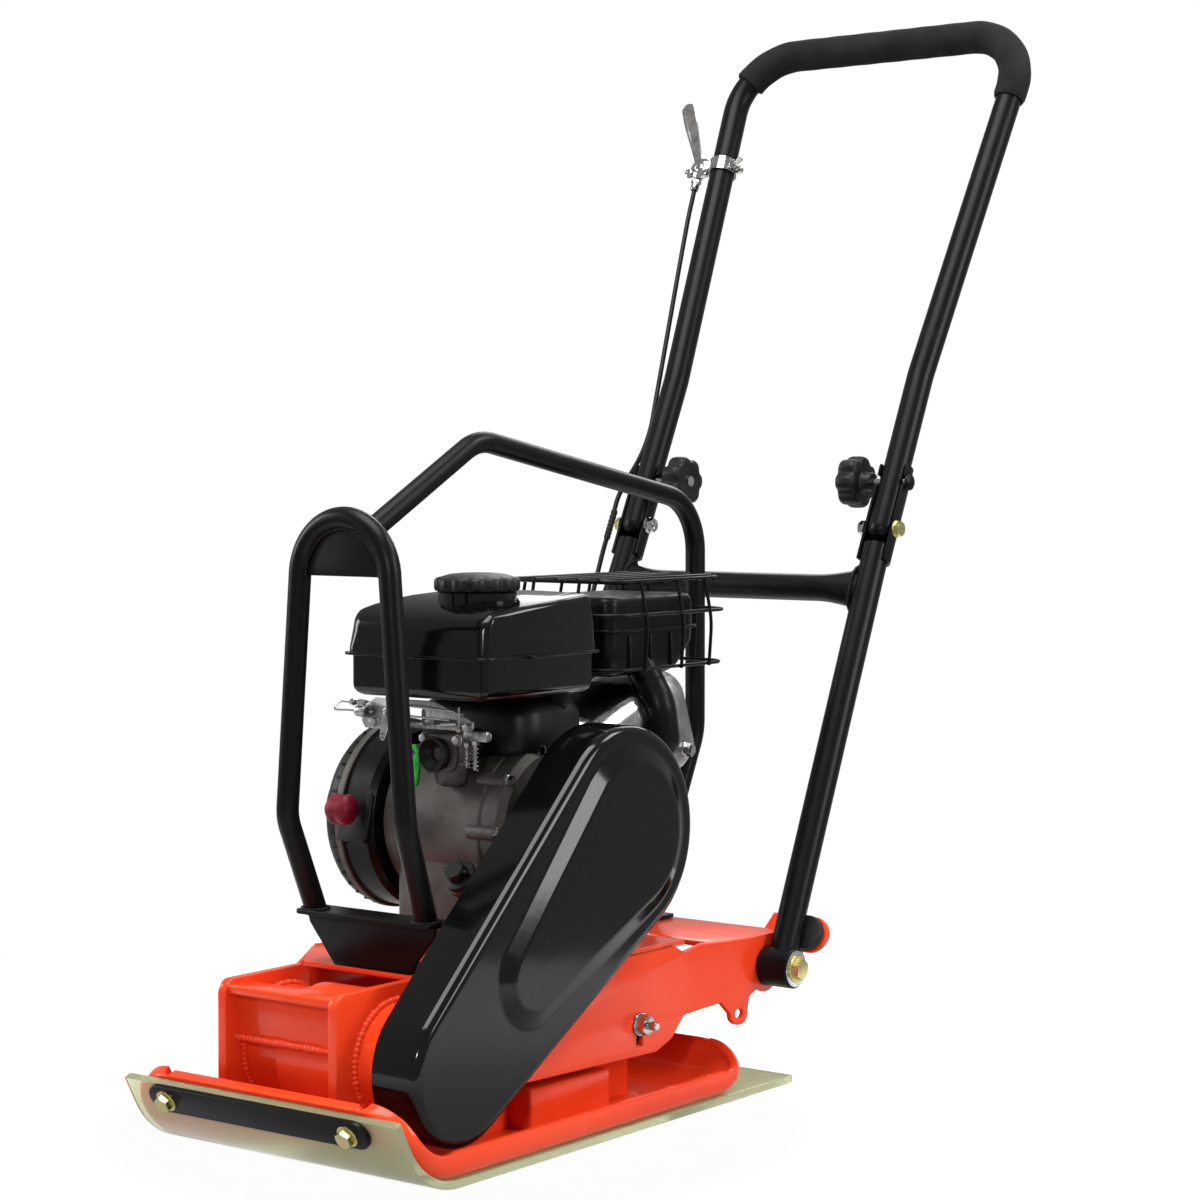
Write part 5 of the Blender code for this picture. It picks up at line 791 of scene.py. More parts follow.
def makeCables():
    foldX, pivotX, beside = cable["foldX"], cable["pivotX"], cable["beside"]
    gap, straight, clip = cable["gap"], cable["straight"], cable["clip"]
    start = cableStart()
    upper = [start, start - upHandle * 0.05 + Vector((0.004, 0, 0)),
             *tied(onHandle(cable["tie"][0] - beside, foldReach + cable["tie"][1])),
             onHandle(foldX, foldReach + gap + straight), onHandle(foldX, foldReach + gap)]
    makeCable("cableUpper", smoothRoute(upper), "upper_frame", "cable_upper")
    lower = [onHandle(foldX, foldReach - gap), onHandle(foldX, foldReach - gap - straight),
             *tied(onHandle(cable["lowTie"] - beside, foldReach / 2)),
             onHandle(pivotX, straight), onHandle(pivotX, clearance)]
    makeCable("cableLower", smoothRoute(lower), "lower_frame", "cable_lower")
    begin = onHandle(pivotX, -clearance)
    line = smoothRoute([begin, begin - upHandle * 0.01, begin + Vector((0.004, -0.03, -0.024)),
                        crank + Vector((-0.1817, 0.112, -0.105)), crank + Vector((-0.176, 0.042, 0.075)),
                        clip + Vector((-0.05, 0.03, 0.004)), clip - Vector((0.032, 0, 0)),
                        clip - Vector((0.016, 0, 0)), clip + Vector((0.012, 0, 0))])
    bare = next(i for i, spot in enumerate(line) if (spot - clip).length < cable["bare"])
    makeCable("cableEngine", line[:bare + 1], "machine", "cable_engine")
    wire = sweep(line[bare:], cable["wire"], sides=10)
    profile = [(0.0026, -0.009), (0.0034, -0.009), (0.0034, 0.003), (0.0018, 0.006), (0.0012, 0.006),
               (0.0012, 0.002)]
    ferrule = ringOf(profile, aim(line[bare], line[bare + 1] - line[bare]), steps=20)
    addPiece("cableInnerWire", merged(wire, ferrule), "bright_steel", "machine")
    boot = [onHandle(foldX, foldReach + cable["bootHalf"] * i / 8) for i in range(-8, 9)]
    sleeve = addPiece("cableBoot", sweep(evenly(boot, step=0.0008), bootRadius, sides=16), "rubber", None)
    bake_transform(sleeve)


makeCables()
print("stage: cables")

# floor, which fades to white away from the machine
ground = {"radius": 0.95, "centre": (0, 0.05, -0.0002), "near": 0.28, "far": 0.68, "glow": 0.46,
          "bounce": 0.4, "colour": (0.8, 0.8, 0.8, 1), "roughness": 0.8}


def makeFloor():
    disc = lathe([(0, 0), (ground["radius"], 0)], Matrix.Translation(ground["centre"]), steps=96)
    floor = looseObject(disc, "studioFloor")
    paint = bpy.data.materials.new("studioFloor")
    paint.use_nodes = True
    tree = paint.node_tree
    coords = addNode(tree, "ShaderNodeTexCoord", "Object")
    away = addNode(tree, "ShaderNodeVectorMath", "Value", {"operation": "LENGTH"}, {0: coords})
    glow = away.step(ground["near"], ground["far"], ground["glow"], 1.0)
    byCamera = addNode(tree, "ShaderNodeLightPath", "Is Camera Ray")
    direct = byCamera * (1 - ground["bounce"]) + ground["bounce"]
    looks = {"Base Color": ground["colour"], "Roughness": ground["roughness"], "Emission Strength": 1.0,
             "Emission Color": glow * direct}
    for name, value in looks.items():
        feed(tree, value, tree.nodes["Principled BSDF"].inputs[name])
    floor.data.materials.append(paint)


makeFloor()

# belt guard
guard = {"back": 0.096, "face": 0.142, "top": 0.093, "low": 0.062, "edge": 0.0085, "sheet": 0.0025,
         "support": 0.002, "panelRise": 0.0062, "panelInset": 0.017, "panelEnd": 0.62, "panelLow": 0.042,
         "chamfer": 0.0135, "steps": (64, 40),
         "notch": ((0, -0.11, -0.05), (0.1223, 0.3, deckTop + clearance))}
belt = {"x": 0.1295, "width": 0.011, "taper": 0.72, "reach": (0.056, 0.041), "depth": 0.008, "crown": 0.0003}


def guardLoop(upper, lower, share=1.0):
    line = (exciter - crank) * share
    toward = math.degrees(math.atan2(line.z, line.y))
    swing = math.degrees(math.acos((upper - lower) / line.length))
    end = crank + line
    return (arc((crank.y, crank.z), upper, toward + swing, toward + 360 - swing, guard["steps"][0])
            + arc((end.y, end.z), lower, toward - swing, toward + swing, guard["steps"][1]))


def makeGuard():
    top, low, edge, face = guard["top"], guard["low"], guard["edge"], guard["face"]
    rings = [sideRing(guardLoop(top, low), guard["back"])]
    for shrink, sink in roundEdge(edge):
        rings.append(sideRing(guardLoop(top - shrink, low - shrink), face - sink))
    shrink = edge + guard["support"]
    rings.append(sideRing(guardLoop(top - shrink, low - shrink), face))
    panelTop, panelLow = top - guard["panelInset"], guard["panelLow"]
    wide, rise = guard["chamfer"], guard["panelRise"]
    steps = ((-0.003, 0), (-0.001, 0), (0.001, 0.0006), (wide - 0.001, rise - 0.0006), (wide + 0.001, rise),
             (wide + 0.003, rise))
    for shrink, lift in steps:
        rings.append(sideRing(guardLoop(panelTop - shrink, panelLow - shrink, guard["panelEnd"]),
                              face + lift))
    shell = looseObject(skin(rings, False, True))
    wall = shell.modifiers.new("sheet", "SOLIDIFY")
    wall.thickness = guard["sheet"]
    wall.offset = -1
    wall.use_even_offset = True
    notch = slab(*guard["notch"], edge=0.0004, segments=1)
    addPiece("guardPressing", carved(settled(shell), notch), "gloss_black", "machine", "belt_guard",
             angle=24)


def makeBelt():
    upper, lower = belt["reach"]
    layers = (0, belt["crown"], -belt["depth"])
    outer, crown, inner = [guardLoop(upper + grow, lower + grow) for grow in layers]
    wide, narrow = belt["width"] / 2, belt["width"] * belt["taper"] / 2
    shape = ((outer, -wide), (crown, -wide * 0.8), (crown, wide * 0.8), (outer, wide), (inner, narrow),
             (inner, -narrow))
    rings = [sideRing(loop, belt["x"] + x) for loop, x in shape]
    addPiece("driveBelt", skin(rings, False, False, True, True), "rubber", "machine", "v_belt")


makeGuard()
makeBelt()
print("stage: belt guard")

# handle
handle = {"tube": 0.013, "topX": 0.147, "lowX": 0.1565, "start": 0.00925, "gap": 0.018, "crossbar": 0.3753,
          "flare": 0.0215, "flareRun": 0.05, "pinch": 0.0022, "sleeve": 0.0185, "sleeveBore": 0.0135,
          "sleeveStart": 0.1423, "sleeveEnd": 0.1738, "sleeveEdge": 0.0008, "trough": (0.0134, 0.0161),
          "troughLow": 0.034, "troughHigh": 0.066, "troughFront": 0.0065, "stud": 0.0494, "studSlot": 0.0047,
          "studBridge": 0.006}
bow = {"reach": 0.555, "width": 0.347, "straight": 0.165, "bend": 0.062, "gripLeft": 0.172,
       "gripRight": 0.222, "grip": 0.0167, "lip": 0.0016, "lipRun": 0.004, "ripple": 0.0003}


def makeLowerHandle():
    works = []
    end = foldReach - handle["gap"]
    inner, outer = handle["trough"]
    front, slot, bridge = handle["troughFront"], handle["studSlot"], handle["studBridge"]
    stud = foldReach + handle["stud"]
    sleeve = tube(handle["sleeveBore"], handle["sleeve"], handle["sleeveStart"], handle["sleeveEnd"],
                  handle["sleeveEdge"])
    for _, side in sides:
        foot, top = onHandle(side * handle["lowX"], handle["start"]), onHandle(side * handle["topX"], end)
        works.append(sweep(evenly([foot, top], step=0.02), handle["tube"], sides=32))
        works.append(ringOf(sleeve, aim(pivot, (side, 0, 0)), steps=40))
        x = side * handle["topX"]
        spans = ((foldReach - handle["troughLow"], stud - slot, front), (stud - bridge, stud + bridge, 0.0),
                 (stud + slot, foldReach + handle["troughHigh"], front))
        for low, high, ahead in spans:
            plan = [(x - outer, -ahead), *arc((x, 0), outer, 180, 0, 24), (x + outer, -ahead),
                    (x + inner, -ahead), *arc((x, 0), inner, 0, 180, 24), (x - inner, -ahead)]
            place = axes(onHandle(0, (low + high) / 2), (1, 0, 0), backHandle)
            works.append(sheet([plan], high - low, place, edge=0.0005))
    addPiece("handleLower", merged(*works), "black_coat", "lower_frame", "lower_handle")


def makeCrossbar():
    rings = []
    reach = handle["crossbar"]
    half = handle["topX"] - 0.004
    run = handle["flareRun"]
    for share in shares(60):
        x = half * (2 * share - 1)
        ease = max(0.0, (abs(x) - half + run) / run) ** 1.6
        high = handle["tube"] + (handle["flare"] - handle["tube"]) * ease
        deep = handle["tube"] - handle["pinch"] * ease
        rings.append([onHandle(x, reach + high * math.sin(t), deep * math.cos(t)) for t in turnsOf(32)])
    addPiece("handleCrossbar", skin(rings), "black_coat", "lower_frame")
    lines = []
    high, deep = handle["flare"] + 0.001, handle["tube"] - 0.0015
    for _, side in sides:
        x = side * (handle["topX"] - handle["tube"] + 0.0012)
        turns = [2 * math.pi * share for share in shares(24)]
        lines.append([onHandle(x, reach + high * math.sin(t), deep * math.cos(t)) for t in turns])
    weldBead("crossbarWelds", lines, "black_coat", "lower_frame", width=0.0042, pitch=0.0022, seed=4)


def bowPath():
    half, top, shoulder = bow["width"] / 2, foldReach + bow["reach"], foldReach + bow["straight"]
    corners = [onHandle(-handle["topX"], foldReach), onHandle(-handle["topX"], shoulder),
               onHandle(-half, top), onHandle(half, top), onHandle(handle["topX"], shoulder),
               onHandle(handle["topX"], foldReach)]
    return rounded(corners, bow["bend"], steps=16)


def foamRadius(share):
    near = min(share, 1 - share) * (bow["gripLeft"] + bow["gripRight"])
    lip = bow["lip"] * max(0.0, 1 - near / bow["lipRun"]) ** 2
    return bow["grip"] - lip - bow["ripple"] * math.sin(share * 40) ** 2


def makeBow():
    path = bowPath()
    works = [sweep(evenly(path, step=0.03), handle["tube"], sides=32)]
    turns = [math.pi / 2 * share for share in shares(8)]
    ball = [(handle["tube"] * math.sin(t), -handle["tube"] * math.cos(t)) for t in turns]
    for _, side in sides:
        works.append(lathe(ball, aim(onHandle(side * handle["topX"], foldReach), upHandle), steps=32))
    addPiece("handleBow", merged(*works), "black_coat", "upper_frame", "upper_handle")
    middle = lengthOf(path) / 2
    covered = evenly(stretchOf(path, middle - bow["gripLeft"], middle + bow["gripRight"]), step=0.004)
    grip = addPiece("foamGrip", sweep(covered, foamRadius, sides=36), "foam", "upper_frame", "handle_grip")


knob = {"radius": 0.0255, "lobes": 7, "start": 0.0328, "hub": 0.0092, "hubStart": 0.0225, "stud": 0.004,
        "tail": 0.0218, "valley": 0.17, "nut": (0.0188, 0.01, 0.003)}


def makeKnob(name, side):
    place = aim(onHandle(side * handle["topX"], foldReach + handle["stud"]), (-side, 0, 0))
    start, hub, hubStart, tail = knob["start"], knob["hub"], knob["hubStart"], -knob["tail"]
    profile = ((0.0, 0.0), (0.5, 0.0), (0.86, 0.0003), (0.94, 0.0014), (0.985, 0.0034), (1.0, 0.0062),
               (1.0, 0.0138), (0.985, 0.0165), (0.94, 0.0186), (0.86, 0.0197), (0.6, 0.02),
               (0.5, 0.0192), (0.0, 0.019))
    star = lobed(profile, knob["radius"], knob["lobes"], knob["valley"], place @ level(start), steps=16,
                 fade=3)
    neck = lathe([(0, hubStart), (hub - 0.0006, hubStart), (hub, hubStart + 0.0008), (hub, start - 0.003),
                  (hub + 0.003, start + 0.001), (0, start + 0.001)], place)
    body = f"knob_{name}"
    addPiece(f"starKnob_{name}", merged(star, neck), "black_plastic", body, f"knob_{name}", angle=40)
    cap = lathe([(0, tail), (0.0045, tail + 0.0006), (0.0075, tail + 0.0026), (0.0082, tail + 0.0046),
                 (0, tail + 0.0046)], place, steps=32)
    shank = rod(knob["stud"], tail + 0.003, start, place, steps=24)
    seat, across, height = knob["nut"]
    nut = hexHead(aim(place @ Vector((0, 0, start + seat)), (-side, 0, 0)), across, height)
    addPiece(f"knobStud_{name}", merged(shank, nut), "bright_steel", body)
    addPiece(f"knobCap_{name}", cap, "black_coat", body)


handleBolt = {"fold": (0.013, 0.005, 0.0082, 0.0012), "foldNut": (0.013, 0.0058, 0.004, 0.0016, 0.0082),
              "pivot": (0.017, 0.006, 0.0128, 0.002)}


def makeHandleBolts():
    outer = handle["trough"][1]
    washer = [(0.0122, 0), (0.0163, 0), (0.0167, 0.0004), (0.0163, 0.001), (0.0122, 0.001)]
    for name, side in sides:
        way = Vector((side, 0, 0))
        head = boltHead(onHandle(side * (handle["topX"] + outer), foldReach), way, *handleBolt["fold"])
        addPiece(f"foldBoltHead_{name}", head, "yellow_zinc", "lower_frame", f"fold_bolt_{name}")
        nut = nutOn(onHandle(side * (handle["topX"] - outer), foldReach), -way, *handleBolt["foldNut"])
        addPiece(f"foldBoltNut_{name}", nut, "bright_steel", "lower_frame")
        end = pivot + way * (handle["sleeveEnd"] + 0.0002)
        head = boltHead(end, way, *handleBolt["pivot"])
        addPiece(f"pivotBoltHead_{name}", head, "yellow_zinc", "machine", f"pivot_bolt_{name}")
        addPiece(f"pivotWasher_{name}", ringOf(washer, aim(end, way), steps=40), "bright_steel", "machine")


throttle = {"reach": 0.42, "x": -0.16433, "post": -0.19133, "band": (0.0133, 0.015), "bead": 0.0006,
            "width": 0.015, "spread": math.radians(27), "length": 0.093, "neck": 0.0046, "blade": 0.0076,
            "tip": 0.008, "cup": 0.0008, "disc": 0.012, "wing": 0.0238, "steps": 30}


def clampBand():
    inner, outer = throttle["band"]
    half, bead = throttle["width"] / 2, outer + throttle["bead"]
    lower = [(inner, -half), (bead, -half), (bead, -half + 0.0012), (outer, -half + 0.002)]
    return lower + [(radius, -height) for radius, height in reversed(lower)]


def makeClamp():
    reach = foldReach + throttle["reach"]
    spot, post = onHandle(throttle["x"], reach), onHandle(throttle["post"], reach)
    shoulder = onHandle(-handle["topX"], foldReach + bow["straight"])
    leg = (onHandle(-bow["width"] / 2, foldReach + bow["reach"]) - shoulder).normalized()
    outer, wing = throttle["band"][1], throttle["wing"]
    works = [ringOf(clampBand(), aim(spot, leg), steps=40)]
    flat = axes(spot, (1, 0, 0), upHandle)
    lug = [(-0.0125, -0.0065), (-0.0125, 0.0065), (-0.019, 0.0085), *arc((-0.027, 0), 0.0088, 70, 215, 14),
           (-0.036, -0.013), (-0.0345, -0.0185), (-0.0275, -0.0185), (-0.0245, -0.0095), (-0.018, -0.0075)]
    works.append(sheet([lug], 0.0034, flat, edge=0.0007))
    ear = [(outer - 0.002, -0.005), (wing - 0.004, -0.0042), *arc((wing - 0.0055, 0), 0.0044, -70, 70, 8),
           (outer - 0.002, 0.005)]
    for middle in (-0.0021, 0.0021):
        works.append(sheet([ear], 0.0018, flat @ level(middle), edge=0.0003))
    screw = spot + Vector((wing - 0.006, 0, 0))
    across = aim(screw, backHandle)
    works.append(rod(0.0022, -0.008, 0.007, across, steps=20))
    works.append(lathe([(0, -0.0085), (0.0042, -0.0085), (0.0048, -0.0075), (0.0034, -0.0034), (0, -0.0034)],
                       across, steps=24))
    for side in (-1, 1):
        vane = [(side * 0.0015, -0.002), (side * 0.0095, -0.0046), (side * 0.012, -0.002),
                (side * 0.0115, 0.0024), (side * 0.0015, 0.0022)]
        place = axes(screw - backHandle * 0.0062, (0.82, 0, 0.57), backHandle)
        works.append(sheet([vane], 0.0018, place, edge=0.0006))
    works.append(hexHead(aim(screw + backHandle * 0.0038, backHandle), across=0.0074, height=0.0034))
    face = aim(post - backHandle * 0.0066, -backHandle)
    works.append(lathe([(0, -0.006), (0.0046, -0.006), (0.0046, 0.0), (0.0046, 0.0008), (0.0036, 0.0014),
                        (0, 0.0016)], face, steps=32))
    start = cableStart()
    barrel = [(0.0027, -0.006), (0.004, -0.006), (0.0044, -0.0052), (0.0044, 0.0015), (0.0038, 0.003),
              (0.003, 0.008), (0.0027, 0.008)]
    works.append(ringOf(barrel, aim(start - upHandle * 0.0005, upHandle), steps=28))
    works.append(hexHead(aim(start + upHandle * 0.002, upHandle), across=0.0098, height=0.003))
    addPiece("throttleClamp", merged(*works), "bright_steel", "upper_frame", "throttle_clamp")


def makeBlade():
    post = onHandle(throttle["post"], foldReach + throttle["reach"])
    turn, length, tip = throttle["spread"], throttle["length"], throttle["tip"]
    along = upHandle * math.cos(turn) - Vector((math.sin(turn), 0, 0))
    aside = upHandle * math.sin(turn) + Vector((math.cos(turn), 0, 0))
    out = -backHandle
    centre = post + out * 0.0043
    across = [2 * share - 1 for share in shares(10)]
    rings = []
    for share in shares(throttle["steps"]):
        reach = 0.004 + (length - 0.0042) * share
        grown = min(1.0, max(0.0, (reach - 0.012) / 0.06))
        wide = throttle["neck"] + (throttle["blade"] - throttle["neck"]) * grown * grown * (3 - 2 * grown)
        left = length - reach
        if left < tip:
            wide *= math.sqrt(max(0.0009, 1 - (1 - left / tip) ** 2))
        cup = throttle["cup"] * min(1.0, grown * 1.6) * min(1.0, left / 0.01)
        lift = 0.0012 * math.sin(math.pi * min(1.0, reach / length))
        front = [(u, 0.0016 - cup * max(0.0, 1 - (1.25 * u) ** 2)) for u in across]
        back = [(-u, -0.0014 - 0.5 * cup * (1 - u ** 2)) for u in across]
        spots = front + back
        rings.append([centre + along * reach + aside * (u * wide) + out * (h + lift) for u, h in spots])
    eye = throttle["disc"]
    boss = lathe([(0.0046, -0.0021), (eye - 0.0006, -0.0021), (eye, -0.0014), (eye, 0.0012),
                  (eye - 0.001, 0.0022), (0.0068, 0.0034), (0.0058, 0.0036), (0.0046, 0.003)],
                 aim(centre, out), steps=40)
    pin = lathe([(0, -0.0022), (0.0042, -0.0022), (0.0046, -0.0014), (0.0046, 0.003), (0.0036, 0.0038),
                 (0.0014, 0.0038), (0, 0.003)], aim(centre - aside * 0.0135 + out * 0.0005, out), steps=24)
    blade = merged(skin(rings), boss, pin)
    addPiece("throttleBlade", blade, "bright_steel", "throttle_lever", "throttle_lever", angle=40)


def makeBushes():
    bush = tube(0.0053, 0.0132, handle["sleeveStart"] + 0.0002, handle["sleeveEnd"] - 0.0002, 0.0004, 0.0008)
    for name, side in sides:
        work = ringOf(bush, aim(pivot, (side, 0, 0)), steps=40)
        addPiece(f"pivotBush_{name}", work, "rubber", "machine", f"handle_bush_{name}")


makeLowerHandle()
makeCrossbar()
makeBow()
makeClamp()
makeBlade()
makeBushes()
for name, side in sides:
    makeKnob(name, side)
makeHandleBolts()
print("stage: handle")

# guard cage
cage = {"tube": 0.0095, "y": -0.136, "top": 0.526, "bend": 0.274, "foot": 0.192, "kick": 0.031, "low": 0.066,
        "high": 0.05, "footHalf": 0.062, "sheet": 0.004, "shelf": 0.0755, "shelfTop": 0.194,
        "shelfCorner": 0.006, "narrow": 0.0415, "deckFront": -0.106, "apex": (0.036, 0.592), "leg": 0.363,
        "shoulder": 0.533, "kickTop": 0.313, "railFoot": (0.282, 0.1443), "railBend": 0.055,
        "weld": (0.0042, 0.0021)}


def makeHoop():
    y, shoulder, thick = cage["y"], cage["top"] - cage["high"], cage["sheet"]
    footY, half, corner = y + cage["kick"], cage["shelf"], cage["shelfCorner"]
    narrow, front, shelfTop = cage["narrow"], cage["deckFront"], cage["shelfTop"]
    left = rounded([(-cage["footHalf"], footY, cage["foot"]), (-cage["low"], y, cage["bend"]),
                    (-cage["high"], y, shoulder)], 0.05, steps=8)
    crown = [Vector((x, y, z)) for x, z in arc((0, shoulder), cage["high"], 180, 0, 28)]
    right = [Vector((-p.x, p.y, p.z)) for p in reversed(left)]
    works = [sweep(evenly(left[:-1] + crown + right[1:], step=0.02), cage["tube"], sides=28)]
    inside, sill = cage["high"] - 0.004, shoulder + 0.002
    web = [(-inside, sill), *arc((0, sill), inside, 180, 0, 24)[1:-1], (inside, sill)]
    works.append(sheet([web], thick, frontView(y)))
    shelf = [(half, footY + 0.02), (-half, footY + 0.02),
             *arc((corner - half, footY - 0.008), corner, 180, 270, 5),
             *arc((half - corner, footY - 0.008), corner, 270, 360, 5)]
    works.append(sheet([shelf], thick, level(shelfTop - thick / 2), edge=0.001))
    low = deckTop + clearance
    edge = [(narrow, low), (half - corner, shelfTop - 0.012), (half - 0.003, shelfTop - 0.002)]
    skirt = edge + [(-x, z) for x, z in reversed(edge)]
    works.append(sheet([skirt], thick, frontView(front + 0.002), edge=0.0012))
    works.append(slab((-narrow, front, low), (narrow, front + 0.036, low + thick)))
    addPiece("cageHoop", merged(*works), "black_coat", "machine", "cage_hoop")
    lines = []
    for face in (-1, 1):
        depth = y + face * (thick / 2 + 0.0004)
        bead = arc((0, shoulder), cage["high"] - cage["tube"] + 0.0008, 176, 4, 40)
        lines.append([Vector((x, depth, z)) for x, z in bead])
    for _, side in sides:
        foot = aim((side * cage["footHalf"], footY - 0.001, shelfTop), (0, 0, 1))
        lines.append(circleLine(foot, cage["tube"] + 0.0012))
    weldBead("hoopWelds", lines, "black_coat", "machine", *cage["weld"], seed=7)


def makeRail():
    start = Vector((0, cage["y"] + 0.0063, cage["top"] - 0.0255))
    leg, (footY, footZ), radius = cage["leg"], cage["railFoot"], cage["tube"]
    corners = [start, (0, *cage["apex"]), (0, leg, cage["shoulder"]), (0, leg, cage["kickTop"]),
               (0, footY, footZ)]
    works = [sweep(evenly(rounded(corners, cage["railBend"], steps=12), step=0.02), radius, sides=28)]
    tab = cage["y"] + 0.0023
    works.append(slab((-radius, tab, cage["top"] - 0.0465), (radius, tab + 0.004, cage["top"] - 0.0135)))
    works.append(slab((-0.022, footY - 0.024, footZ - 0.002), (0.022, footY + 0.016, footZ + 0.002)))
    addPiece("cageRail", merged(*works), "black_coat", "machine", "cage_rail")
    end = circleLine(aim((0, footY + 0.001, footZ + 0.002), (0, 0.36, 1)), radius + 0.001)
    weldBead("railWelds", [end], "black_coat", "machine", *cage["weld"], seed=9)


makeHoop()
makeRail()
print("stage: cage")

# sole plate, pad and clamp
plate = {"half": 0.15, "length": 0.24, "under": 0.0073, "sheet": 0.006, "frontLip": (0.065, 62, 0.03),
         "rearLip": (0.04, 72, 0.012), "rim": 0.022, "rimRadius": 0.01, "corner": 0.038, "steps": 16,
         "edge": 0.0016, "upright": (0.082, 0.088), "uprightY": (-0.089, 0.136), "uprightTop": 0.1053,
         "uprightCorner": 0.0168, "rail": (0.112, 0.0483), "railY": (-0.0315, 0.0785)}
pad = {"sheet": 0.007, "overhang": 0.068, "drop": 0.003, "bar": (0.24, 0.026, 0.005), "bolts": 0.1,
       "seat": 0.0076, "bolt": (0.0135, 0.0056, 0.0098, 0.0018)}


def lipReach(lip):
    radius, angle, straight = lip[0], math.radians(lip[1]), lip[2]
    return radius * math.sin(angle) + straight * math.cos(angle)


# stations along a lip: place, slope, distance to its end and how far it has turned up
def lipRun(lip, flatY, way):
    radius, angle, straight = lip[0], math.radians(lip[1]), lip[2]
    found = []
    for share in shares(plate["steps"]):
        turn = angle * share
        y, z = flatY + way * radius * math.sin(turn), plate["under"] + radius * (1 - math.cos(turn))
        found.append((y, z, way * turn, straight + radius * (angle - turn), share))
    for share in (0.2, 0.4, 0.55, 0.7, 0.8, 0.88, 0.94, 0.98, 1.0):
        run = straight * share
        spot = y + way * run * math.cos(angle), z + run * math.sin(angle)
        found.append((*spot, way * angle, straight - run, 1.0))
    return found


frontFlat = -plate["length"] + lipReach(plate["frontLip"])
rearFlat = plate["length"] - lipReach(plate["rearLip"])


def makePlate():
    stations = lipRun(plate["frontLip"], frontFlat, -1)[::-1] + lipRun(plate["rearLip"], rearFlat, 1)
    rings = []
    for y, z, slope, run, lip in stations:
        half = plate["half"]
        if run < plate["corner"]:
            half -= plate["corner"] - math.sqrt(plate["corner"] ** 2 - (plate["corner"] - run) ** 2)
        bend = plate["rimRadius"]
        height = plate["rim"] + (bend * 1.15 - plate["rim"]) * lip
        right = arc((half - bend, bend), bend, -90, 0, 8) + [(half, height)]
        section = [(-x, h) for x, h in reversed(right)] + right
        rings.append([Vector((x, y - h * math.sin(slope), z + h * math.cos(slope))) for x, h in section])
    pan = looseObject(skin(rings, False, False, False))
    wall = pan.modifiers.new("sheet", "SOLIDIFY")
    wall.thickness = plate["sheet"]
    wall.offset = 1 if pan.data.polygons[len(pan.data.polygons) // 2].normal.z > 0 else -1
    wall.use_even_offset = True
    soft = pan.modifiers.new("edge", "BEVEL")
    soft.width = plate["edge"]
    soft.segments = 2
    soft.angle_limit = math.radians(50)
    works = [settled(pan)]
    lines = []
    (front, rear), (railFront, railRear) = plate["uprightY"], plate["railY"]
    top, corner = plate["uprightTop"], plate["uprightCorner"]
    foot, bead = floorTop - 0.002, floorTop + 0.001
    outline = [(front, foot), (rear, foot), (rear, top - corner), (rear - corner, top),
               (front + corner, top), (front, top - corner)]
    inside, outside = plate["upright"]
    railX, railTop = plate["rail"]
    for _, side in sides:
        works.append(sheet([outline], outside - inside, sideView(side * (inside + outside) / 2), edge=0.001))
        inner, outer = sorted((side * (inside + outside) / 2, side * railX))
        works.append(slab((inner, railFront, foot), (outer, railRear, railTop), edge=0.003, segments=3))
        for x, start, end in ((railX + 0.001, railFront, railRear), (inside - 0.001, front, rear)):
            lines.append([Vector((side * x, y, bead)) for y in (start, end)])
    addPiece("solePlate", merged(*works), "orange_paint", "machine", "base_plate")
    weldBead("uprightWelds", lines, "orange_paint", "machine", width=0.006, pitch=0.0028, seed=3)


def lipPlace(outward, x=0.0):
    radius, angle, straight = plate["frontLip"][0], math.radians(plate["frontLip"][1]), plate["frontLip"][2]
    y = frontFlat - radius * math.sin(angle) - straight / 2 * math.cos(angle)
    z = plate["under"] + radius * (1 - math.cos(angle)) + straight / 2 * math.sin(angle)
    out = Vector((0, -math.sin(angle), -math.cos(angle)))
    return Vector((x, y, z)) + out * outward, out


def makePad():
    inner, outer = [], []
    for y, z, slope, run, _ in lipRun(plate["frontLip"], frontFlat, -1)[::-1]:
        if run < pad["drop"]:
            continue
        for line, depth in ((inner, clearance), (outer, clearance + pad["sheet"])):
            line.append((y + depth * math.sin(slope), z - depth * math.cos(slope)))
    end = plate["length"] + pad["overhang"]
    rear = [frontFlat + (end - frontFlat) * share for share in shares(24)[1:]]
    outline = inner + [(y, plate["under"] - clearance) for y in rear] + [(y, 0.0) for y in reversed(rear)]
    strip = sheet([outline + outer[::-1]], plate["half"] * 2, sideView(0), edge=0.0012)
    addPiece("wearPad", strip, "clear_pad", "machine", "paving_pad")
    length, height, thick = pad["bar"]
    seat, out = lipPlace(pad["seat"] + thick / 2)
    flat = axes(seat, (1, 0, 0), out.cross(Vector((1, 0, 0))))
    reach = length / 2 - height / 2
    bar = arc((reach, 0), height / 2, -90, 90, 16) + arc((-reach, 0), height / 2, 90, 270, 16)
    addPiece("clampBar", sheet([bar], thick, flat, edge=0.0009), "black_coat", "machine", "pad_clamp_bar")
    for name, side in sides:
        head, out = lipPlace(pad["seat"] + thick, side * pad["bolts"])
        bolt = boltHead(head, out, *pad["bolt"])
        addPiece(f"clampBolt_{name}", bolt, "yellow_zinc", "machine", f"pad_bolt_{name}")


makePlate()
makePad()
print("stage: sole plate")

# exciter weldment
shaker = {"collar": (-0.018, 0.046, 0.054), "radius": 0.048, "wall": 0.01, "left": -0.075, "right": 0.092,
          "rib": 0.061, "ribSheet": 0.009, "front": -0.22, "rear": -0.12, "top": 0.15, "corner": 0.012,
          "cut": 0.008, "tie": (0.0045, 0.007, 0.026), "edge": 0.0012, "web": (0.015, 0.006),
          "lidHole": 0.014, "lidBolt": (0.038, 15, 0.0055), "lidBolts": 6}


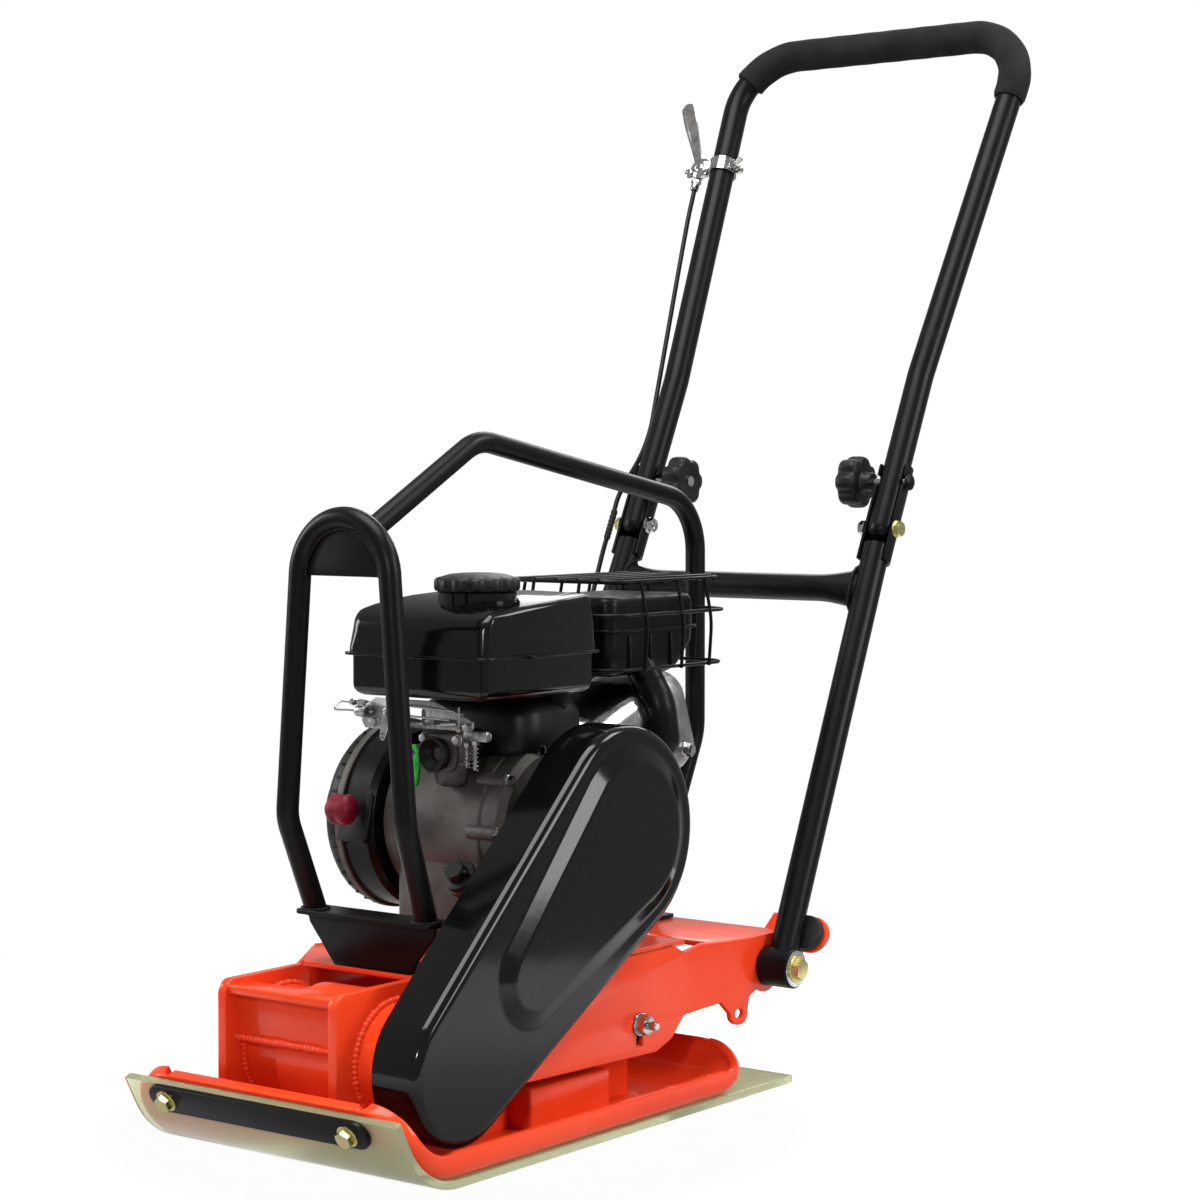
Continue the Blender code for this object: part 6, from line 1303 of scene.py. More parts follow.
def makeShaker():
    across = aim(exciter, (1, 0, 0))
    radius, bore, edge = shaker["radius"], shaker["radius"] - shaker["wall"], shaker["edge"]
    front, rear, top = shaker["front"], shaker["rear"], shaker["top"]
    corner, cut = shaker["corner"], shaker["cut"]
    low, high, collar = shaker["collar"]
    works = [ringOf(tube(bore, radius, shaker["left"], shaker["right"], edge), across, steps=72)]
    bend = plate["frontLip"][0]
    inside = bend - plate["sheet"] - clearance
    reach = math.degrees(math.asin(min(0.97, (frontFlat - front) / inside)))
    outline = [(rear, top - cut), (rear, floorTop + clearance),
               *arc((frontFlat, plate["under"] + bend), inside, -90, -90 - reach, 12),
               *arc((front + corner, top - corner), corner, 180, 90, 8), (rear - cut, top)]
    for _, side in sides:
        works.append(sheet([outline], shaker["ribSheet"], sideView(side * shaker["rib"]), edge))
    drop, thick, deep = shaker["tie"]
    half = shaker["rib"] - shaker["ribSheet"] / 2 + 0.001
    works.append(slab((-half, front + 0.003, top - drop - thick), (half, front + 0.003 + deep, top - drop),
                      edge))
    webY, webSheet = front + shaker["web"][0], shaker["web"][1]
    ahead = exciter.y - webY
    webLow = exciter.z + (math.sqrt(radius ** 2 - ahead ** 2) if abs(ahead) < radius else 0.012)
    works.append(slab((-half, webY, webLow), (half, webY + webSheet, top - drop - 0.002), edge=0.0008))
    works.append(ringOf(tube(bore, collar, low, high, 0.003), across, steps=72))
    addPiece("exciterWeldment", merged(*works), "orange_paint", "machine", "exciter_housing")
    lines = []
    foot = floorTop + 0.0012
    for side in (-1, 1):
        for face in (-1, 1):
            x = side * shaker["rib"] + face * (shaker["ribSheet"] / 2 + 0.0008)
            lines.append(circleLine(aim((x, exciter.y, exciter.z), (1, 0, 0)), radius + 0.0008, steps=90))
            lines.append([Vector((x, frontFlat, foot)), Vector((x, rear, foot))])
    lines.append([Vector((x, webY - 0.001, webLow + 0.001)) for x in (-half, half)])
    weldBead("exciterWelds", lines, "orange_paint", "machine", width=0.0066, pitch=0.0043, seed=5)
    makeLids(radius - 0.002)


def makeLids(rim):
    reach, start, rise = shaker["lidBolt"]
    turn = math.radians(start)
    count, pitch = shaker["lidBolts"], 360 / shaker["lidBolts"]
    for name, side in sides:
        place = aim(exciter + Vector((shaker[name] + side * clearance, 0, 0)), (side, 0, 0))
        bore = 0.0 if side < 0 else shaker["lidHole"]
        lid = [(bore, 0), (rim, 0), (rim, 0.0055), (rim - 0.0015, 0.007), (0.03, 0.007), (0.028, 0.0062),
               (bore, 0.0062)]
        disc = lathe(lid, place, steps=56) if side < 0 else ringOf(lid, place, steps=56)
        seat = place @ Vector((reach * math.cos(turn), reach * math.sin(turn), rise))
        bolt = hexHead(aim(seat, (side, 0, 0)), across=0.008, height=0.0014)
        repeated(f"exciterLidBolts_{name}", bolt, "yellow_zinc", "machine", count, pitch, centre=exciter)
        addPiece(f"exciterLid_{name}", disc, "orange_paint", "machine", f"exciter_cover_{name}")


makeShaker()
print("stage: exciter")

# engine deck with its arms and stops
deck = {"cut": (0.045, 0.058), "cutNose": (0.01, 0.118), "half": 0.122, "sheet": 0.005, "front": -0.106,
        "rear": 0.175, "low": 0.0543, "heel": 0.133, "armY": 0.249, "armTop": 0.142, "flare": 0.02,
        "neck": 0.086, "ear": (0.2365, 0.074, 0.0105, 0.0045), "armEnd": 0.0245, "mounts": (-0.061, 0.108),
        "mountZ": 0.083, "stud": 0.004, "cross": (0.2046, 0.3026),
        "stop": (0.107, 0.184, 0.022, 0.056, 0.014), "stopRubber": (0.146, 0.008), "bends": 12}


def flareShare(y):
    share = min(1.0, max(0.0, (y - deck["rear"]) / (deck["armY"] - deck["rear"])))
    return share * share * (3 - 2 * share) * 0.35 + share * 0.65


def deckSide(side):
    earY, earZ, earRadius, earHole = deck["ear"]
    front, rear, heel = deck["front"], deck["rear"], deck["heel"]
    low, neck, armY = deck["low"], deck["neck"], deck["armY"]
    stop = pivot + upHandle * 0.026 + backHandle * 0.0235
    high, toe = deckTop - 0.001, low + 0.006
    nose = [(front, high), (front, toe)]
    if side < 0:
        back, step = deck["cutNose"]
        nose = [(front + deck["cut"][1], high), (front + back, step), (front + back, toe)]
    outline = [*nose, (heel, low), (heel + 0.023, low + 0.008), (rear, neck - 0.006),
               (earY - earRadius - 0.01, neck), *arc((earY, earZ), earRadius, 175, 365, 16),
               (armY, neck + 0.002), *arc((pivot.y, pivot.z), deck["armEnd"], 235, 345, 16),
               (stop.y, stop.z), (stop.y + 0.005, deck["armTop"]), (rear + 0.02, deck["armTop"]),
               (rear, deckTop - 0.011), (rear - 0.02, high)]
    holes = [hole((earY, earZ), earHole, steps=24)]
    width = deck["stud"] + 0.0008
    for y in deck["mounts"]:
        holes.append([(y - width, low + 0.009), (y + width, low + 0.009),
                      *arc((y, deck["mountZ"]), width, 0, 180, 12)])
    work = sheet([outline, *holes], deck["sheet"], sideView(side * (deck["half"] - deck["sheet"] / 2)),
                 edge=0.001)
    for share in shares(deck["bends"]):
        bend = (0, rear + (armY - rear) * share, 0)
        everything = list(work.verts) + list(work.edges) + list(work.faces)
        bmesh.ops.bisect_plane(work, geom=everything, dist=1e-7, plane_co=bend, plane_no=(0, 1, 0))
    for vertex in work.verts:
        vertex.co.x += side * deck["flare"] * flareShare(vertex.co.y)
    return work


def makeDeck():
    half, thick, armTop = deck["half"], deck["sheet"], deck["armTop"]
    front, rear = deck["front"], deck["rear"]
    cutX, cutY = deck["cut"]
    plan = [(-half + cutX, front), (half, front), (half, rear), (-half, rear), (-half, front + cutY)]
    works = [sheet([plan], thick, level(deckTop - thick / 2), edge=0.0014)]
    start, end = deck["cross"]
    right = []
    for share in shares(8):
        y = start + (end - start) * share
        right.append((half - thick / 2 + deck["flare"] * flareShare(y), y))
    plan = right + [(-x, y) for x, y in reversed(right)]
    works.append(sheet([plan], thick, level(armTop - thick / 2), edge=0.001))
    inner, outer, low, high, slope = deck["stop"]
    rubberX, rubberSheet = deck["stopRubber"]
    middle, radius = (low + high) / 2, (high - low) / 2
    stop = [(inner, low), *arc((outer - radius, middle), radius, -90, 90, 14), (inner + slope, high)]
    rubber = [(rubberX, low + 0.001), *arc((outer - radius - 0.002, middle), radius - 0.001, -90, 90, 14),
              (rubberX, high - 0.001)]
    seam = (front + 0.064, rear - 0.024)
    lines = []
    for name, side in sides:
        works.append(deckSide(side))
        place = axes(pivot + backHandle * 0.0241, (1, 0, 0), upHandle)
        works.append(sheet([[(side * x, s) for x, s in stop]], thick, place, edge=0.001))
        place = axes(pivot + backHandle * 0.0173, (1, 0, 0), upHandle)
        block = sheet([[(side * x, s) for x, s in rubber]], rubberSheet, place, edge=0.0018)
        addPiece(f"stopRubber_{name}", block, "rubber", "machine", f"stop_pad_{name}")
        lines.append([Vector((side * (x - 0.003), y, armTop - thick - 0.001)) for x, y in right])
        lines.append([Vector((side * (half - 0.0006), y, deckTop - 0.0008)) for y in seam])
        edge = pivot + backHandle * 0.0218 + Vector((side * 0.1425, 0, 0))
        lines.append([edge + upHandle * s for s in (low + 0.006, high - 0.004)])
    addPiece("engineDeck", merged(*works), "orange_paint", "machine", "engine_deck")
    weldBead("deckWelds", lines, "orange_paint", "machine", width=0.0046, pitch=0.0023, seed=11)


mount = {"low": 0.0883, "high": 0.1167, "radius": 0.018, "waist": 0.0026, "inSeat": 0.0817,
         "inNut": (0.013, 0.006, 0.004, 0.002), "outNut": (0.016, 0.008, 0.004, 0.009, 0.0105)}


def makeMounts():
    low, high, radius = mount["low"], mount["high"], mount["radius"]
    run = high - low - 0.004
    barrel = [(0, low), (radius - 0.0008, low), (radius, low + 0.0012)]
    barrel += [(radius - mount["waist"] * math.sin(math.pi * s), low + 0.002 + run * s) for s in shares(10)]
    barrel += [(radius, high - 0.0012), (radius - 0.0008, high), (0, high)]
    for name, side in sides:
        way = Vector((side, 0, 0))
        for spot, y in zip(("front", "rear"), deck["mounts"]):
            origin = Vector((0, y, deck["mountZ"]))
            rubber = lathe(barrel, aim(origin, way), steps=40)
            addPiece(f"mountRubber_{spot}_{name}", rubber, "rubber", "machine",
                     f"rubber_mount_{spot}_{name}")
            outside = nutOn(origin + way * (deck["half"] + clearance), way, *mount["outNut"])
            inside = nutOn(origin + way * mount["inSeat"], -way, *mount["inNut"])
            addPiece(f"mountNuts_{spot}_{name}", merged(outside, inside), "bright_steel", "machine")


makeDeck()
makeMounts()
print("stage: deck")

# engine block
motor = {"left": -0.081, "right": 0.055, "radius": 0.07, "slope": math.radians(20), "barrel": 0.04,
         "fin": 0.052, "finCorner": 0.018, "shroudCorner": 0.032, "shroudRoom": 0.007, "finSheet": 0.0024,
         "fins": 8, "first": 0.0812, "headStart": 0.148, "end": 0.178, "cover": 0.0505, "coverCorner": 0.02,
         "fan": 0.083, "fanEdge": 0.118, "fanNear": 0.0813, "fanVents": (6, 112, 6.5),
         "recoil": (0.163, 0.058, 0.143), "recoilBoss": (0.041, 0.011), "recoilSlots": 24, "recoilRibs": 40,
         "flangeBolt": 20, "flangeBolts": (7, 40), "flangeHead": (0.0085, 0.0045, 0.0055, 0.001),
         "footHead": (0.013, 0.0055, 0.0085, 0.0016), "rockerHead": (0.009, 0.0055, 0.0058, 0.0012),
         "sideHead": (0.011, 0.006, 0.0075, 0.0014)}


def onCylinder(reach):
    out = Vector((0, math.cos(motor["slope"]), math.sin(motor["slope"])))
    over = Vector((0, -math.sin(motor["slope"]), math.cos(motor["slope"])))
    return axes(crank + out * reach, (1, 0, 0), over)


def onFlange(x, turn):
    reach = motor["radius"] - 0.002
    return Vector((x, crank.y + reach * math.cos(turn), crank.z + reach * math.sin(turn)))


def makeCrankcase():
    left, right, radius = motor["left"], motor["right"], motor["radius"]
    body = [(0, left), (radius - 0.004, left), (radius, left + 0.004), (radius, right - 0.026),
            (radius - 0.0015, right - 0.0245), (radius - 0.0015, right - 0.0225), (radius, right - 0.021),
            (radius, right - 0.006), (radius - 0.006, right), (0, right)]
    works = [lathe(body, aim(crank, (1, 0, 0)), steps=72)]
    low = deckTop + clearance
    foot, y = low + 0.012, crank.y
    works.append(slab((left + 0.004, y - 0.08, low), (right - 0.004, y + 0.08, foot), edge=0.002))
    works.append(slab((left + 0.01, y - 0.063, low), (right - 0.01, y + 0.063, crank.z), edge=0.01,
                      segments=4))
    posts = []
    post = [(0, 0), (0.01, 0), (0.0085, 0.095), (0.01, 0.1), (0.01, 0.1152), (0, 0.1152)]
    for x in (left + 0.028, right - 0.012):
        posts.append(lathe(post, Matrix.Translation((x, y + 0.022, crank.z + 0.0005)), steps=24))
    addPiece("tankPosts", merged(*posts), "black_coat", "machine")
    way = Vector((0, -0.8, 0.6))
    seat = Vector((right - 0.03, y - 0.0434, deckTop + 0.038))
    spout = [(0, 0), (0.0185, 0), (0.016, 0.012), (0.0145, 0.044), (0.016, 0.046), (0.016, 0.052),
             (0, 0.052)]
    works.append(lathe(spout, aim(seat, way), steps=32))
    first = math.radians(motor["flangeBolt"])
    count, pitch = motor["flangeBolts"]
    boss = [(0, -0.012), (0.0065, -0.012), (0.0065, 0.0175), (0.0055, 0.0185), (0, 0.0185)]
    for i in range(count):
        spot = onFlange(right - 0.0235, first + math.radians(pitch * i))
        works.append(lathe(boss, aim(spot, (1, 0, 0)), steps=20))
    addPiece("crankcaseCasting", merged(*works), "cast_alloy", "machine", "crankcase")
    bolt = boltHead(onFlange(right - 0.005, first), (1, 0, 0), *motor["flangeHead"])
    repeated("coverBolts", bolt, "bright_steel", "machine", count, pitch, centre=crank)
    heads = []
    for x in (left + 0.012, right - 0.014):
        for ahead in (-0.072, 0.072):
            heads.append(boltHead((x, y + ahead, foot), (0, 0, 1), *motor["footHead"]))
    addPiece("crankcaseBolts", merged(*heads), "bright_steel", "machine")
    place = aim(seat + way * 0.0523, way)
    cap = [(0, 0), (0.0142, 0), (0.015, 0.001), (0.015, 0.004), (0.0142, 0.005), (0.0095, 0.0055),
           (0.009, 0.007), (0.009, 0.0128), (0.008, 0.014), (0, 0.014)]
    wing = slab((-0.0135, -0.0016, 0.004), (0.0135, 0.0016, 0.0125), edge=0.0012)
    wing.transform(place)
    addPiece("dipstickKnob", merged(lathe(cap, place, steps=40), wing), "black_plastic", "dipstick",
             "oil_dipstick")


def cylinderRing(loop, reach):
    place = onCylinder(reach)
    return [place @ Vector((x, y, 0)) for x, y in loop]


def makeCylinder():
    fin, corner, headStart, first = motor["fin"], motor["finCorner"], motor["headStart"], motor["first"]

    def block(half, low, high, edge=0.0006):
        loop = roundRect((-half, -half), (half, half), corner * half / fin)
        return sheet([loop], high - low, onCylinder((low + high) / 2), edge)

    clear = rod(motor["radius"] - 0.002, -0.2, 0.2, aim(crank, (1, 0, 0)), steps=48)
    head = [block(fin - 0.001, headStart, headStart + 0.012, 0.0015)]
    for i in range(3):
        low = headStart + 0.0145 + 0.0055 * i
        head.append(block(fin - 0.001, low, low + 0.0028))
    barrel = merged(block(motor["barrel"], 0.056, motor["end"] - 0.001), *head)
    addPiece("cylinderBarrel", carved(barrel, clear), "cast_alloy", "machine", "cylinder")
    out = onCylinder(1.0).translation - crank
    step = out * ((headStart - first) / motor["fins"])
    blade = block(fin - 0.0005, first, first + motor["finSheet"])
    repeated("cylinderFins", blade, "cast_alloy", "machine", motor["fins"], step=step)
    makeRocker(out)
    makeShroud()


def makeRocker(out):
    half, start = motor["cover"], motor["end"] + clearance
    base = roundRect((-half, -half), (half, half), motor["coverCorner"])
    flange = sheet([base], 0.006, onCylinder(start + 0.003), edge=0.001)
    rings = []
    dome = ((0.003, 0.0055), (0.002, 0.04), (0.005, 0.056), (0.012, 0.065), (0.02, 0.0705), (0.03, 0.073))
    for inset, reach in dome:
        size = half - inset
        loop = roundRect((-size, -size), (size, size), max(0.006, 0.024 - inset * 0.5))
        rings.append(cylinderRing(loop, start + reach))
    addPiece("rockerCover", merged(flange, skin(rings)), "plain_steel", "machine", "rocker_cover", angle=50)
    heads = []
    reach = half - 0.006
    for x in (-reach, reach):
        for y in (-reach, reach):
            seat = onCylinder(start + 0.006) @ Vector((x, y, 0))
            heads.append(boltHead(seat, out, *motor["rockerHead"]))
    seat = onCylinder(start + 0.038) @ Vector((half - 0.0025, -0.026, 0))
    heads.append(boltHead(seat, (1, 0, 0), *motor["sideHead"]))
    addPiece("rockerBolts", merged(*heads), "bright_steel", "machine")


def makeShroud():
    size, wall, corner = motor["fin"] + motor["shroudRoom"], 0.002, motor["shroudCorner"]
    low, high = motor["first"] - 0.006, motor["end"] - 0.003
    spot, hem = size - corner, -0.03
    stations = ((low, 0.0), (low + 0.0015, wall), (low + 0.02, wall + 0.0012), (high - 0.012, wall),
                (high - 0.003, wall - 0.001), (high, wall - 0.003))
    rings = []
    for reach, grow in stations:
        top = arc((spot, spot), corner + grow, -8, 90, 20) + arc((-spot, spot), corner + grow, 90, 188, 20)
        rings.append(cylinderRing([(size + grow, hem), *top, (-size - grow, hem)], reach))
    shell = looseObject(skin(rings, False, False, False))
    thick = shell.modifiers.new("sheet", "SOLIDIFY")
    thick.thickness = 0.0014
    thick.offset = 1 if shell.data.polygons[len(shell.data.polygons) // 2].normal.z < 0 else -1
    addPiece("airShroud", settled(shell), "bright_steel", "machine", "cylinder_shroud", angle=50)


def makeFan():
    place = aim(crank, (-1, 0, 0))
    radius, edge, near = motor["fan"], motor["fanEdge"], motor["fanNear"]
    face, faceRadius, shoulder = motor["recoil"]
    drum = [(radius - 0.003, edge), (radius, edge), (radius, near + 0.006), (radius - 0.004, near),
            (0.018, near), (0.018, near + 0.003), (radius - 0.006, near + 0.003),
            (radius - 0.003, near + 0.008)]
    vents = []
    low, high = (radius - 0.006, -0.0016, near + 0.01), (radius + 0.004, 0.0016, edge - 0.004)
    count, first, pitch = motor["fanVents"]
    for i in range(count):
        vent = slab(low, high, edge=0.0006, segments=1)
        vent.transform(place @ Matrix.Rotation(math.radians(first + i * pitch), 4, "Z"))
        vents.append(vent)
    addPiece("fanDrum", carved(ringOf(drum, place, steps=96), *vents), "black_coat", "machine",
             "fan_housing")
    band = tube(radius - 0.001, radius + 0.003, edge - 0.0035, edge + 0.0035, 0.0008, 0.001)
    addPiece("recoilBand", ringOf(band, place, steps=96), "cast_alloy", "machine")
    boss, far = motor["recoilBoss"][0], face + motor["recoilBoss"][1]
    shell = [(0, far), (0.016, far), (0.018, far + 0.0016), (boss - 0.003, far + 0.0016),
             (boss - 0.001, far)]
    for i in range(6):
        low = far - 0.0018 - 0.0045 * i
        shell += [(boss, low), (boss + 0.0008 * i, low - 0.0024), (boss - 0.0012, low - 0.0028),
                  (boss - 0.0012, low - 0.004)]
    shell += [(faceRadius - 0.004, shoulder + 0.004), (faceRadius + 0.008, shoulder + 0.003),
              (radius - 0.006, shoulder - 0.004), (radius - 0.001, shoulder - 0.01),
              (radius, shoulder - 0.014), (radius, edge + 0.0038), (radius - 0.003, edge + 0.0038),
              (radius - 0.003, shoulder - 0.014), (faceRadius, shoulder - 0.003), (0.01, shoulder - 0.003),
              (0, shoulder - 0.003)]
    slots = []
    count = motor["recoilSlots"]
    for i in range(count):
        slot = slab((0.047, -0.0024, shoulder - 0.008), (radius - 0.007, 0.0024, face), edge=0.0006,
                    segments=1)
        slot.transform(place @ Matrix.Rotation(2 * math.pi * (i + 0.5) / count, 4, "Z"))
        slots.append(slot)
    cover = carved(lathe(shell, place, steps=96), *slots)
    addPiece("recoilCover", cover, "black_plastic", "machine", "recoil_cover")
    low, high = (radius - 0.0015, -0.0012, edge + 0.004), (radius + 0.002, 0.0012, shoulder - 0.014)
    rib = slab(low, high, edge=0.0005, segments=1)
    rib.transform(place)
    count = motor["recoilRibs"]
    repeated("recoilRibs", rib, "black_plastic", "machine", count, 360 / count, centre=crank)


pull = {"way": Vector((0, -0.97, 0.243)).normalized(), "x": -0.1, "rise": 0.009, "gap": 0.006,
        "radius": 0.0152, "rope": 0.002, "tuck": 0.003}


def makeStarter():
    flat = motor["fan"] + 0.0002
    way, radius, tuck = pull["way"], pull["radius"], pull["way"] * pull["tuck"]
    leave = crank + Vector((pull["x"], -math.sqrt(flat ** 2 - pull["rise"] ** 2), pull["rise"]))
    seat = leave + way * pull["gap"]
    up = Vector((0, way.z, -way.y))
    place = axes(seat + way * radius * 0.75, (1, 0, 0), up)
    turns = turnsOf(32)
    rings = []
    for high in [2 * share - 1 for share in shares(24)]:
        side = math.sqrt(max(0.0, 1 - abs(high) ** 3.2))
        wide = radius * (0.98 - 0.16 * math.cos(math.pi * high) ** 2) * (0.28 + 0.72 * side) * 0.96
        deep = radius * 0.72 * (0.25 + 0.75 * side) * (1 + 0.04 * math.cos(9 * math.pi * high))
        x = radius * high
        rings.append([place @ Vector((x, wide * math.cos(t), deep * math.sin(t))) for t in turns])
    addPiece("pullGrip", skin(rings), "dark_red", "starter", "starter_grip", angle=60)
    ends = [leave - tuck, seat + tuck]
    line = sweep(evenly(ends, step=0.001), pull["rope"], sides=16)
    rope = addPiece("pullRope", line, "black_plastic", None, "starter_rope")
    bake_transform(rope)
    guide = [(-0.017, -0.026), (0.015, -0.026), (0.018, -0.022), (0.018, 0.016), (0.013, 0.021),
             (-0.012, 0.021), (-0.017, 0.016)]
    block = sheet([guide, hole((0, 0), pull["rope"] + 0.002)], 0.008,
                  axes(leave - way * 0.004, (1, 0, 0), up), edge=0.0016)
    addPiece("ropeGuide", block, "black_plastic", "machine")


makeCrankcase()
makeCylinder()
makeFan()
makeStarter()
print("stage: engine block")

# carburettor, air duct and controls under the tank
control = {"y": -0.0173, "sheet": 0.002, "left": -0.088, "right": 0.039, "low": 0.34, "high": 0.367,
           "carb": Vector((-0.003, 0.002, 0.326)), "half": 0.0175, "hornZ": 0.3215, "horn": 0.0155,
           "choke": Vector((-0.0275, -0.0183, 0.3215)), "arm": Vector((-0.0557, -0.0206, 0.3535)),
           "armLength": 0.024, "duct": (Vector((-0.076, 0.034, 0.312)), Vector((0.0545, 0.124, 0.3665))),
           "smallBolt": (0.0068, 0.0034, 0.0048, 0.0008), "plateBolt": (0.0068, 0.0036, 0.0048, 0.0008),
           "clipBolt": (0.006, 0.0034, 0.0042, 0.0006)}
forward = Vector((0, -1, 0))


def coil(start, end, radius, wire, turns):
    place = aim(start, end - start)
    length = (end - start).length
    count = turns * 12
    line = []
    for i in range(count + 1):
        turn = 2 * math.pi * i / 12
        line.append(place @ Vector((radius * math.cos(turn), radius * math.sin(turn), length * i / count)))
    return sweep(line, wire, sides=6)


def makeCarburettor():
    centre, half, hornZ = control["carb"], control["half"], control["hornZ"]
    corner = Vector((half * 0.86, half * 0.9, half * 0.8))
    works = [slab(centre - corner, centre + corner, edge=0.004, segments=3)]
    front = centre.y - half
    flange = roundRect((centre.x - 0.02, hornZ - 0.015), (centre.x + 0.02, hornZ + 0.015), 0.01)
    works.append(sheet([flange], 0.004, frontView(front + 0.003)))
    bowl = [(0, -0.034), (0.008, -0.0335), (0.0125, -0.031), (0.014, -0.028), (0.014, -0.016),
            (0.0158, -0.0155), (0.0158, -0.012), (0, -0.012)]
    works.append(lathe(bowl, Matrix.Translation(centre), steps=32))
    pin, face = control["choke"], front + 0.0016
    works.append(slab((pin.x - 0.006, face, pin.z - 0.006), (centre.x - 0.012, front + 0.01, pin.z + 0.006),
                      edge=0.0012))
    peg = [(0, -0.001), (0.0022, -0.001), (0.0022, 0.0052), (0, 0.0058)]
    works.append(lathe(peg, aim((pin.x, face, pin.z), forward), steps=16))
    addPiece("carburettorBody", merged(*works), "cast_alloy", "machine", "carburettor")
    radius = control["horn"]
    horn = [(radius - 0.003, 0), (radius - 0.001, 0), (radius - 0.001, 0.004), (radius, 0.0055),
            (radius, 0.0072), (radius - 0.001, 0.0085), (radius - 0.0022, 0.0085), (radius - 0.0035, 0.006),
            (0.006, 0.001), (0.006, 0)]
    mouth = aim((centre.x, front - 0.0002, hornZ), forward)
    addPiece("carburettorHorn", ringOf(horn, mouth, steps=48), "black_plastic", "machine")
    bits = []
    for x, low, high in ((0.0235, 0.311, 0.329), (0.0325, 0.309, 0.331)):
        foot, top = Vector((x, -0.008, low)), Vector((x, -0.008, high))
        bits.append(rod(0.0016, 0, high - low, Matrix.Translation(foot), steps=14))
        bits.append(coil(foot, top, 0.0027, 0.0006, 6))
        bits.append(hexHead(aim(top, (0, 0, 1)), across=0.0072, height=0.0032))
    for spot in ((0.043, -0.004, 0.338), (0.0185, -0.014, 0.3345), (-0.02, -0.0125, 0.3345)):
        bits.append(boltHead(spot, forward, *control["smallBolt"]))
    bits.append(slab((0.0195, -0.009, 0.3335), (0.046, -0.004, 0.3425), edge=0.0012))
    addPiece("carburettorScrews", merged(*bits), "plain_steel", "machine")


def makeDuct():
    low, high = control["duct"]
    stations = ((0.008, 0.0), (0.002, 0.1), (0.0, 0.22), (0.0, 0.72), (0.003, 0.86), (0.01, 0.96),
                (0.02, 1.0))
    rings = []
    for inset, share in stations:
        loop = roundRect((low.x + inset, low.y + inset), (high.x - inset, high.y - inset), 0.022)
        rings.append(levelRing(loop, low.z + (high.z - low.z) * share))
    inlet = aim(control["carb"] + Vector((0, control["half"] - 0.002, 0)), (0, 1, 0))
    stub = rod(0.015, -0.004, 0.02, inlet, steps=32)
    addPiece("airDuct", merged(skin(rings), stub), "black_plastic", "machine", angle=50)


def makeControlPlate():
    left, right, y = control["left"], control["right"], control["y"]
    low, high = control["low"], control["high"]
    outline = [(left, low + 0.006), (left + 0.004, low), (-0.034, low), (-0.03, low + 0.003),
               (right - 0.003, low + 0.003), (right, low + 0.006), (right, low + 0.011),
               (right - 0.006, low + 0.014), (-0.004, high), (left + 0.016, high), (left, high - 0.009)]
    windows = [roundRect((-0.046, low + 0.007), (-0.014, high - 0.006), 0.005),
               roundRect((-0.006, low + 0.007), (0.022, low + 0.0115), 0.002)]
    works = [sheet([outline, *windows], control["sheet"], frontView(y), edge=0.0005)]
    post = Vector((control["arm"].x, y - 0.001, control["arm"].z))
    works.append(lathe([(0, 0), (0.0022, 0), (0.0022, 0.0062), (0, 0.0068)], aim(post, forward), steps=16))
    clip = cable["clip"]
    works.append(ringOf(tube(0.003, 0.005, -0.0058, 0.0058, 0.0004, 0.0008), aim(clip, (1, 0, 0)), steps=24))
    works.append(slab(clip + Vector((-0.005, 0.002, -0.0055)), (clip.x + 0.005, y, clip.z + 0.0055),
                      edge=0.0006))
    works.append(boltHead(clip + Vector((0, 0, 0.0048)), (0, 0, 1), *control["clipBolt"]))
    addPiece("controlPlate", merged(*works), "plain_steel", "machine", "control_plate")


def makeControlRods():
    y = control["y"]
    front = y - 0.0042
    nearer = front - 0.001
    link = [(-0.05, front, 0.3605), (-0.046, front, 0.3625), (0.02, front, 0.36), (0.0245, front, 0.357)]
    pushRod = [(-0.036, nearer, 0.3515), (-0.031, nearer, 0.3535), (0.016, nearer, 0.352)]
    stem = [(0.026, front, 0.344), (0.026, front, 0.3635)]
    stopScrew = [(0.006, front, 0.3475), (0.024, front, 0.349)]
    rods = ((link, 0.001), (pushRod, 0.0009), (stem, 0.0009), (stopScrew, 0.0019))
    works = [sweep(line, radius, sides=10) for line, radius in rods]
    works.append(coil(Vector((-0.046, front, 0.3455)), Vector((-0.012, front, 0.347)), 0.0025, 0.0005, 16))
    swivel = [(0, -0.0045), (0.0024, -0.0045), (0.0024, 0.001), (0.0018, 0.0016), (0, 0.0016)]
    for x, z in ((-0.05, 0.3605), (0.0245, 0.357), (0.026, 0.344), (-0.036, 0.3515)):
        works.append(lathe(swivel, aim((x, front, z), forward), steps=16))
    for x, z in ((-0.072, 0.346), (0.034, 0.346)):
        works.append(boltHead((x, y - 0.001, z), forward, *control["plateBolt"]))
    addPiece("controlRods", merged(*works), "plain_steel", "machine")


def makeThrottleArm():
    way = Vector((-0.25, 0, -1)).normalized()
    length = control["armLength"]
    outline = arc((0, 0), 0.0055, 180, 360, 12) + arc((0, length - 0.0035), 0.0035, 0, 180, 12)
    holes = [hole((0, 0), 0.0024), hole((0, length - 0.004), 0.0013)]
    blade = sheet([outline, *holes], 0.003, axes(control["arm"], way.cross(forward), way), edge=0.0006)
    swivel = lathe([(0, -0.002), (0.0022, -0.002), (0.0022, 0.003), (0.0016, 0.0036), (0, 0.0036)],
                   aim(control["arm"] + way * (length - 0.004), forward), steps=16)
    addPiece("throttleArm", merged(blade, swivel), "bright_steel", "throttle_arm", "throttle_arm")


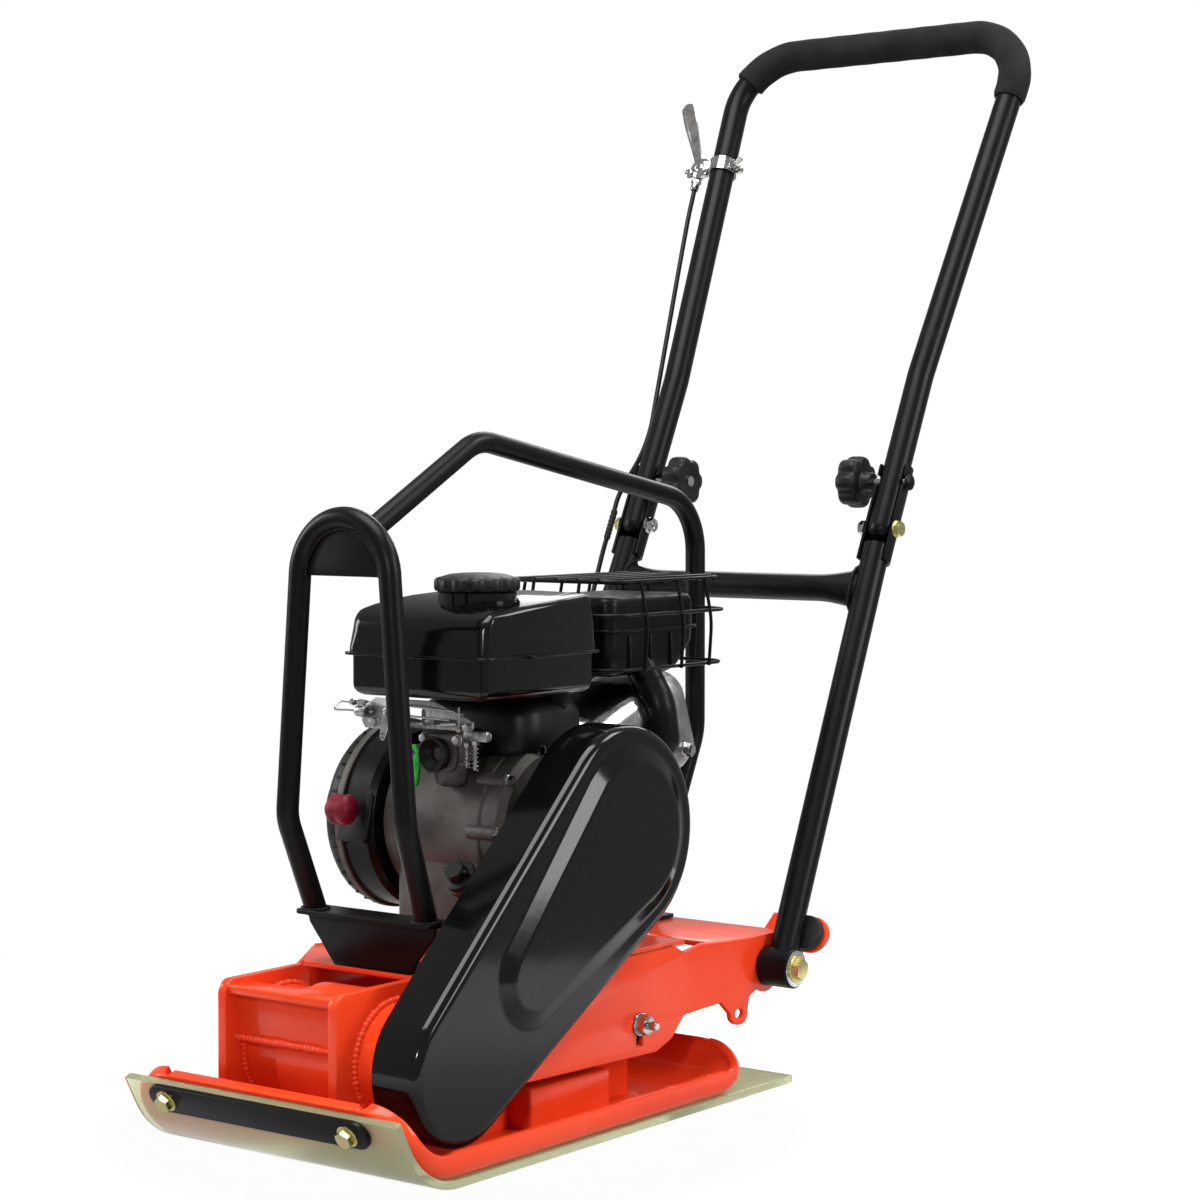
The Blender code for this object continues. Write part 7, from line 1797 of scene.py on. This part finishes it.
def makeChoke():
    pin = control["choke"]
    paddle = [*arc((0, 0), 0.0072, 20, 160, 12), (-0.0062, -0.01), (-0.0074, -0.02),
              *arc((-0.0012, -0.0235), 0.0066, 190, 350, 12), (0.0068, -0.012)]
    works = [sheet([paddle, hole((0, 0), 0.0025)], 0.004, axes(pin, (1, 0, 0), (0, 0, 1)), edge=0.0009)]
    for z in (-0.01, -0.0145, -0.019, -0.0235):
        low, high = Vector((-0.0062, -0.0032, z - 0.0007)), Vector((0.0055, -0.001, z + 0.0007))
        works.append(slab(pin + low, pin + high, edge=0.0005))
    addPiece("chokeLever", merged(*works), "green_plastic", "choke", "choke_lever")


makeCarburettor()
makeDuct()
makeControlPlate()
makeControlRods()
makeThrottleArm()
makeChoke()
print("stage: controls")

# tank
tank = {"low": 0.371, "front": -0.05, "rear": 0.107, "half": 0.078, "seam": 0.406, "corner": 0.009,
        "edge": 0.0065, "inset": 0.003, "lowEdge": 0.01, "brow": 0.4275, "browRun": 0.08,
        "lean": (0.0012, 0.0026), "top": 0.461, "fall": (0.056, 0.05, 0.0055), "flange": 0.004,
        "tab": 0.013, "tabY": (0.0, 0.03), "filler": (0.022, 0.008), "neck": 0.029, "collar": 0.034,
        "cap": 0.0375, "capLobes": 14, "capValley": 0.075}


def tankTop(y):
    share = min(1.0, max(0.0, (y - tank["front"]) / tank["browRun"]))
    start, run, drop = tank["fall"]
    fall = drop * max(0.0, (y - start) / run) ** 1.5
    return tank["brow"] + (tank["top"] - tank["brow"]) * math.sin(share ** 0.62 * math.pi / 2) - fall


def tankPlan(inset, lean=0.0):
    half = tank["half"] - inset
    draft, brow = [lean * part for part in tank["lean"]]
    low, high = (draft - half, tank["front"] + inset + brow), (half - draft, tank["rear"] - inset - draft)
    return roundRect(low, high, max(0.004, tank["corner"] - inset) + lean * 0.003)


def makeTank():
    seam, edge, half = tank["seam"], tank["edge"], tank["half"]
    rings = [levelRing(tankPlan(0), seam), levelRing(tankPlan(0, 0.05), seam + 0.007)]
    for inset, sink in roundEdge(edge, step=10):
        rings.append([Vector((x, y, tankTop(y) - sink)) for x, y in tankPlan(inset, 1.0)])
    middle = (tank["front"] + tank["rear"]) / 2
    for scale in (0.96, 0.9, 0.75, 0.55, 0.35, 0.15):
        loop = [(x * scale, middle + (y - middle) * scale) for x, y in tankPlan(edge, 1.0)]
        rings.append([Vector((x, y, tankTop(y))) for x, y in loop])
    upper = skin(rings)
    rings = []
    for inset, lift in reversed(roundEdge(tank["lowEdge"])):
        rings.append(levelRing(tankPlan(tank["inset"] + inset), tank["low"] + lift))
    rings.append(levelRing(tankPlan(tank["inset"]), seam))
    lower = skin(rings)
    flange = sheet([tankPlan(-tank["flange"])], 0.0026, level(seam + 0.0014), edge=0.0006)
    works = [upper, lower, flange]
    start, end = tank["tabY"]
    for side in (-1, 1):
        inner, outer = sorted((side * (half - 0.004), side * (half + tank["tab"] - 0.001)))
        works.append(slab((inner, start, seam + 0.0002), (outer, end, seam + 0.0028), edge=0.0008))
    x, y = tank["filler"]
    collar, neck, rise, top = tank["collar"], tank["neck"], tankTop(y), tank["top"] - 0.0004
    works.append(lathe([(0, 0.4), (collar, 0.4), (collar, rise + 0.0008), (collar - 0.0025, rise + 0.003),
                        (neck, rise + 0.005), (neck, top), (0, top)], Matrix.Translation((x, y, 0)),
                       steps=56))
    addPiece("fuelTankShell", merged(*works), "gloss_black", "machine", "fuel_tank", angle=35)
    profile = ((0.0, 0.0), (0.9, 0.0), (0.97, 0.001), (1.0, 0.003), (1.0, 0.0088), (0.975, 0.0108),
               (0.93, 0.012), (0.86, 0.0124), (0.8, 0.0132), (0.62, 0.015), (0.4, 0.0158), (0.0, 0.016))
    place = Matrix.Translation((x, y, tank["top"] + clearance))
    lid = lobed(profile, tank["cap"], tank["capLobes"], tank["capValley"], place)
    addPiece("fuelCapTop", lid, "black_plastic", "fuel_cap", "fuel_cap", angle=40)


# silencer with its wire basket and pipe
silencer = {"low": Vector((-0.052, 0.157, 0.379)), "high": Vector((0.052, 0.293, 0.451)), "edge": 0.008,
            "corner": 0.014, "seam": 0.56, "lip": 0.004, "ribs": (0.186, 0.218, 0.25), "pipe": 0.015}
basket = {"low": Vector((-0.066, 0.142, 0.3865)), "high": Vector((0.07, 0.318, 0.4655)), "wire": 0.0016,
          "corner": 0.026, "waist": 0.62, "long": 5, "cross": 6}


def closedSweep(path, radius, sides=12):
    count = len(path)
    rings = []
    for i, point in enumerate(path):
        tangent = (path[(i + 1) % count] - path[i - 1]).normalized()
        other = Vector((0, 0, 1)) if abs(tangent.z) < 0.9 else Vector((1, 0, 0))
        normal = tangent.cross(other).normalized()
        other = normal.cross(tangent)
        rings.append([point + (normal * math.cos(t) + other * math.sin(t)) * radius for t in turnsOf(sides)])
    return skin(rings, False, False, True, True)


def makeSilencer():
    low, high, edge, lip = silencer["low"], silencer["high"], silencer["edge"], silencer["lip"]

    def ringAt(z, inset, tuck=0.0):
        loop = roundRect((low.x + inset, low.y + inset), (high.x - inset, high.y - inset - tuck),
                         max(0.003, silencer["corner"] - inset))
        return levelRing(loop, z)

    seam = low.z + (high.z - low.z) * silencer["seam"]
    rings = [ringAt(low.z, edge, 0.03), ringAt(low.z + 0.003, edge * 0.4, 0.027),
             ringAt(low.z + edge, 0, 0.023), ringAt(seam - 0.012, 0, 0.002), ringAt(seam, 0)]
    for inset, sink in roundEdge(edge):
        rings.append(ringAt(high.z - sink, inset))
    works = [skin(rings)]
    plan = roundRect((low.x - lip, low.y - lip), (high.x + lip, high.y + lip), silencer["corner"] + 0.003)
    works.append(sheet([plan], 0.0026, level(seam + 0.001), edge=0.0007))
    port = onCylinder(motor["end"] - 0.015) @ Vector((motor["fin"] - 0.001, 0, 0))
    bend = [port, port + Vector((0.015, 0.001, 0.002)), Vector((0.063, 0.218, 0.352)),
            Vector((0.034, 0.22, 0.396))]
    works.append(sweep(evenly(rounded(bend, (0.01, 0.03), steps=10), step=0.008), silencer["pipe"],
                       sides=32))
    flange = roundRect((-0.024, -0.017), (0.024, 0.017), 0.009)
    works.append(sheet([flange], 0.005, axes(port + Vector((0.003, 0, 0)), (0, 1, 0), (0, 0, 1))))
    for y in silencer["ribs"]:
        works.append(slab((high.x - 0.002, y - 0.0018, low.z + 0.006),
                          (high.x + 0.0022, y + 0.0018, seam - 0.003)))
    addPiece("silencerBody", merged(*works), "black_coat", "machine", "silencer", angle=40)


def makeBasket():
    first, last, wire = basket["low"], basket["high"], basket["wire"]
    top, bottom = last.z, first.z

    def hoop(z, out):
        loop = roundRect((first.x - out, first.y - out), (last.x + out, last.y + out),
                         basket["corner"] + out, 10)
        return closedSweep(levelRing(loop, z), wire)

    def upright(x, y, way):
        spots = ((0.003, bottom - 0.002), (0.006, (top + bottom) / 2), (-0.002, top))
        line = [Vector((x, y, z)) + way * out for out, z in spots]
        return sweep(evenly(rounded(line, 0.08, steps=6), step=0.01), wire, sides=10)

    wires = [hoop(top, -0.002), hoop(bottom + (top - bottom) * basket["waist"], 0.004), hoop(bottom, 0.001)]
    for x, side in ((first.x, -1), (last.x, 1)):
        for y in (first.y + 0.04, (first.y + last.y) / 2 + 0.008, last.y - 0.036):
            wires.append(upright(x, y, Vector((side, 0, 0))))
    for y, side in ((first.y, -1), (last.y, 1)):
        for x in (first.x + 0.042, last.x - 0.042):
            wires.append(upright(x, y, Vector((0, side, 0))))
    addPiece("silencerBasket", merged(*wires), "black_coat", "machine", "silencer_guard")
    x, z = first.x + 0.02, top + 0.001
    long = sweep([(x, first.y + 0.001, z), (x, last.y - 0.001, z)], wire, sides=10)
    pitch = (last.x - first.x - 0.04) / (basket["long"] - 1)
    repeated("basketLongWires", long, "black_coat", "machine", basket["long"], step=(pitch, 0, 0))
    y, z = first.y + 0.022, top - 0.0016
    cross = sweep([(first.x + 0.001, y, z), (last.x - 0.001, y, z)], wire, sides=10)
    pitch = (last.y - first.y - 0.044) / (basket["cross"] - 1)
    repeated("basketCrossWires", cross, "black_coat", "machine", basket["cross"], step=(0, pitch, 0))


makeTank()
makeSilencer()
makeBasket()
print("stage: tank and silencer")
